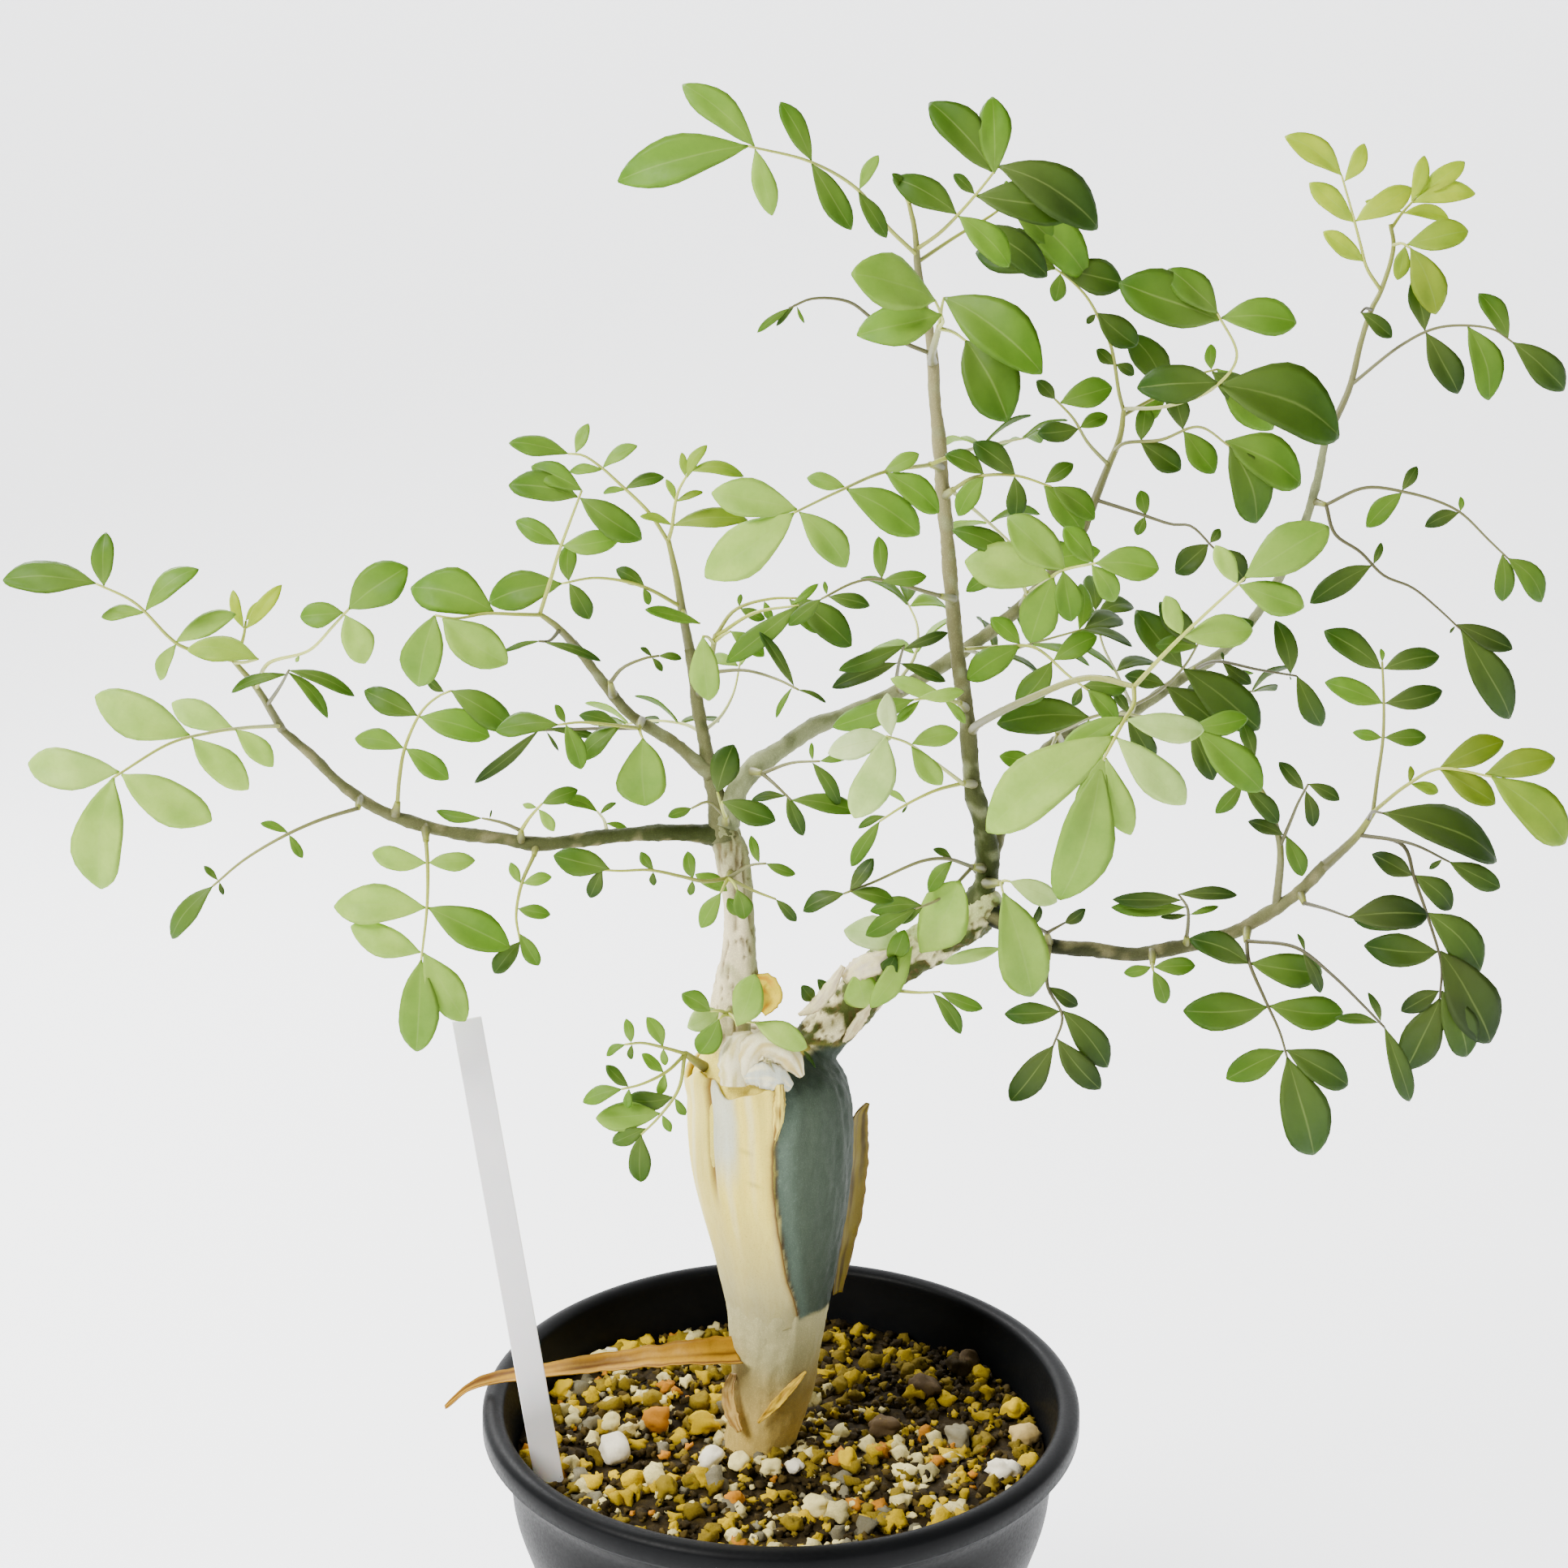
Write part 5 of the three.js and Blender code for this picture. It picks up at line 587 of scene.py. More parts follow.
                       [1690, 381, 60, 1.4], [1702, 357, 60, 1.3], [1717, 304, 60, 1.2],
                       [1713, 276, 60, 1.1]], [
        frond([[1664, 476, 60], [1724, 427, 57], [1764, 406, 56], [1797, 401, 55], [1840, 406, 53],
               [1864, 422, 51]], [[[1736, 349], [1791, 489]], [[1839, 492]], [[1824, 362]]],
              [1932, 482], tone=0.28),
        frond([[1702, 358, 60], [1684, 330, 58], [1677, 304, 57], [1665, 258, 56], [1653, 216, 55]],
              [[[1632, 284]], [[1736, 222], [1612, 228]], [[1686, 178]]], [1583, 170], first=0.3,
              wide=0.42, tone=0.6, young=0.9),
        frond([[1714, 282, 60], [1728, 262, 62], [1745, 244, 64]],
              [[[1682, 250], [1786, 264]], [[1760, 192], [1819, 232]]], [1806, 200], wide=0.36,
              tone=0.65, young=1),
        frond([[1716, 302, 60], [1728, 300, 56], [1738, 306, 54]], [[[1722, 345], [1812, 290]]],
              [1768, 389], wide=0.5, tone=0.45, young=0.5),
        frond([[1690, 382, 60], [1682, 380, 56], [1677, 385, 54]], [], [1717, 414], tone=0.1)]),
    "far_right_side": ([[1620, 618, 60, 1.8], [1634, 622, 56, 1.4]], [
        frond([[1633, 621, 56], [1682, 601, 55], [1734, 607, 54], [1775, 619, 53], [1800, 632, 52],
               [1836, 667, 51], [1858, 688, 50]],
              [[[1682, 647], [1745, 574]], [[1756, 647], [1800, 612]], [[1856, 742]]],
              [1909, 738], first=0.38, tone=0.28),
        frond([[1633, 623, 56], [1645, 658, 54], [1676, 680, 52], [1705, 709, 50], [1740, 724, 49],
               [1770, 748, 48], [1800, 776, 47]],
              [[[1613, 738], [1700, 668]], [[1786, 780], [1864, 798]]], [1873, 883], first=0.42,
              wide=0.36, tone=0.22)]),
    "far_right_low": ([[1466, 830, 55, 1.8], [1472, 824, 49, 1.4]], [
        frond([[1471, 825, 50], [1500, 815, 42], [1550, 825, 36], [1598, 833, 32]],
              [[[1506, 803], [1540, 846]], [[1577, 765], [1590, 838]]], [1628, 899], first=0.4,
              wide=0.4, tone=0.2),
        frond([[1472, 825, 50], [1480, 843, 57], [1510, 852, 68], [1545, 852, 78]], [9, 10], 10,
              BACK_SKY, 0.45, tone=0.3)]),
    "right_bough_tip": ([[1630, 1069, -6, 2.1], [1672, 1030, -7, 1.8], [1694, 998, -8, 1.4]], [
        frond([[1692, 1002, -8], [1697, 960, -7], [1704, 910, -6], [1705, 862, -5],
               [1703, 815, -4]],
              [[[1668, 904], [1759, 905]], [[1634, 844], [1778, 852]], [[1631, 780], [1773, 803]]],
              2.5, wide=0.42, tone=0.34),
        frond([[1693, 1000, -8], [1734, 967, -17], [1775, 947, -25], [1838, 957, -33]],
              [[[1774, 978], [1740, 944]], [[1843, 990], [1856, 919]], [[1917, 929]]],
              [1931, 1048], first=0.4, wide=0.42, tone=0.4, young=0.35),
        frond([[1686, 1010, -8], [1692, 1000, -14], [1704, 1002, -18]], [], [1856, 1052], FRONT_SKY,
              wide=0.4, tone=0.1),
        frond([[1674, 1029, -7], [1728, 1041, -10], [1743, 1083, -12], [1760, 1132, -14],
               [1776, 1190, -16], [1774, 1230, -17]],
              [[[1692, 1055], [1791, 1121]], [[1669, 1130], [1831, 1194]],
               [[1684, 1172], [1847, 1279]], [[1728, 1248], [1812, 1304]]],
              [1736, 1323], first=0.38, wide=0.48, tone=0.12),
        frond([[1676, 1028, -6], [1740, 1040, -14], [1786, 1062, -18]], [[[1762, 1072]]],
              [1848, 1098], first=0.7, wide=0.4, tone=0.2)]),
    "right_bough_under": ([[1602, 1099, -5, 2], [1607, 1113, -9, 1.4]], [
        frond([[1606, 1111, -9], [1634, 1120, -18], [1662, 1130, -25]], [], [1760, 1118],
              tone=0.12)]),
    "right_bough_twig": ([[1572, 1121, -4, 1.8], [1577, 1041, -6, 1.5], [1560, 985, -6, 1.3],
                          [1547, 962, -6, 1.1]], [
        frond([[1576, 1044, -6], [1590, 1012, -9], [1600, 988, -11], [1612, 966, -12]],
              [[[1604, 1083], [1541, 1010]], [[1578, 938], [1614, 1020]]], [1651, 986], first=0.2,
              wide=0.4, tone=0.25),
        frond([[1563, 992, -6], [1545, 976, -10], [1530, 964, -12]], [[[1574, 1016]]],
              [1502, 1005], first=0.3, wide=0.4, tone=0.22),
        frond([[1548, 964, -6], [1545, 945, -4], [1546, 934, -2]], [], [1530, 890], wide=0.4,
              tone=0.25)]),
    "right_bough_top": ([[1462, 1168, -2, 2], [1462, 1154, -4, 1.4]], [
        frond([[1462, 1156, -4], [1464, 1138, -5], [1463, 1118, -6], [1452, 1102, -7]],
              [[[1430, 1130], [1502, 1118]], [[1370, 1126]], [[1372, 1100]]], [1525, 1101],
              wide=0.24, tone=0.25)]),
    "right_bough_bud": ([[1420, 1172, -2, 2], [1420, 1188, -5, 1.4]], [
        frond([[1420, 1187, -5], [1420, 1191, -7], [1421, 1196, -8]],
              [[[1385, 1199], [1473, 1190]]], [1438, 1238], tone=0.4)]),
    "right_bough_hanging": ([[1537, 1139, -3, 2.1], [1536, 1160, -8, 1.6]], [
        frond([[1536, 1158, -8], [1539, 1185, -11], [1558, 1230, -14], [1577, 1272, -16],
               [1586, 1303, -17]],
              [[[1470, 1152], [1632, 1208]], [[1458, 1240], [1655, 1250]],
               [[1513, 1333], [1667, 1331]]], [1620, 1428], first=0.2, wide=0.46, tone=0.22),
        frond([[1537, 1157, -8], [1598, 1168, -18], [1640, 1200, -25], [1679, 1238, -31],
               [1706, 1266, -35]], [[[1626, 1228], [1600, 1150]], [[1646, 1252], [1690, 1222]]],
              [1749, 1357], first=0.4, wide=0.26, tone=0.18)]),
    "near_hanging": ([[1198, 900, 3, 2], [1206, 892, -5, 1.6], [1270, 860, -28, 1.5],
                      [1345, 835, -43, 1.4], [1398, 846, -50, 1.2]], [
        frond([[1396, 846, -50], [1397, 868, -52], [1386, 886, -54], [1368, 920, -57],
               [1356, 942, -58]],
              [[[1301, 924], [1486, 904]], [[1216, 1026], [1458, 1000]],
               [[1384, 1032], [1330, 1040]]], [1300, 1113], first=0.42, wide=0.38, tone=0.72),
        frond([[1397, 847, -50], [1440, 800, -56], [1490, 752, -60], [1534, 712, -62]],
              [[[1434, 735], [1546, 782]], [[1500, 672], [1604, 756]]], [1632, 640], wide=0.5,
              tone=0.72)]),
    "tall_leader_foot": ([[1216, 1088, 4, 2.4], [1234, 1088, -4, 1.5]], [
        frond([[1233, 1088, -4], [1234, 1092, -9], [1236, 1100, -12]], [], [1286, 1228], wide=0.46,
              tone=0.58),
        frond([[1233, 1088, -4], [1238, 1085, -8], [1244, 1086, -10]], [], [1304, 1113],
              tone=0.7)]),
    "right_bough_lower": ([[1290, 1164, 1, 2], [1291, 1182, -3, 1.5]], [
        frond([[1291, 1180, -3], [1291, 1216, -8], [1309, 1253, -12], [1298, 1288, -14]],
              [[[1330, 1240]], [[1238, 1245], [1370, 1313]], [[1350, 1347]]], [1243, 1359],
              first=0.35, wide=0.4, tone=0.22)]),
    "base_shoulder": ([[870, 1316, -5, 2.2], [844, 1298, -11, 1.6]], [
        frond([[845, 1298, -11], [815, 1290, -15], [790, 1285, -18], [770, 1287, -20]],
              [[[798, 1252], [818, 1314]], [[774, 1256], [776, 1306]]], [746, 1299], FRONT_SKY, 0.4,
              tone=0.5),
        frond([[845, 1299, -11], [822, 1320, -15], [790, 1336, -19], [766, 1342, -21]],
              [[[790, 1300], [812, 1350]], [[746, 1314], [772, 1366]]], [717, 1358], FRONT_SKY, 0.4,
              tone=0.48),
        frond([[845, 1300, -12], [836, 1342, -16], [812, 1376, -19], [790, 1398, -21]],
              [[[772, 1360], [846, 1374]], [[734, 1372], [828, 1394]], [[754, 1412]]],
              [783, 1458], tone=0.45)]),
    "base_top": ([[902, 1244, -4, 2.2], [897, 1249, -9, 1.6]], [
        frond([[897, 1249, -9], [885, 1245, -12], [875, 1246, -13]], [], [842, 1222], wide=0.6,
              tone=0.6),
        frond([[897, 1250, -9], [890, 1252, -12], [886, 1256, -13]], [], [862, 1301], wide=0.6,
              tone=0.66),
        frond([[898, 1249, -9], [906, 1256, -13], [908, 1264, -15]], [], [936, 1205], wide=0.6,
              tone=0.75),
        frond([[898, 1250, -9], [914, 1258, -13], [930, 1260, -14]], [], [997, 1284], tone=0.6)]),
    "right_bough_sprout": ([[1292, 1162, 1, 2], [1290, 1149, -2, 1.3]], [
        frond([[1290, 1150, -2], [1278, 1142, -5], [1268, 1136, -6]], [4], 5.5, tone=0.2),
        frond([[1290, 1150, -2], [1303, 1142, -5], [1312, 1137, -6]], [], 5, tone=0.2)]),
    "leader_back": ([[867, 908, 2, 1.9], [866, 902, 8, 1.4]], [
        frond([[866, 903, 7], [842, 892, 22], [806, 888, 36], [772, 892, 48]], [10.5, 11], 11,
              BACK_SKY, 0.4),
        frond([[866, 903, 8], [890, 880, 24], [905, 850, 36], [912, 815, 44]], [9], 9, BACK_SKY,
              0.6)]),
}


def seen(u, v, y):
    down = (v - CENTRE) / FOCAL
    ray = Vector((
        (u - CENTRE) / FOCAL,
        math.cos(PITCH) - down * math.sin(PITCH),
        -math.sin(PITCH) - down * math.cos(PITCH),
    ))
    return EYE + ray * ((y - EYE.y) / ray.y)


def lerp(a, b, share):
    return a + (b - a) * share


def blend(one, other, share):
    return tuple(lerp(a, b, share) for a, b in zip(one, other))


def smooth_step(low, high, value):
    share = min(1, max(0, (value - low) / (high - low)))
    return share * share * (3 - 2 * share)


def sway(n, salt):
    """A steady draw between -1 and 1 for number n."""
    wave = math.sin(n * 12.9898 + salt * 78.233) * 43758.5453
    return 2 * (wave - math.floor(wave)) - 1


# Materials


class Surface:
    """A material with short names for the nodes that it is made of."""

    def __init__(self, name):
        self.material = bpy.data.materials.new(name)
        self.material.use_nodes = True
        self.nodes = self.material.node_tree.nodes
        self.links = self.material.node_tree.links
        self.shader = self.nodes["Principled BSDF"]
        self.output = self.nodes["Material Output"]

    def set(self, **values):
        for name, value in values.items():
            self.shader.inputs[name.replace("_", " ")].default_value = value

    def plug(self, source, name):
        self.links.new(source, self.shader.inputs[name])

    def node(self, kind, **values):
        made = self.nodes.new(kind)
        for name, value in values.items():
            setattr(made, name, value)
        return made

    def place(self, stretch=(1, 1, 1)):
        """The place on the object in millimetres, squeezed along its axes."""
        here = self.node("ShaderNodeTexCoord").outputs["Object"]
        scale = self.node("ShaderNodeVectorMath", operation="MULTIPLY")
        self.links.new(here, scale.inputs[0])
        scale.inputs[1].default_value = [s / MM for s in stretch]
        return scale.outputs[0]

    def noise(self, place, scale, detail=4, rough=0.6, warp=0):
        made = self.node("ShaderNodeTexNoise")
        made.inputs["Scale"].default_value = scale
        made.inputs["Detail"].default_value = detail
        made.inputs["Roughness"].default_value = rough
        made.inputs["Distortion"].default_value = warp
        self.links.new(place, made.inputs["Vector"])
        return made.outputs["Fac"]

    def cells(self, place, scale):
        made = self.node("ShaderNodeTexVoronoi")
        made.inputs["Scale"].default_value = scale
        self.links.new(place, made.inputs["Vector"])
        return made.outputs["Distance"]

    def ramp(self, factor, stops):
        made = self.node("ShaderNodeValToRGB")
        band = made.color_ramp.elements
        while len(band) < len(stops):
            band.new(0.5)
        for element, (at, colour) in zip(band, stops):
            element.position = at
            element.color = (*colour, 1)
        self.links.new(factor, made.inputs["Fac"])
        return made.outputs["Color"]

    def range(self, factor, low, high, new_low, new_high):
        made = self.node("ShaderNodeMapRange")
        self.links.new(factor, made.inputs["Value"])
        for name, value in (("From Min", low), ("From Max", high), ("To Min", new_low),
                            ("To Max", new_high)):
            made.inputs[name].default_value = value
        return made.outputs["Result"]

    def mix(self, factor, one, other, kind="MIX"):
        made = self.node("ShaderNodeMix", data_type="RGBA", blend_type=kind)
        for socket, value in zip((made.inputs[0], made.inputs[6], made.inputs[7]),
                                 (factor, one, other)):
            if isinstance(value, (int, float)):
                socket.default_value = value
            elif isinstance(value, tuple):
                socket.default_value = (*value, 1)
            else:
                self.links.new(value, socket)
        return made.outputs[2]

    def maths(self, operation, one, other):
        made = self.node("ShaderNodeMath", operation=operation)
        for socket, value in zip(made.inputs, (one, other)):
            if isinstance(value, (int, float)):
                socket.default_value = value
            else:
                self.links.new(value, socket)
        return made.outputs[0]

    def layer(self, name, output="Color"):
        made = self.node("ShaderNodeAttribute", attribute_name=name)
        return made.outputs[output]

    def stain(self, under, pattern, low, high, share, colour, kind="MIX"):
        """A colour laid over another one where a pattern is strong."""
        return self.mix(self.range(pattern, low, high, 0, share), under, colour, kind)

    def bump(self, height, strength, depth):
        made = self.node("ShaderNodeBump")
        made.inputs["Strength"].default_value = strength
        made.inputs["Distance"].default_value = depth * MM
        self.links.new(height, made.inputs["Height"])
        self.plug(made.outputs["Normal"], "Normal")


def pot_surface():
    surface = Surface("pot_plastic")
    place = surface.place()
    cloud = surface.noise(place, 0.05, detail=5)
    grain = surface.noise(place, 1.6, detail=3)
    surface.plug(surface.ramp(cloud, POT_TONES), "Base Color")
    surface.plug(surface.range(grain, 0.3, 0.7, 0.36, 0.5), "Roughness")
    surface.set(Specular_IOR_Level=0.06)
    surface.bump(grain, strength=0.12, depth=0.05)
    return surface.material


def soil_surface(name, mottle):
    surface = Surface(name)
    place = surface.place()
    fine = surface.noise(place, 2.4, detail=6, rough=0.7)
    broad = surface.noise(place, 0.5, detail=4)
    dark = surface.stain(surface.layer("tint"), fine, 0.35, 0.7, mottle, SOIL_DARK)
    surface.plug(surface.stain(dark, broad, 0.5, 0.75, 0.2, SOIL_WARM), "Base Color")
    surface.plug(surface.range(fine, 0.3, 0.7, 0.62, 0.95), "Roughness")
    surface.set(Specular_IOR_Level=0.1)
    surface.bump(fine, strength=0.55, depth=0.35)
    return surface.material


def bark_surface():
    surface = Surface("bark")
    drawn, even = surface.place((1, 1, 0.35)), surface.place()
    streak = surface.noise(drawn, 0.9, detail=6, rough=0.65, warp=0.4)
    dots = surface.cells(even, 1.9)
    speck = surface.noise(even, 4.2, detail=3, rough=0.7)
    tint = surface.layer("tint")
    shade = surface.stain(tint, streak, 0.35, 0.75, 0.3, (0.5, 0.5, 0.5), "MULTIPLY")
    dusty = surface.stain(shade, speck, 0.54, 0.62, 0.6, (1.5, 1.55, 1.5), "MULTIPLY")
    pits = surface.range(dots, 0.05, 0.2, 0.12, 0)
    surface.plug(surface.mix(pits, dusty, (0.5, 0.5, 0.42), "MULTIPLY"), "Base Color")
    surface.plug(surface.range(streak, 0.3, 0.7, 0.5, 0.75), "Roughness")
    surface.set(Specular_IOR_Level=0.12)
    rough = surface.maths("ADD", streak, surface.maths("MULTIPLY", speck, 0.5))
    surface.bump(rough, strength=0.5, depth=0.3)
    return surface.material


def paper_surface(name, glow):
    """Thin peeling bark: tint carries its colour, edge how near its torn edge is."""
    surface = Surface(name)
    fibre = surface.noise(surface.place((1, 1, 0.14)), 1.1, detail=6, rough=0.6, warp=0.3)
    speck = surface.noise(surface.place(), 3.6, detail=3, rough=0.7)
    tint = surface.layer("tint")
    shade = surface.stain(tint, fibre, 0.4, 0.75, 0.4, (0.78, 0.68, 0.5), "MULTIPLY")
    stipple = surface.stain(shade, speck, 0.53, 0.68, 0.5, (0.62, 0.58, 0.5), "MULTIPLY")
    torn = surface.mix(surface.layer("edge", "Fac"), stipple, TEAR_BROWN)
    surface.plug(torn, "Base Color")
    surface.plug(surface.range(fibre, 0.3, 0.7, 0.42, 0.62), "Roughness")
    surface.set(Specular_IOR_Level=0.2, Subsurface_Weight=glow, Subsurface_Scale=0.6 * MM)
    surface.shader.inputs["Subsurface Radius"].default_value = (1, 0.7, 0.3)
    surface.bump(fibre, strength=0.35, depth=0.2)
    return surface.material


def label_surface():
    surface = Surface("label_plastic")
    cloud = surface.noise(surface.place(), 0.12, detail=4)
    surface.plug(surface.ramp(cloud, LABEL_TONES), "Base Color")
    surface.set(Roughness=0.38, Subsurface_Weight=0.2, Subsurface_Scale=0.8 * MM)
    surface.bump(surface.noise(surface.place(), 1.2, detail=3), strength=0.06, depth=0.04)
    return surface.material


def leaf_surface():
    """Leaf blade: tone runs from dark to pale, partly its own colour and partly painted shade and
    painted light; the mesh's uv runs along and across it.
    """
    surface = Surface("leaf")
    base = surface.ramp(surface.layer("tone", "Fac"), LEAF_TONES)
    aged = surface.mix(surface.layer("young", "Fac"), base, YOUNG_LEAF)
    split = surface.node("ShaderNodeSeparateXYZ")
    surface.links.new(surface.node("ShaderNodeUVMap", uv_map="blade").outputs[0], split.inputs[0])
    along, across = split.outputs[0], split.outputs[1]
    rib = surface.range(surface.maths("ABSOLUTE", across, 0), 0.0, 0.06, 0.3, 0)
    cloud = surface.noise(surface.place(), 0.16, detail=4, rough=0.6)
    fine = surface.noise(surface.place(), 1.4, detail=4, rough=0.7)
    shaded = surface.stain(aged, cloud, 0.35, 0.7, 0.6, (0.45, 0.62, 0.35), "MULTIPLY")
    mottled = surface.stain(shaded, fine, 0.45, 0.75, 0.25, (0.7, 0.75, 0.5), "MULTIPLY")
    footed = surface.mix(surface.range(along, 0.1, 0.9, 0.12, 0), mottled, LEAF_FOOT)
    lit = surface.mix(rib, footed, LEAF_RIB)
    surface.plug(lit, "Base Color")
    surface.plug(surface.range(fine, 0.3, 0.7, 0.42, 0.6), "Roughness")
    surface.set(Specular_IOR_Level=0.2)
    surface.bump(surface.maths("SUBTRACT", cloud, rib), strength=0.15, depth=0.15)
    through = surface.node("ShaderNodeBsdfTranslucent")
    surface.links.new(surface.mix(0.35, lit, LEAF_GLOW), through.inputs["Color"])
    both = surface.node("ShaderNodeMixShader")
    both.inputs[0].default_value = 0.35
    surface.links.new(surface.shader.outputs[0], both.inputs[1])
    surface.links.new(through.outputs[0], both.inputs[2])
    surface.links.new(both.outputs[0], surface.output.inputs["Surface"])
    return surface.material


def stalk_surface():
    surface = Surface("stalk")
    # A stalk's tone runs from dark to pale; on frond stalks it follows the frond's tone, so it is
    # partly painted shade and painted light
    tone = surface.layer("tone", "Fac")
    speck = surface.noise(surface.place(), 1.8, detail=4)
    base = surface.ramp(tone, STALK_TONES)
    shaded = surface.stain(base, speck, 0.4, 0.7, 0.4, (0.6, 0.55, 0.4), "MULTIPLY")
    surface.plug(shaded, "Base Color")
    surface.set(Roughness=0.5)
    surface.bump(speck, strength=0.3, depth=0.1)
    return surface.material


# Meshes


class Form:
    """Points, faces and per-point values of a piece, gathered before its mesh is made."""

    def __init__(self):
        self.points = []
        self.faces = []
        self.values = {}
        self.uvs = []

    def add(self, points, faces, uvs=(), **values):
        start = len(self.points)
        self.points.extend(points)
        self.faces.extend(tuple(start + k for k in face) for face in faces)
        self.uvs.extend(uvs)
        for name, value in values.items():
            filled = value if isinstance(value, list) else [value] * len(points)
            self.values.setdefault(name, []).extend(filled)

    def mesh(self, name, material=None, smooth=True):
        mesh = bpy.data.meshes.new(name)
        mesh.from_pydata([tuple(c * MM for c in point) for point in self.points], [], self.faces)
        if material:
            mesh.materials.append(material)
        mesh.polygons.foreach_set("use_smooth", [smooth] * len(mesh.polygons))
        if self.uvs:
            blade = mesh.uv_layers.new(name="blade")
            corners = [c for face in self.faces for k in face for c in self.uvs[k]]
            blade.data.foreach_set("uv", corners)
        for key, values in self.values.items():
            put_layer(mesh, key, values)
        mesh.update()
        return mesh


def put_layer(mesh, key, values):
    if isinstance(values[0], tuple):
        layer = mesh.attributes.new(key, "FLOAT_COLOR", "POINT")
        layer.data.foreach_set("color", [c for value in values for c in (*value, 1)])
    else:
        layer = mesh.attributes.new(key, "FLOAT", "POINT")
        layer.data.foreach_set("value", values)


def show(name, mesh, slot, *nodes):
    piece = bpy.data.objects.new(name, mesh)
    bpy.context.scene.collection.objects.link(piece)
    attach(piece, "root")
    if nodes:
        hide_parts(*nodes)


def turns(sides):
    return [2 * math.pi * k / sides for k in range(sides)]


def ring(radius, height, sides, x=0):
    """The points of a level circle whose middle stands at x."""
    return [Vector((x + radius * math.cos(turn), radius * math.sin(turn), height))
            for turn in turns(sides)]


def grid_faces(rows, columns, closed=False, flip=False):
    faces = []
    for row in range(rows - 1):
        for column in range(columns if closed else columns - 1):
            ahead = (column + 1) % columns
            face = (row * columns + column, row * columns + ahead,
                    (row + 1) * columns + ahead, (row + 1) * columns + column)
            faces.append(face[::-1] if flip else face)
    return faces


def tube_faces(rings, sides, flip=False):
    """Faces round a stack of rings, closed at both ends."""
    start = tuple(range(sides))
    end = tuple(range((rings - 1) * sides, rings * sides))
    faces = grid_faces(rings, sides, closed=True, flip=flip)
    return faces + ([start, end[::-1]] if flip else [start[::-1], end])


def slab_faces(rows, columns):
    """Faces of a sheet of two layers of points, the outer one first, closed at its edges."""
    inner = rows * columns
    faces = grid_faces(rows, columns)
    faces += [tuple(inner + k for k in reversed(face)) for face in grid_faces(rows, columns)]
    for row in range(rows - 1):
        start, end = row * columns, (row + 1) * columns - 1
        faces.append((start, start + columns, inner + start + columns, inner + start))
        faces.append((end + columns, end, inner + end, inner + end + columns))
    for column in range(columns - 1):
        top = (rows - 1) * columns + column
        faces.append((column + 1, column, inner + column, inner + column + 1))
        faces.append((top, top + 1, inner + top + 1, inner + top))
    return faces


class Route:
    """A centripetal Catmull-Rom curve through places, walked by its length."""

    STEPS = 120

    def __init__(self, places):
        first = places[0] * 2 - places[1]
        last = places[-1] * 2 - places[-2]
        self.places = [first, *places, last]
        self.spans = len(places) - 1
        spots = [self.at(k / self.STEPS) for k in range(self.STEPS + 1)]
        self.lengths = [0]
        for one, other in zip(spots, spots[1:]):
            self.lengths.append(self.lengths[-1] + (other - one).length)
        self.length = self.lengths[-1]

    def at(self, share):
        span = min(self.spans - 1, int(share * self.spans))
        t = share * self.spans - span
        p0, p1, p2, p3 = self.places[span:span + 4]
        d0, d1, d2 = (max(1e-4, (b - a).length ** 0.5) for a, b in ((p0, p1), (p1, p2), (p2, p3)))
        m1 = ((p1 - p0) / d0 - (p2 - p0) / (d0 + d1) + (p2 - p1) / d1) * d1
        m2 = ((p2 - p1) / d1 - (p3 - p1) / (d1 + d2) + (p3 - p2) / d2) * d1
        return (p1 + m1 * t + (-3 * p1 + 3 * p2 - 2 * m1 - m2) * t ** 2
                + (2 * p1 - 2 * p2 + m1 + m2) * t ** 3)

    def knot(self, share):
        """The share along the curve's own parameter that lies at this share of its length."""
        goal = share * self.length
        k = min(self.STEPS, bisect.bisect_left(self.lengths, goal, 1)) - 1
        span = self.lengths[k + 1] - self.lengths[k]
        return (k + (goal - self.lengths[k]) / span) / self.STEPS

    def point(self, share):
        return self.at(self.knot(share))

    def tangent(self, share):
        low, high = max(0, share - 0.002), min(1, share + 0.002)
        return (self.point(high) - self.point(low)).normalized()


def sized_route(places):
    """A route through places of the picture, and their width as a function along it."""
    route = Route([seen(*place[:3]) for place in places])

    def width(share):
        spot = route.knot(share) * (len(places) - 1)
        k = min(len(places) - 2, int(spot))
        return lerp(places[k][3], places[k + 1][3], spot - k)

    return route, width


def tube(form, route, radius_at, sides, step, rough=0, **values):
    """A round tube along a route; its radius and values are functions of the share along it."""
    count = max(3, round(route.length / step))
    points = []
    filled = {name: [] for name in values}
    across = Vector((0, 1, 0))
    for k in range(count + 1):
        share = k / count
        centre = route.point(share)
        along = route.tangent(share)
        across = (across - along * across.dot(along)).normalized()
        side = along.cross(across)
        radius = radius_at(share)
        for turn in turns(sides):
            out = across * math.cos(turn) + side * math.sin(turn)
            bump = rough * noise.noise(centre * 0.9 + out * radius * 1.4)
            points.append(centre + out * radius * (1 + bump))
        for name, value in values.items():
            filled[name].extend([value(share)] * sides)
    form.add(points, tube_faces(count + 1, sides, flip=True), **filled)


def remeshed(mesh, voxel, smooths):
    """A closed skin over all that a mesh holds."""
    holder = bpy.data.objects.new("holder", mesh)
    bpy.context.scene.collection.objects.link(holder)
    skin = holder.modifiers.new("skin", "REMESH")
    skin.mode = "VOXEL"
    skin.voxel_size = voxel * MM
    soft = holder.modifiers.new("soft", "SMOOTH")
    soft.factor = 0.5
    soft.iterations = smooths
    ready = holder.evaluated_get(bpy.context.evaluated_depsgraph_get())
    made = bpy.data.meshes.new_from_object(ready)
    bpy.data.objects.remove(holder)
    return made


# Pot


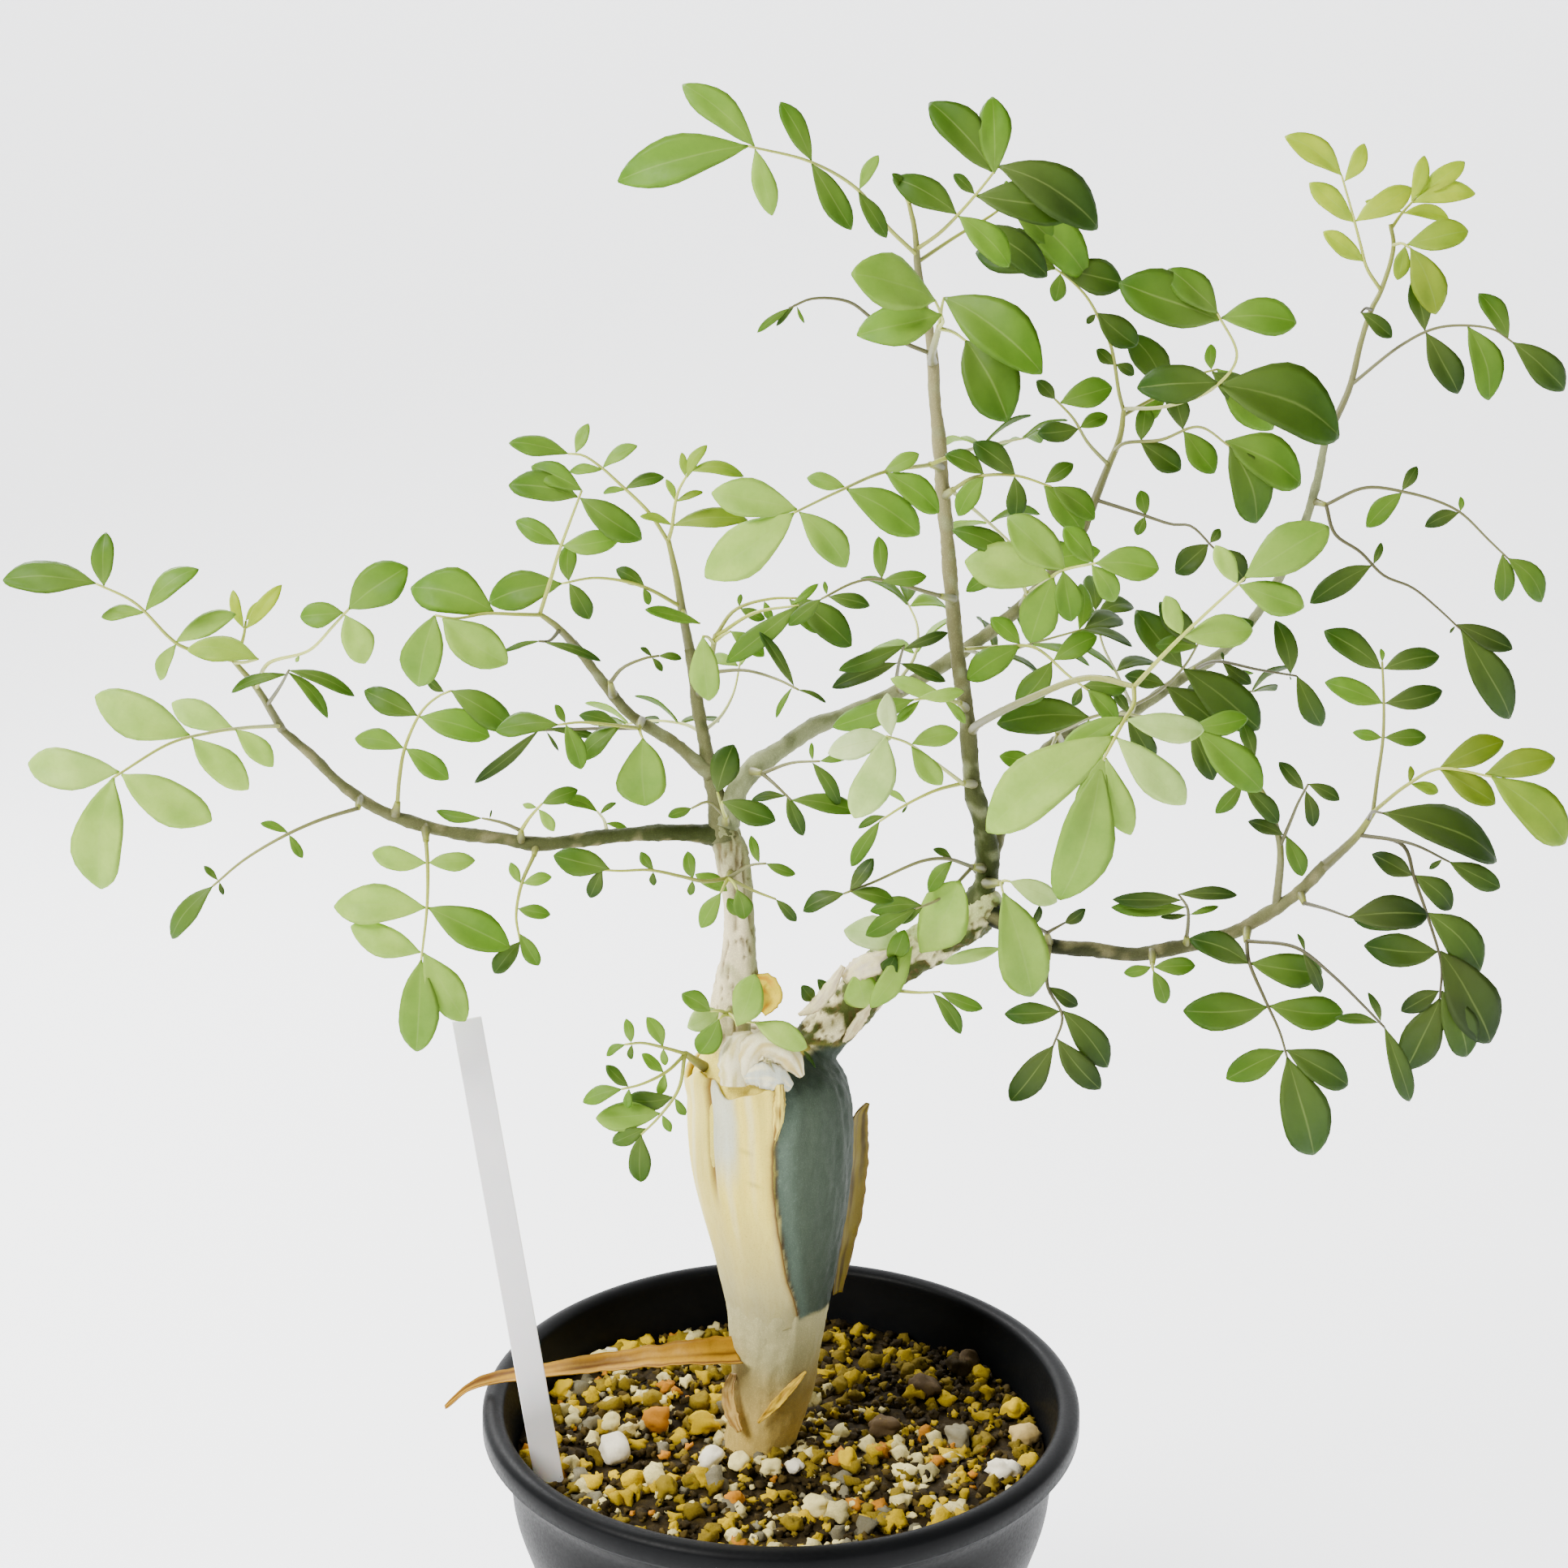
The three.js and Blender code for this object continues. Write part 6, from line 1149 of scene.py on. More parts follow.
def pot():
    outer = [(radius, POT_HEIGHT - below) for below, radius in reversed(POT_BELL)]
    inner = [(radius - WALL, POT_HEIGHT - below) for below, radius in POT_BELL]
    lip = RIM_RADIUS - RIM_WIDTH
    wall = Route([Vector((radius, 0, height)) for radius, height in [
        (FOOT_RADIUS, 1.3), *outer, (RIM_RADIUS - 2.4, POT_HEIGHT - RIM_DEPTH - 1.5),
        (RIM_RADIUS, POT_HEIGHT - RIM_DEPTH + 0.6)]])
    hollow = Route([Vector((radius, 0, height)) for radius, height in [
        (lip, POT_HEIGHT - 2.4), *inner, (FOOT_RADIUS - WALL, FLOOR + 1)]])
    profile = [(DRAIN_FIELD, 0), (FOOT_RADIUS - 1.2, 0), (FOOT_RADIUS - 0.3, 0.4)]
    profile += [(p.x, p.z) for p in (wall.point(k / 40) for k in range(41))]
    for k in range(1, 12):
        turn = math.pi * k / 12
        profile.append((lip + RIM_WIDTH / 2 + RIM_WIDTH / 2 * math.cos(turn),
                        POT_HEIGHT - RIM_ROUND + RIM_ROUND * math.sin(turn)))
    profile += [(p.x, p.z) for p in (hollow.point(k / 30) for k in range(31))]
    profile += [(FOOT_RADIUS - WALL - 1, FLOOR), (DRAIN_FIELD, FLOOR)]
    points = [point for spot in profile for point in ring(*spot, POT_SIDES)]
    form = Form()
    form.add(points, grid_faces(len(profile), POT_SIDES, closed=True))
    form.add(*pot_floor())
    show("pot_shell", form.mesh("pot_shell", pot_surface()), "pot_plastic", "pot")


def pot_floor():
    """The middle of the floor: rings of points outside, across and inside the drain holes."""
    points = []
    step = 2 * math.pi / DRAIN_COUNT
    for height in (0, FLOOR):
        outer, far, near = [], [], []
        for turn in turns(POT_SIDES):
            spot = Vector((math.cos(turn), math.sin(turn), 0))
            off = turn - round(turn / step) * step
            middle = DRAIN_RING * math.cos(off)
            half = math.sqrt(max(0, DRAIN_RADIUS ** 2 - (DRAIN_RING * math.sin(off)) ** 2))
            for row, reach in ((outer, DRAIN_FIELD), (far, middle + half), (near, middle - half)):
                row.append(spot * reach + Vector((0, 0, height)))
        points += outer + far + near
    count = POT_SIDES
    faces = []
    for j in range(count):
        n = (j + 1) % count
        faces.append((j, count + j, count + n, n))
        faces.append((3 * count + j, 3 * count + n, 4 * count + n, 4 * count + j))
        faces.append((2 * count + j, 6 * count, 2 * count + n))
        faces.append((5 * count + j, 5 * count + n, 6 * count + 1))
        if any((points[count + k] - points[2 * count + k]).length > 0.01 for k in (j, n)):
            faces.append((count + j, 4 * count + j, 4 * count + n, count + n))
            faces.append((2 * count + j, 2 * count + n, 5 * count + n, 5 * count + j))
    return points + [Vector((0, 0, 0)), Vector((0, 0, FLOOR))], faces


# Soil


def soil_height(x, y):
    return SOIL_TOP + 0.8 * math.sin(0.11 * x + 1) * math.cos(0.13 * y)


def soil_bed():
    points, tints = [], []
    for level in range(1, SOIL_RINGS + 1):
        reach = SOIL_EDGE * level / SOIL_RINGS
        for turn in turns(SOIL_SIDES):
            x, y = reach * math.cos(turn), reach * math.sin(turn)
            rough = noise.noise(Vector((x, y, 0)) * 0.42)
            rough += 0.5 * noise.noise(Vector((x, y, 5)) * 1.1)
            points.append(Vector((x, y, soil_height(x, y) + rough - 0.4)))
            tints.append(blend(FINES, EARTH, smooth_step(-0.4, 0.5, rough)))
    for radius, height in SOIL_WALL:
        points += ring(radius, height, SOIL_SIDES)
    faces = grid_faces(SOIL_RINGS + len(SOIL_WALL), SOIL_SIDES, closed=True, flip=True)
    middle = len(points)
    last = middle - SOIL_SIDES
    for j in range(SOIL_SIDES):
        n = (j + 1) % SOIL_SIDES
        faces.append((middle, j, n))
        faces.append((middle + 1, last + n, last + j))
    points += [Vector((0, 0, SOIL_TOP)), Vector((0, 0, SOIL_FOOT))]
    tints += [FINES] * (len(points) - len(tints))
    form = Form()
    form.add(points, faces, tint=tints)
    show("soil_bed", form.mesh("soil_bed", soil_surface("soil_fines", 0.5)), "soil", "soil")


def ball(subdivisions):
    mesh = bpy.data.meshes.new("ball")
    shape = bmesh.new()
    bmesh.ops.create_icosphere(shape, subdivisions=subdivisions, radius=1)
    shape.to_mesh(mesh)
    shape.free()
    points = [point.co.copy() for point in mesh.vertices]
    faces = [tuple(face.vertices) for face in mesh.polygons]
    bpy.data.meshes.remove(mesh)
    return points, faces


def lump(form, shape, place, size, draw, tint, rough):
    """One grain: a ball squeezed, roughened and turned; size is its three diameters."""
    points, faces = shape
    turn = Matrix.Rotation(draw.uniform(0, 6.28), 3, "Z") @ Matrix.Rotation(
        draw.uniform(-0.5, 0.5), 3, "X")
    salt = Vector((draw.uniform(0, 90), draw.uniform(0, 90), 0))
    made = []
    for point in points:
        swell = 1 + rough * noise.noise(point * 1.2 + salt)
        swell += 0.5 * rough * noise.noise(point * 2.9 + salt)
        spot = Vector([c * s / 2 * swell for c, s in zip(point, size)])
        made.append(place + turn @ spot)
    form.add(made, faces, tint=tint)


def grain_tint(x, y, draw):
    """Pale and yellow grains lie left and in front, dark ones behind on the right, where both the
    colour picked and the brightness lean dark as painted shade.
    """
    # Painted shade: how far a grain lies behind on the right, where the picks lean dark and grains
    # are darkened
    shade = smooth_step(-10, 45, 0.7 * x + 0.7 * y)
    pick = draw.random() * lerp(1, 0.7, shade)
    tint = next(colour for limit, colour in GRAIN_BANDS if pick <= limit)
    light = draw.uniform(0.7, 1.15) * lerp(1, 0.6, shade)
    return tuple(c * light for c in tint)


def soil_grains(draw):
    shape = ball(2)
    form = Form()
    for _ in range(GRAINS):
        reach = SOIL_EDGE * math.sqrt(draw.uniform(0.004, 0.985))
        turn = draw.uniform(0, 2 * math.pi)
        tint = grain_tint(reach * math.cos(turn), reach * math.sin(turn), draw)
        if tint[0] < DARK_RED:
            big = draw.uniform(*DARK_SIZES)
        else:
            big = PALE_LEAST + PALE_EXTRA * draw.random() ** 2
        reach = min(reach, SOIL_EDGE - big * 0.55)
        x, y = reach * math.cos(turn), reach * math.sin(turn)
        size = [big * draw.uniform(*spread) for spread in GRAIN_SPREAD]
        height = soil_height(x, y) + big * draw.uniform(-0.05, 0.3)
        lump(form, shape, Vector((x, y, height)), size, draw, tint, 1.0)
    show("soil_grains", form.mesh("soil_grains", soil_surface("soil_grains", 0.35)), "soil", "soil")


def soil_stones(draw):
    shape = ball(3)
    form = Form()
    for u, v, wide, deep, tint, rough in STONES:
        low, high = seen(u, v, -RIM_RADIUS), seen(u, v, RIM_RADIUS)
        spot = low.lerp(high, (SOIL_TOP + 0.8 - low.z) / (high.z - low.z))
        spot *= min(1, (SOIL_EDGE - 0.6 * wide) / math.hypot(spot.x, spot.y))
        spot.z = soil_height(spot.x, spot.y) + 0.7 + 0.14 * wide
        lump(form, shape, spot, [wide, wide * deep, wide * 0.66], draw, tint, rough)
    show("soil_stones", form.mesh("soil_stones", soil_surface("soil_stones", 0.12)), "soil", "soil")


# Swollen base, trunks and branches


def between(knots, up):
    """The values of a list of knots at a height, straight from one knot to the next."""
    for (low, *one), (high, *other) in zip(knots, knots[1:]):
        if up <= high:
            return blend(one, other, max(0, (up - low) / (high - low)))
    return knots[-1][1:]


def soft_caudex(up):
    """The base's radius and sideways place, smoothed between its rings."""
    near = [between(CAUDEX, up + step) for step in (-3, -1.5, 0, 1.5, 3)]
    return sum(n[0] for n in near) / 5, sum(n[1] for n in near) / 5


def tear_turn(up):
    """Turn of the papery bark's torn edge, in degrees from the front, at a height."""
    return between(SHEET_EDGE, up)[0]


def base_tint(point):
    up = point.z - SOIL_TOP
    _, x = soft_caudex(min(up, 80))
    turn = math.degrees(math.atan2(point.x - x, -point.y))
    ragged = 2.2 * noise.noise(point * 0.25)
    bark = blend(FOOT_GOLD, STIPPLE, smooth_step(4, 26, up + 6 * noise.noise(point * 0.1)))
    bark = blend(bark, PAPER_CREAM, smooth_step(30, 80, up))
    speck = smooth_step(0.15, 0.5, noise.noise(point * 1.6)) * smooth_step(26, 2, turn)
    beside = turn - tear_turn(up)
    # Painted light: the green bark turns teal in a strip beside the tear, lit from the left; the
    # teal specks are the bark's own and fade out towards the right
    green = blend(GREEN_BARK, TEAL_BARK, max(smooth_step(20, 6, beside) * 0.6, speck))
    # Painted shade: the green bark darkens towards the right side and towards the top of the base
    shaded = max(smooth_step(30, 75, turn), smooth_step(74, 84, up))
    green = blend(green, PAINTED_SHADE_GREEN, shaded * 0.7)
    green = blend(green, TEAR_BROWN, smooth_step(3.5, 1, beside) * 0.7)
    inside = smooth_step(0, 1.2, beside + ragged) * smooth_step(0, 1.6, up - 31 + ragged)
    inside *= smooth_step(0, 1, 86.4 - up + 0.4 * ragged)
    return blend(bark, green, inside)


def trunk_tint(point, normal, name):
    patch = noise.noise(point * 0.16) + 0.5 * noise.noise(point * 0.5)
    if name == "trunk_left":
        old = smooth_step(112, 130, point.z - SOIL_TOP)
        shadow = smooth_step(0.2, 0.9, normal.x)
        return blend(TRUNK_CREAM, TRUNK_GREEN, max(old, 0.5 * smooth_step(0.1, 0.5, patch), shadow))
    # Painted light: the right trunk's moss pales on upward faces towards its right end, and its
    # white peel patches, the bark's own, spread further on upward faces as painted light
    pale = smooth_step(8, 34, point.x) * smooth_step(-0.2, 0.3, normal.z)
    peel = smooth_step(0.22, 0.36, patch + 0.32 * normal.z)
    return blend(blend(MOSS, PAINTED_LIT_MOSS, pale), PEEL_WHITE, peel * (1 - 0.6 * pale))


def nearest_limb(point, spots):
    return min(spots, key=lambda name: min((spot - point).length for spot in spots[name]))


def trunks(surface):
    """The base and both trunks under one skin, roughened along the grain and tinted."""
    rings = []
    for k in range(BASE_RINGS + 1):
        up = lerp(CAUDEX[0][0], CAUDEX[-1][0], k / BASE_RINGS)
        radius, x = soft_caudex(up)
        rings += ring(radius, SOIL_TOP + up, BASE_SIDES, x)
    form = Form()
    form.add(rings, tube_faces(BASE_RINGS + 1, BASE_SIDES))
    spots = {}
    for name in ("trunk_left", "trunk_right"):
        route, width = sized_route(LIMBS[name])
        tube(form, route, lambda share: width(share) / 2, sides=40, step=1.2)
        spots[name] = [route.point(k / 12) for k in range(13)]
    mesh = remeshed(form.mesh("trunks"), TRUNK_VOXEL, TRUNK_SMOOTHS)
    tints, places = [], []
    for point, normal in [(vertex.co / MM, vertex.normal.copy()) for vertex in mesh.vertices]:
        name = nearest_limb(point, spots)
        tint = base_tint(point)
        grain = Vector((point.x * 0.55, point.y * 0.55, point.z * 0.1))
        rough = 0.32 * noise.noise(grain) + 0.12 * noise.noise(point * 0.9)
        above = smooth_step(*BASE_END, point.z - SOIL_TOP + noise.noise(point * 0.3))
        if above > 0:
            along = 0.07 if name == "trunk_left" else 0.35
            cracks = abs(noise.noise(Vector((point.x * 0.8, point.y * 0.8, point.z * along))))
            dip = smooth_step(0.11, 0, cracks) * above
            knobs = above * 0.9 * max(0, noise.noise(point * 0.22))
            rough = 1.5 * rough - 0.5 * dip + knobs
            tint = blend(tint, trunk_tint(point, normal, name), above)
            tint = blend(tint, FISSURE, 0.85 * dip)
        places.extend((point + normal * rough) * MM)
        tints.append(tint)
    mesh.vertices.foreach_set("co", places)
    put_layer(mesh, "tint", tints)
    mesh.materials.clear()
    mesh.materials.append(surface)
    mesh.polygons.foreach_set("use_smooth", [True] * len(mesh.polygons))
    show("swollen_base", mesh, "bark", "wood")


def boughs(surface):
    for name, (base, tip, side) in BOUGH_TINTS.items():
        route, width = sized_route(LIMBS[name])

        def swell(share):
            flare = 1 + 0.21 * math.exp(-share * route.length / 5)
            node = 0.06 * math.sin(share * route.length * 0.55) + 0.04 * sway(int(share * 40), 3)
            return width(share) / 2 * (flare + node * smooth_step(0, 0.1, share))

        form = Form()
        tube(form, route, swell, sides=18, step=0.9, rough=0.16,
             tint=lambda share: blend(base, tip, smooth_step(0.1, 0.9, share)))
        mesh = form.mesh(name, surface)
        for vertex, entry in zip(mesh.vertices, mesh.attributes["tint"].data):
            patch = smooth_step(0.05, 0.45, noise.noise(vertex.co / MM * 0.35))
            entry.color = (*blend(tuple(entry.color)[:3], side, 0.55 * patch), 1)
        show(name, mesh, "bark", "wood")


# Loose bark and the label


def bark_sheet(surface):
    """The papery sheet: its outer and inner faces, sunk into the base except near the tear."""
    points, tints, edges = [], [], []
    for layer, torn in enumerate(SHEET_TORN):
        for row in range(SHEET_ROWS):
            rise = row / (SHEET_ROWS - 1)
            low, top = smooth_step(0.16, 0, rise), smooth_step(0.86, 1, rise)
            level = lerp(SHEET_EDGE[0][0] - 3, SHEET_EDGE[-1][0] + 2.5, rise)
            right = tear_turn(level) + 1.2 * noise.noise(Vector((0, 0, level * 0.12)))
            right += 0.3 * noise.noise(Vector((3, 0, level * 0.7)))
            for column in range(SHEET_COLUMNS):
                turn = lerp(SHEET_BACK, right, (column / (SHEET_COLUMNS - 1)) ** 0.75)
                inward = right - turn
                angle = math.radians(turn)
                rag = 1.3 * math.sin(5 * angle)
                rag += 1.6 * noise.noise(Vector((angle * 4, row * 0.01, 2)))
                up = level + rag * top + 0.6 * rag * low
                crease = noise.noise(Vector((angle * 2.4, up * 0.045, 1)))
                lift = smooth_step(14, 0, inward) * (1 - low)
                proud = 0.45 + 0.5 * lift + 0.55 * crease * (1 - low) + 0.9 * top
                proud -= 0.75 * groove_at(up, turn)
                proud *= 1 - 1.35 * max(low, smooth_step(14, 0, turn - SHEET_BACK))
                radius, x = soft_caudex(up)
                reach = radius + proud - layer * (SHEET_THICK + 0.15 * top)
                points.append(Vector((x + reach * math.sin(angle), -reach * math.cos(angle),
                                      SOIL_TOP + up)))
                tints.append(sheet_tint(up, turn, inward))
                edges.append(0.9 * smooth_step(*torn, inward))
    form = Form()
    form.add(points, slab_faces(SHEET_ROWS, SHEET_COLUMNS), tint=tints, edge=edges)
    show("papery_sheet", form.mesh("papery_sheet", surface), "papery_bark", "papery_bark_sheet")


def groove_at(up, turn):
    """How deep in the sheet's long groove a place is, from 0 to 1."""
    side, lean = GROOVE
    return smooth_step(4.5, 0.6, abs(turn - side - (78 - up) * lean)) * smooth_step(54, 64, up)


def sheet_tint(up, turn, inward):
    cloud = 5 * noise.noise(Vector((turn * 0.05, up * 0.05, 0)))
    tint = blend(STIPPLE, PAPER_CREAM, smooth_step(30, 62, up + cloud))
    fold = noise.noise(Vector((turn * 0.11, up * 0.012, 3)))
    tint = blend(tint, PAPER_WHITE, 0.6 * smooth_step(0.05, 0.5, fold) * smooth_step(40, 60, up))
    tint = blend(tint, OCHRE, 0.22 * smooth_step(0.1, 0.5, -fold) * smooth_step(46, 70, up))
    pale = smooth_step(-47, -41, turn) * smooth_step(-20, -27, turn) * smooth_step(59, 70, up)
    tint = blend(tint, PAPER_BLUE, 0.85 * pale)
    tint = blend(tint, GROOVE_BROWN, 0.95 * groove_at(up, turn))
    for height, side, long in CREASES:
        line = smooth_step(0.9, 0, abs(up - height + 0.07 * (turn - side)))
        tint = blend(tint, OCHRE, 0.4 * line * smooth_step(long, 0, abs(turn - side)))
    return blend(tint, GROOVE_BROWN, 0.5 * smooth_step(7, 1, inward))


def ribbon(name, node, slot, surface, facing, gutter, tint, shade, places):
    """A curled ribbon along places that carry its width, with ragged sides."""
    route, width = sized_route(places)
    face = Vector(facing).normalized()
    count = max(24, round(route.length / 0.5))
    points, tints, edges = [], [], []
    for layer in (1, -1):
        for k in range(count + 1):
            share = k / count
            centre = route.point(share)
            along = route.tangent(share)
            across = face.cross(along).normalized()
            normal = along.cross(across)
            wide = width(share)
            for j in range(RIBBON_COLUMNS + 1):
                s = 2 * j / RIBBON_COLUMNS - 1
                ragged = 1 + 0.16 * noise.noise(Vector((share * 22, 3 * (s > 0), 4)))
                sag = gutter * wide * (1 - s * s) * 1.4
                wave = 0.35 * noise.noise(Vector((share * 9, s, 7)))
                lift = wave - sag + 0.26 * layer * (1 - 0.55 * s * s)
                points.append(centre + across * s * wide / 2 * ragged + normal * lift)
                grain = noise.noise(Vector((s * 2.5, share * 3, 9)))
                tints.append(blend(tint, shade, smooth_step(-0.1, 0.5, grain)))
                edges.append(smooth_step(0.8, 1, abs(s)) * 0.5)
    form = Form()
    form.add(points, slab_faces(count + 1, RIBBON_COLUMNS + 1), tint=tints, edge=edges)
    show(name, form.mesh(name, surface), slot, node)


def loose_bark(paper):
    surfaces = {"papery_bark": paper, "ochre_bark": paper_surface("ochre_bark", 0.15)}
    for name, (node, slot, *spec) in LOOSE_BARK.items():
        ribbon(name, node, slot, surfaces[slot], *spec)


def plant_label():
    places = [seen(*place[:3]) for place in LABEL_ROUTE]
    face = Vector(LABEL_FACING).normalized()
    points = []
    for k, (centre, place) in enumerate(zip(places, LABEL_ROUTE)):
        ahead = places[min(k + 1, len(places) - 1)]
        behind = places[max(k - 1, 0)]
        along = (ahead - behind).normalized()
        across = face.cross(along).normalized()
        normal = along.cross(across)
        half, deep = place[3] / 2, LABEL_THICK / 2
        slim, thin = half - LABEL_BEVEL, deep - LABEL_BEVEL
        outline = [(-half, thin), (-slim, deep), (slim, deep), (half, thin),
                   (half, -thin), (slim, -deep), (-slim, -deep), (-half, -thin)]
        points += [centre + across * a + normal * n for a, n in outline]
    form = Form()
    form.add(points, tube_faces(len(places), len(outline)))
    mesh = form.mesh("label", label_surface(), smooth=False)
    show("label", mesh, "label_plastic", "plant_label")


# Leaves


def on_stem(places, point):
    """The place on a stem's middle line that is nearest to a point."""
    best = places[0]
    for one, other in zip(places, places[1:]):
        span = other - one
        share = min(1, max(0, (point - one).dot(span) / span.length_squared))
        spot = one + span * share
        if (spot - point).length < (best - point).length:
            best = spot
    return best


def leaf_width(t):
    """A blade's width over its widest, at a share of its length."""
    return max(0.05, t / 0.57 * (max(0, 1 - t) / 0.43) ** 0.75)


def leaflet(form, root, along, look, long, wide, tone, young, seed):
    """A thin blade from root along its midrib, folded and arched, with a rounded tip."""
    across = look.cross(along).normalized()
    normal = along.cross(across)
    fold = 0.16 + 0.12 * sway(seed, 5)
    bend = 0.10 * sway(seed, 6)
    curl = 0.08 + 0.10 * sway(seed, 7)
    skew = 0.05 * sway(seed, 8)
    inner = (LEAF_ROWS + 1) * (LEAF_COLUMNS + 1)
    top, low, uvs, low_uvs, twin = [], [], [], [], []
    for row in range(LEAF_ROWS + 1):
        s = row / LEAF_ROWS
        t = 0.35 * s + 0.65 * (1 - math.cos(math.pi * s)) / 2
        half = wide * long / 2 * leaf_width(t)
        for column in range(LEAF_COLUMNS + 1):
            c = 2 * column / LEAF_COLUMNS - 1
            wave = 1 + 0.06 * math.sin(8 * t + seed + 2 * c)
            side = c * half * wave + skew * long * math.sin(math.pi * t)
            lift = ARCH * long * t * (1 - t) + fold * abs(c) * half - curl * long * t ** 3
            ripple = 0.05 * half * math.sin(9 * t + 4 * c + seed)
            spot = root + along * (t * long) + across * side + normal * (lift + ripple)
            spot += across * (bend * long * t * t)
            edge = abs(c) == 1 or row in (0, LEAF_ROWS)
            thick = 0 if edge else 0.17 + 0.1 * (1 - abs(c))
            twin.append(len(top) if edge else inner + len(low))
            top.append(spot + normal * thick)
            uvs.append((t, c))
            if not edge:
                low.append(spot - normal * thick)
                low_uvs.append((t, c))
    faces = grid_faces(LEAF_ROWS + 1, LEAF_COLUMNS + 1, flip=True)
    faces += [tuple(twin[k] for k in reversed(face)) for face in faces]
    form.add(top + low, faces, uvs=uvs + low_uvs, tone=tone, young=young)


def frond_pieces(blades, stalks, start, spec):
    """A frond's leaflets and its rib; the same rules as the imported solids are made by."""
    route = Route([start, *[seen(*place) for place in spec["route"][1:]]])
    facing = Vector(spec["face"]).normalized()
    length = route.length
    pairs, first = spec["pairs"], spec["first"]
    here = spec["route"]
    seed = here[0][0] + here[0][1] * 0.37 + here[1][0] * 0.11
    top_pair = 1 - min(TOP_PAIR, 0.3 * length) / length

    def station(share):
        along = route.tangent(share)
        left = facing.cross(along).normalized()
        return route.point(share), along, left, along.cross(left)

    def grow(axes, side, size, number):
        place, ahead, left, normal = axes
        root = place + left * side * 0.25
        if isinstance(size, list):
            reach = seen(size[0], size[1], size[2] if len(size) > 2 else root.y) - root
            long, along, look = reach.length, reach.normalized(), facing
        else:
            lean = math.radians(0 if side == 0 else 64 + 7 * sway(seed + number, 1))
            fold = math.radians(0 if side == 0 else 16 + 14 * sway(seed + number, 2))
            out = left * side * math.cos(fold) + normal * math.sin(fold)
            along = ahead * math.cos(lean) + out * math.sin(lean)
            look = normal * math.cos(fold) - left * side * math.sin(fold)
            long = size * (1 + 0.08 * sway(seed + number, 3))
        # Each leaflet's tone spreads around its frond's, which is partly painted shade and painted
        # light
        tone = min(1, max(0, spec["tone"] + 0.19 * sway(seed + number, 9)))
        leaflet(blades, root, along, look, long, spec["wide"], tone, spec["young"], seed + number)

    for k, size in enumerate(pairs):
        share = lerp(first, top_pair, k / (len(pairs) - 1) if len(pairs) > 1 else 1)
        axes = station(share)
        sides = [size, size]
        if isinstance(size, list):
            place, _, left, _ = axes

            def leftward(tip):
                return (seen(*tip[:2], place.y) - place).dot(left)

            sides = sorted(size, key=leftward)
            if len(sides) == 1:
                sides.insert(1 if leftward(sides[0]) < 0 else 0, None)
        for side, tip in zip((-1, 1), sides):
            if tip is not None:
                grow(axes, side, tip, 2 * k + (side > 0) * 0.5)
    grow(station(1), 0, spec["tip"], 99)
    # The rib's tone follows the frond's tone, painted shade and painted light included, and pales
    # towards the tip
    green = smooth_step(0.15, 0.5, spec["tone"])
    tube(stalks, route, lambda share: lerp(0.42, 0.22, share), sides=8, step=1.1,
         tone=lambda share: min(1, lerp(0.1, 0.62, green) + 0.3 * share * green))


def shoots():
    leaf, stalk = leaf_surface(), stalk_surface()
    for name, (stem, fronds) in SHOOTS.items():
        blades, stalks = Form(), Form()
        route, width = sized_route(stem)
        tube(stalks, route, lambda share: width(share) / 2 * (1 - 0.25 * share), sides=12, step=0.9,
             rough=0.1, tone=lambda share: 0.25 + 0.3 * share)
        middle = [seen(*place[:3]) for place in stem]
        for spec in fronds:
            frond_pieces(blades, stalks, on_stem(middle, seen(*spec["route"][0])), spec)
        node = "leaves_" + name
        show(f"blades_{name}", blades.mesh(f"blades_{name}", leaf), "leaf", node)
        show(f"stalks_{name}", stalks.mesh(f"stalks_{name}", stalk), "young_shoot", node)
    blades = Form()
    look = Vector(FRONT).normalized()
    for number, (root, tip, wide, tone) in enumerate(TRUNK_LEAVES):
        foot = seen(*root)
        reach = seen(*tip) - foot
        leaflet(blades, foot, reach.normalized(), look, reach.length, wide, tone, 0, number)
    show("blades_trunk", blades.mesh("blades_trunk", leaf), "leaf")


# Stage, light and camera


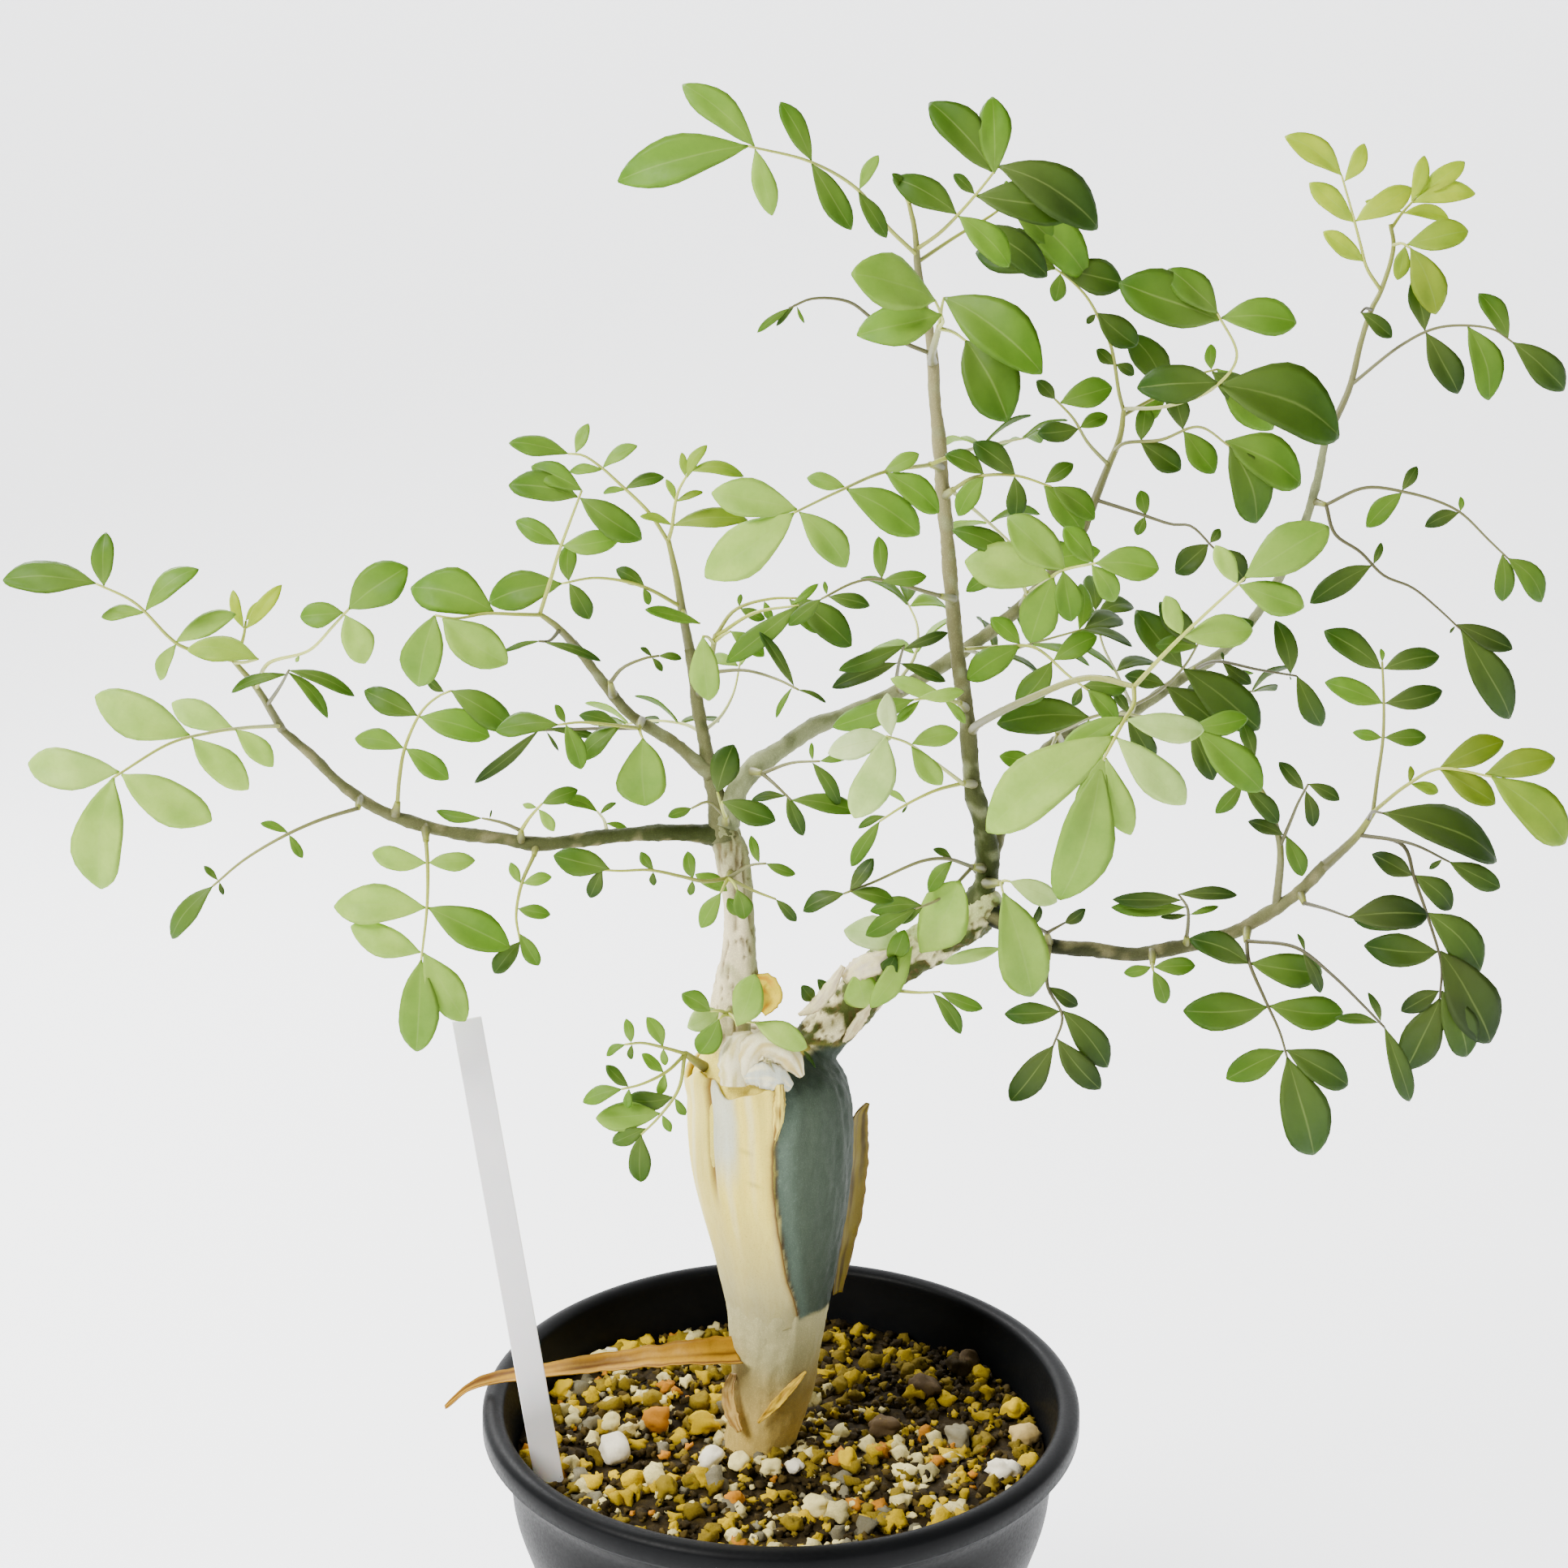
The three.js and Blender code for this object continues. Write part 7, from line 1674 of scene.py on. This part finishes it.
def stage():
    surface = Surface("studio")
    surface.set(Base_Color=(0.88, 0.885, 0.90, 1), Roughness=0.9, Emission_Strength=STAGE_GLOW,
                Emission_Color=(0.98, 0.985, 1, 1))
    profile = [(STAGE_FRONT, 0)]
    for k in range(25):
        turn = math.pi / 2 * k / 24
        profile.append((STAGE_FLAT + STAGE_BEND * math.sin(turn),
                        STAGE_BEND - STAGE_BEND * math.cos(turn)))
    profile.append((STAGE_FLAT + STAGE_BEND, STAGE_TOP))
    points = [(x, y, z) for y, z in profile for x in (-STAGE_HALF, STAGE_HALF)]
    mesh = bpy.data.meshes.new("studio")
    mesh.from_pydata(points, [], grid_faces(len(profile), 2, flip=True))
    mesh.materials.append(surface.material)
    mesh.polygons.foreach_set("use_smooth", [True] * len(mesh.polygons))
    backdrop = bpy.data.objects.new("studio", mesh)
    bpy.context.scene.collection.objects.link(backdrop)


def lamps():
    for name, (place, aim, size, power, colour) in LAMPS.items():
        light = bpy.data.lights.new(name, "AREA")
        light.shape = "DISK"
        light.size = size
        light.energy = power
        light.color = colour
        holder = bpy.data.objects.new(name, light)
        holder.location = place
        holder.rotation_euler = (Vector(aim) - Vector(place)).to_track_quat("-Z", "Y").to_euler()
        bpy.context.scene.collection.objects.link(holder)


def sky_and_camera():
    scene = bpy.context.scene
    world = bpy.data.worlds.new("studio")
    world.use_nodes = True
    sky = world.node_tree.nodes["Background"]
    sky.inputs[0].default_value = SKY
    sky.inputs[1].default_value = SKY_STRENGTH
    scene.world = world
    camera = bpy.data.cameras.new("camera")
    camera.sensor_width = SENSOR
    camera.lens = FOCAL * SENSOR / (2 * CENTRE)
    camera.clip_start = 0.01
    holder = bpy.data.objects.new("camera", camera)
    holder.location = EYE * MM
    holder.rotation_euler = (math.pi / 2 - PITCH, 0, 0)
    scene.collection.objects.link(holder)
    scene.camera = holder


stage()
lamps()
sky_and_camera()
pot()
soil_bed()
grain_draw = random.Random(GRAIN_SEED)
soil_grains(grain_draw)
soil_stones(grain_draw)
bark = bark_surface()
trunks(bark)
boughs(bark)
papery_bark = paper_surface("papery_bark", 0.12)
bark_sheet(papery_bark)
loose_bark(papery_bark)
plant_label()
shoots()
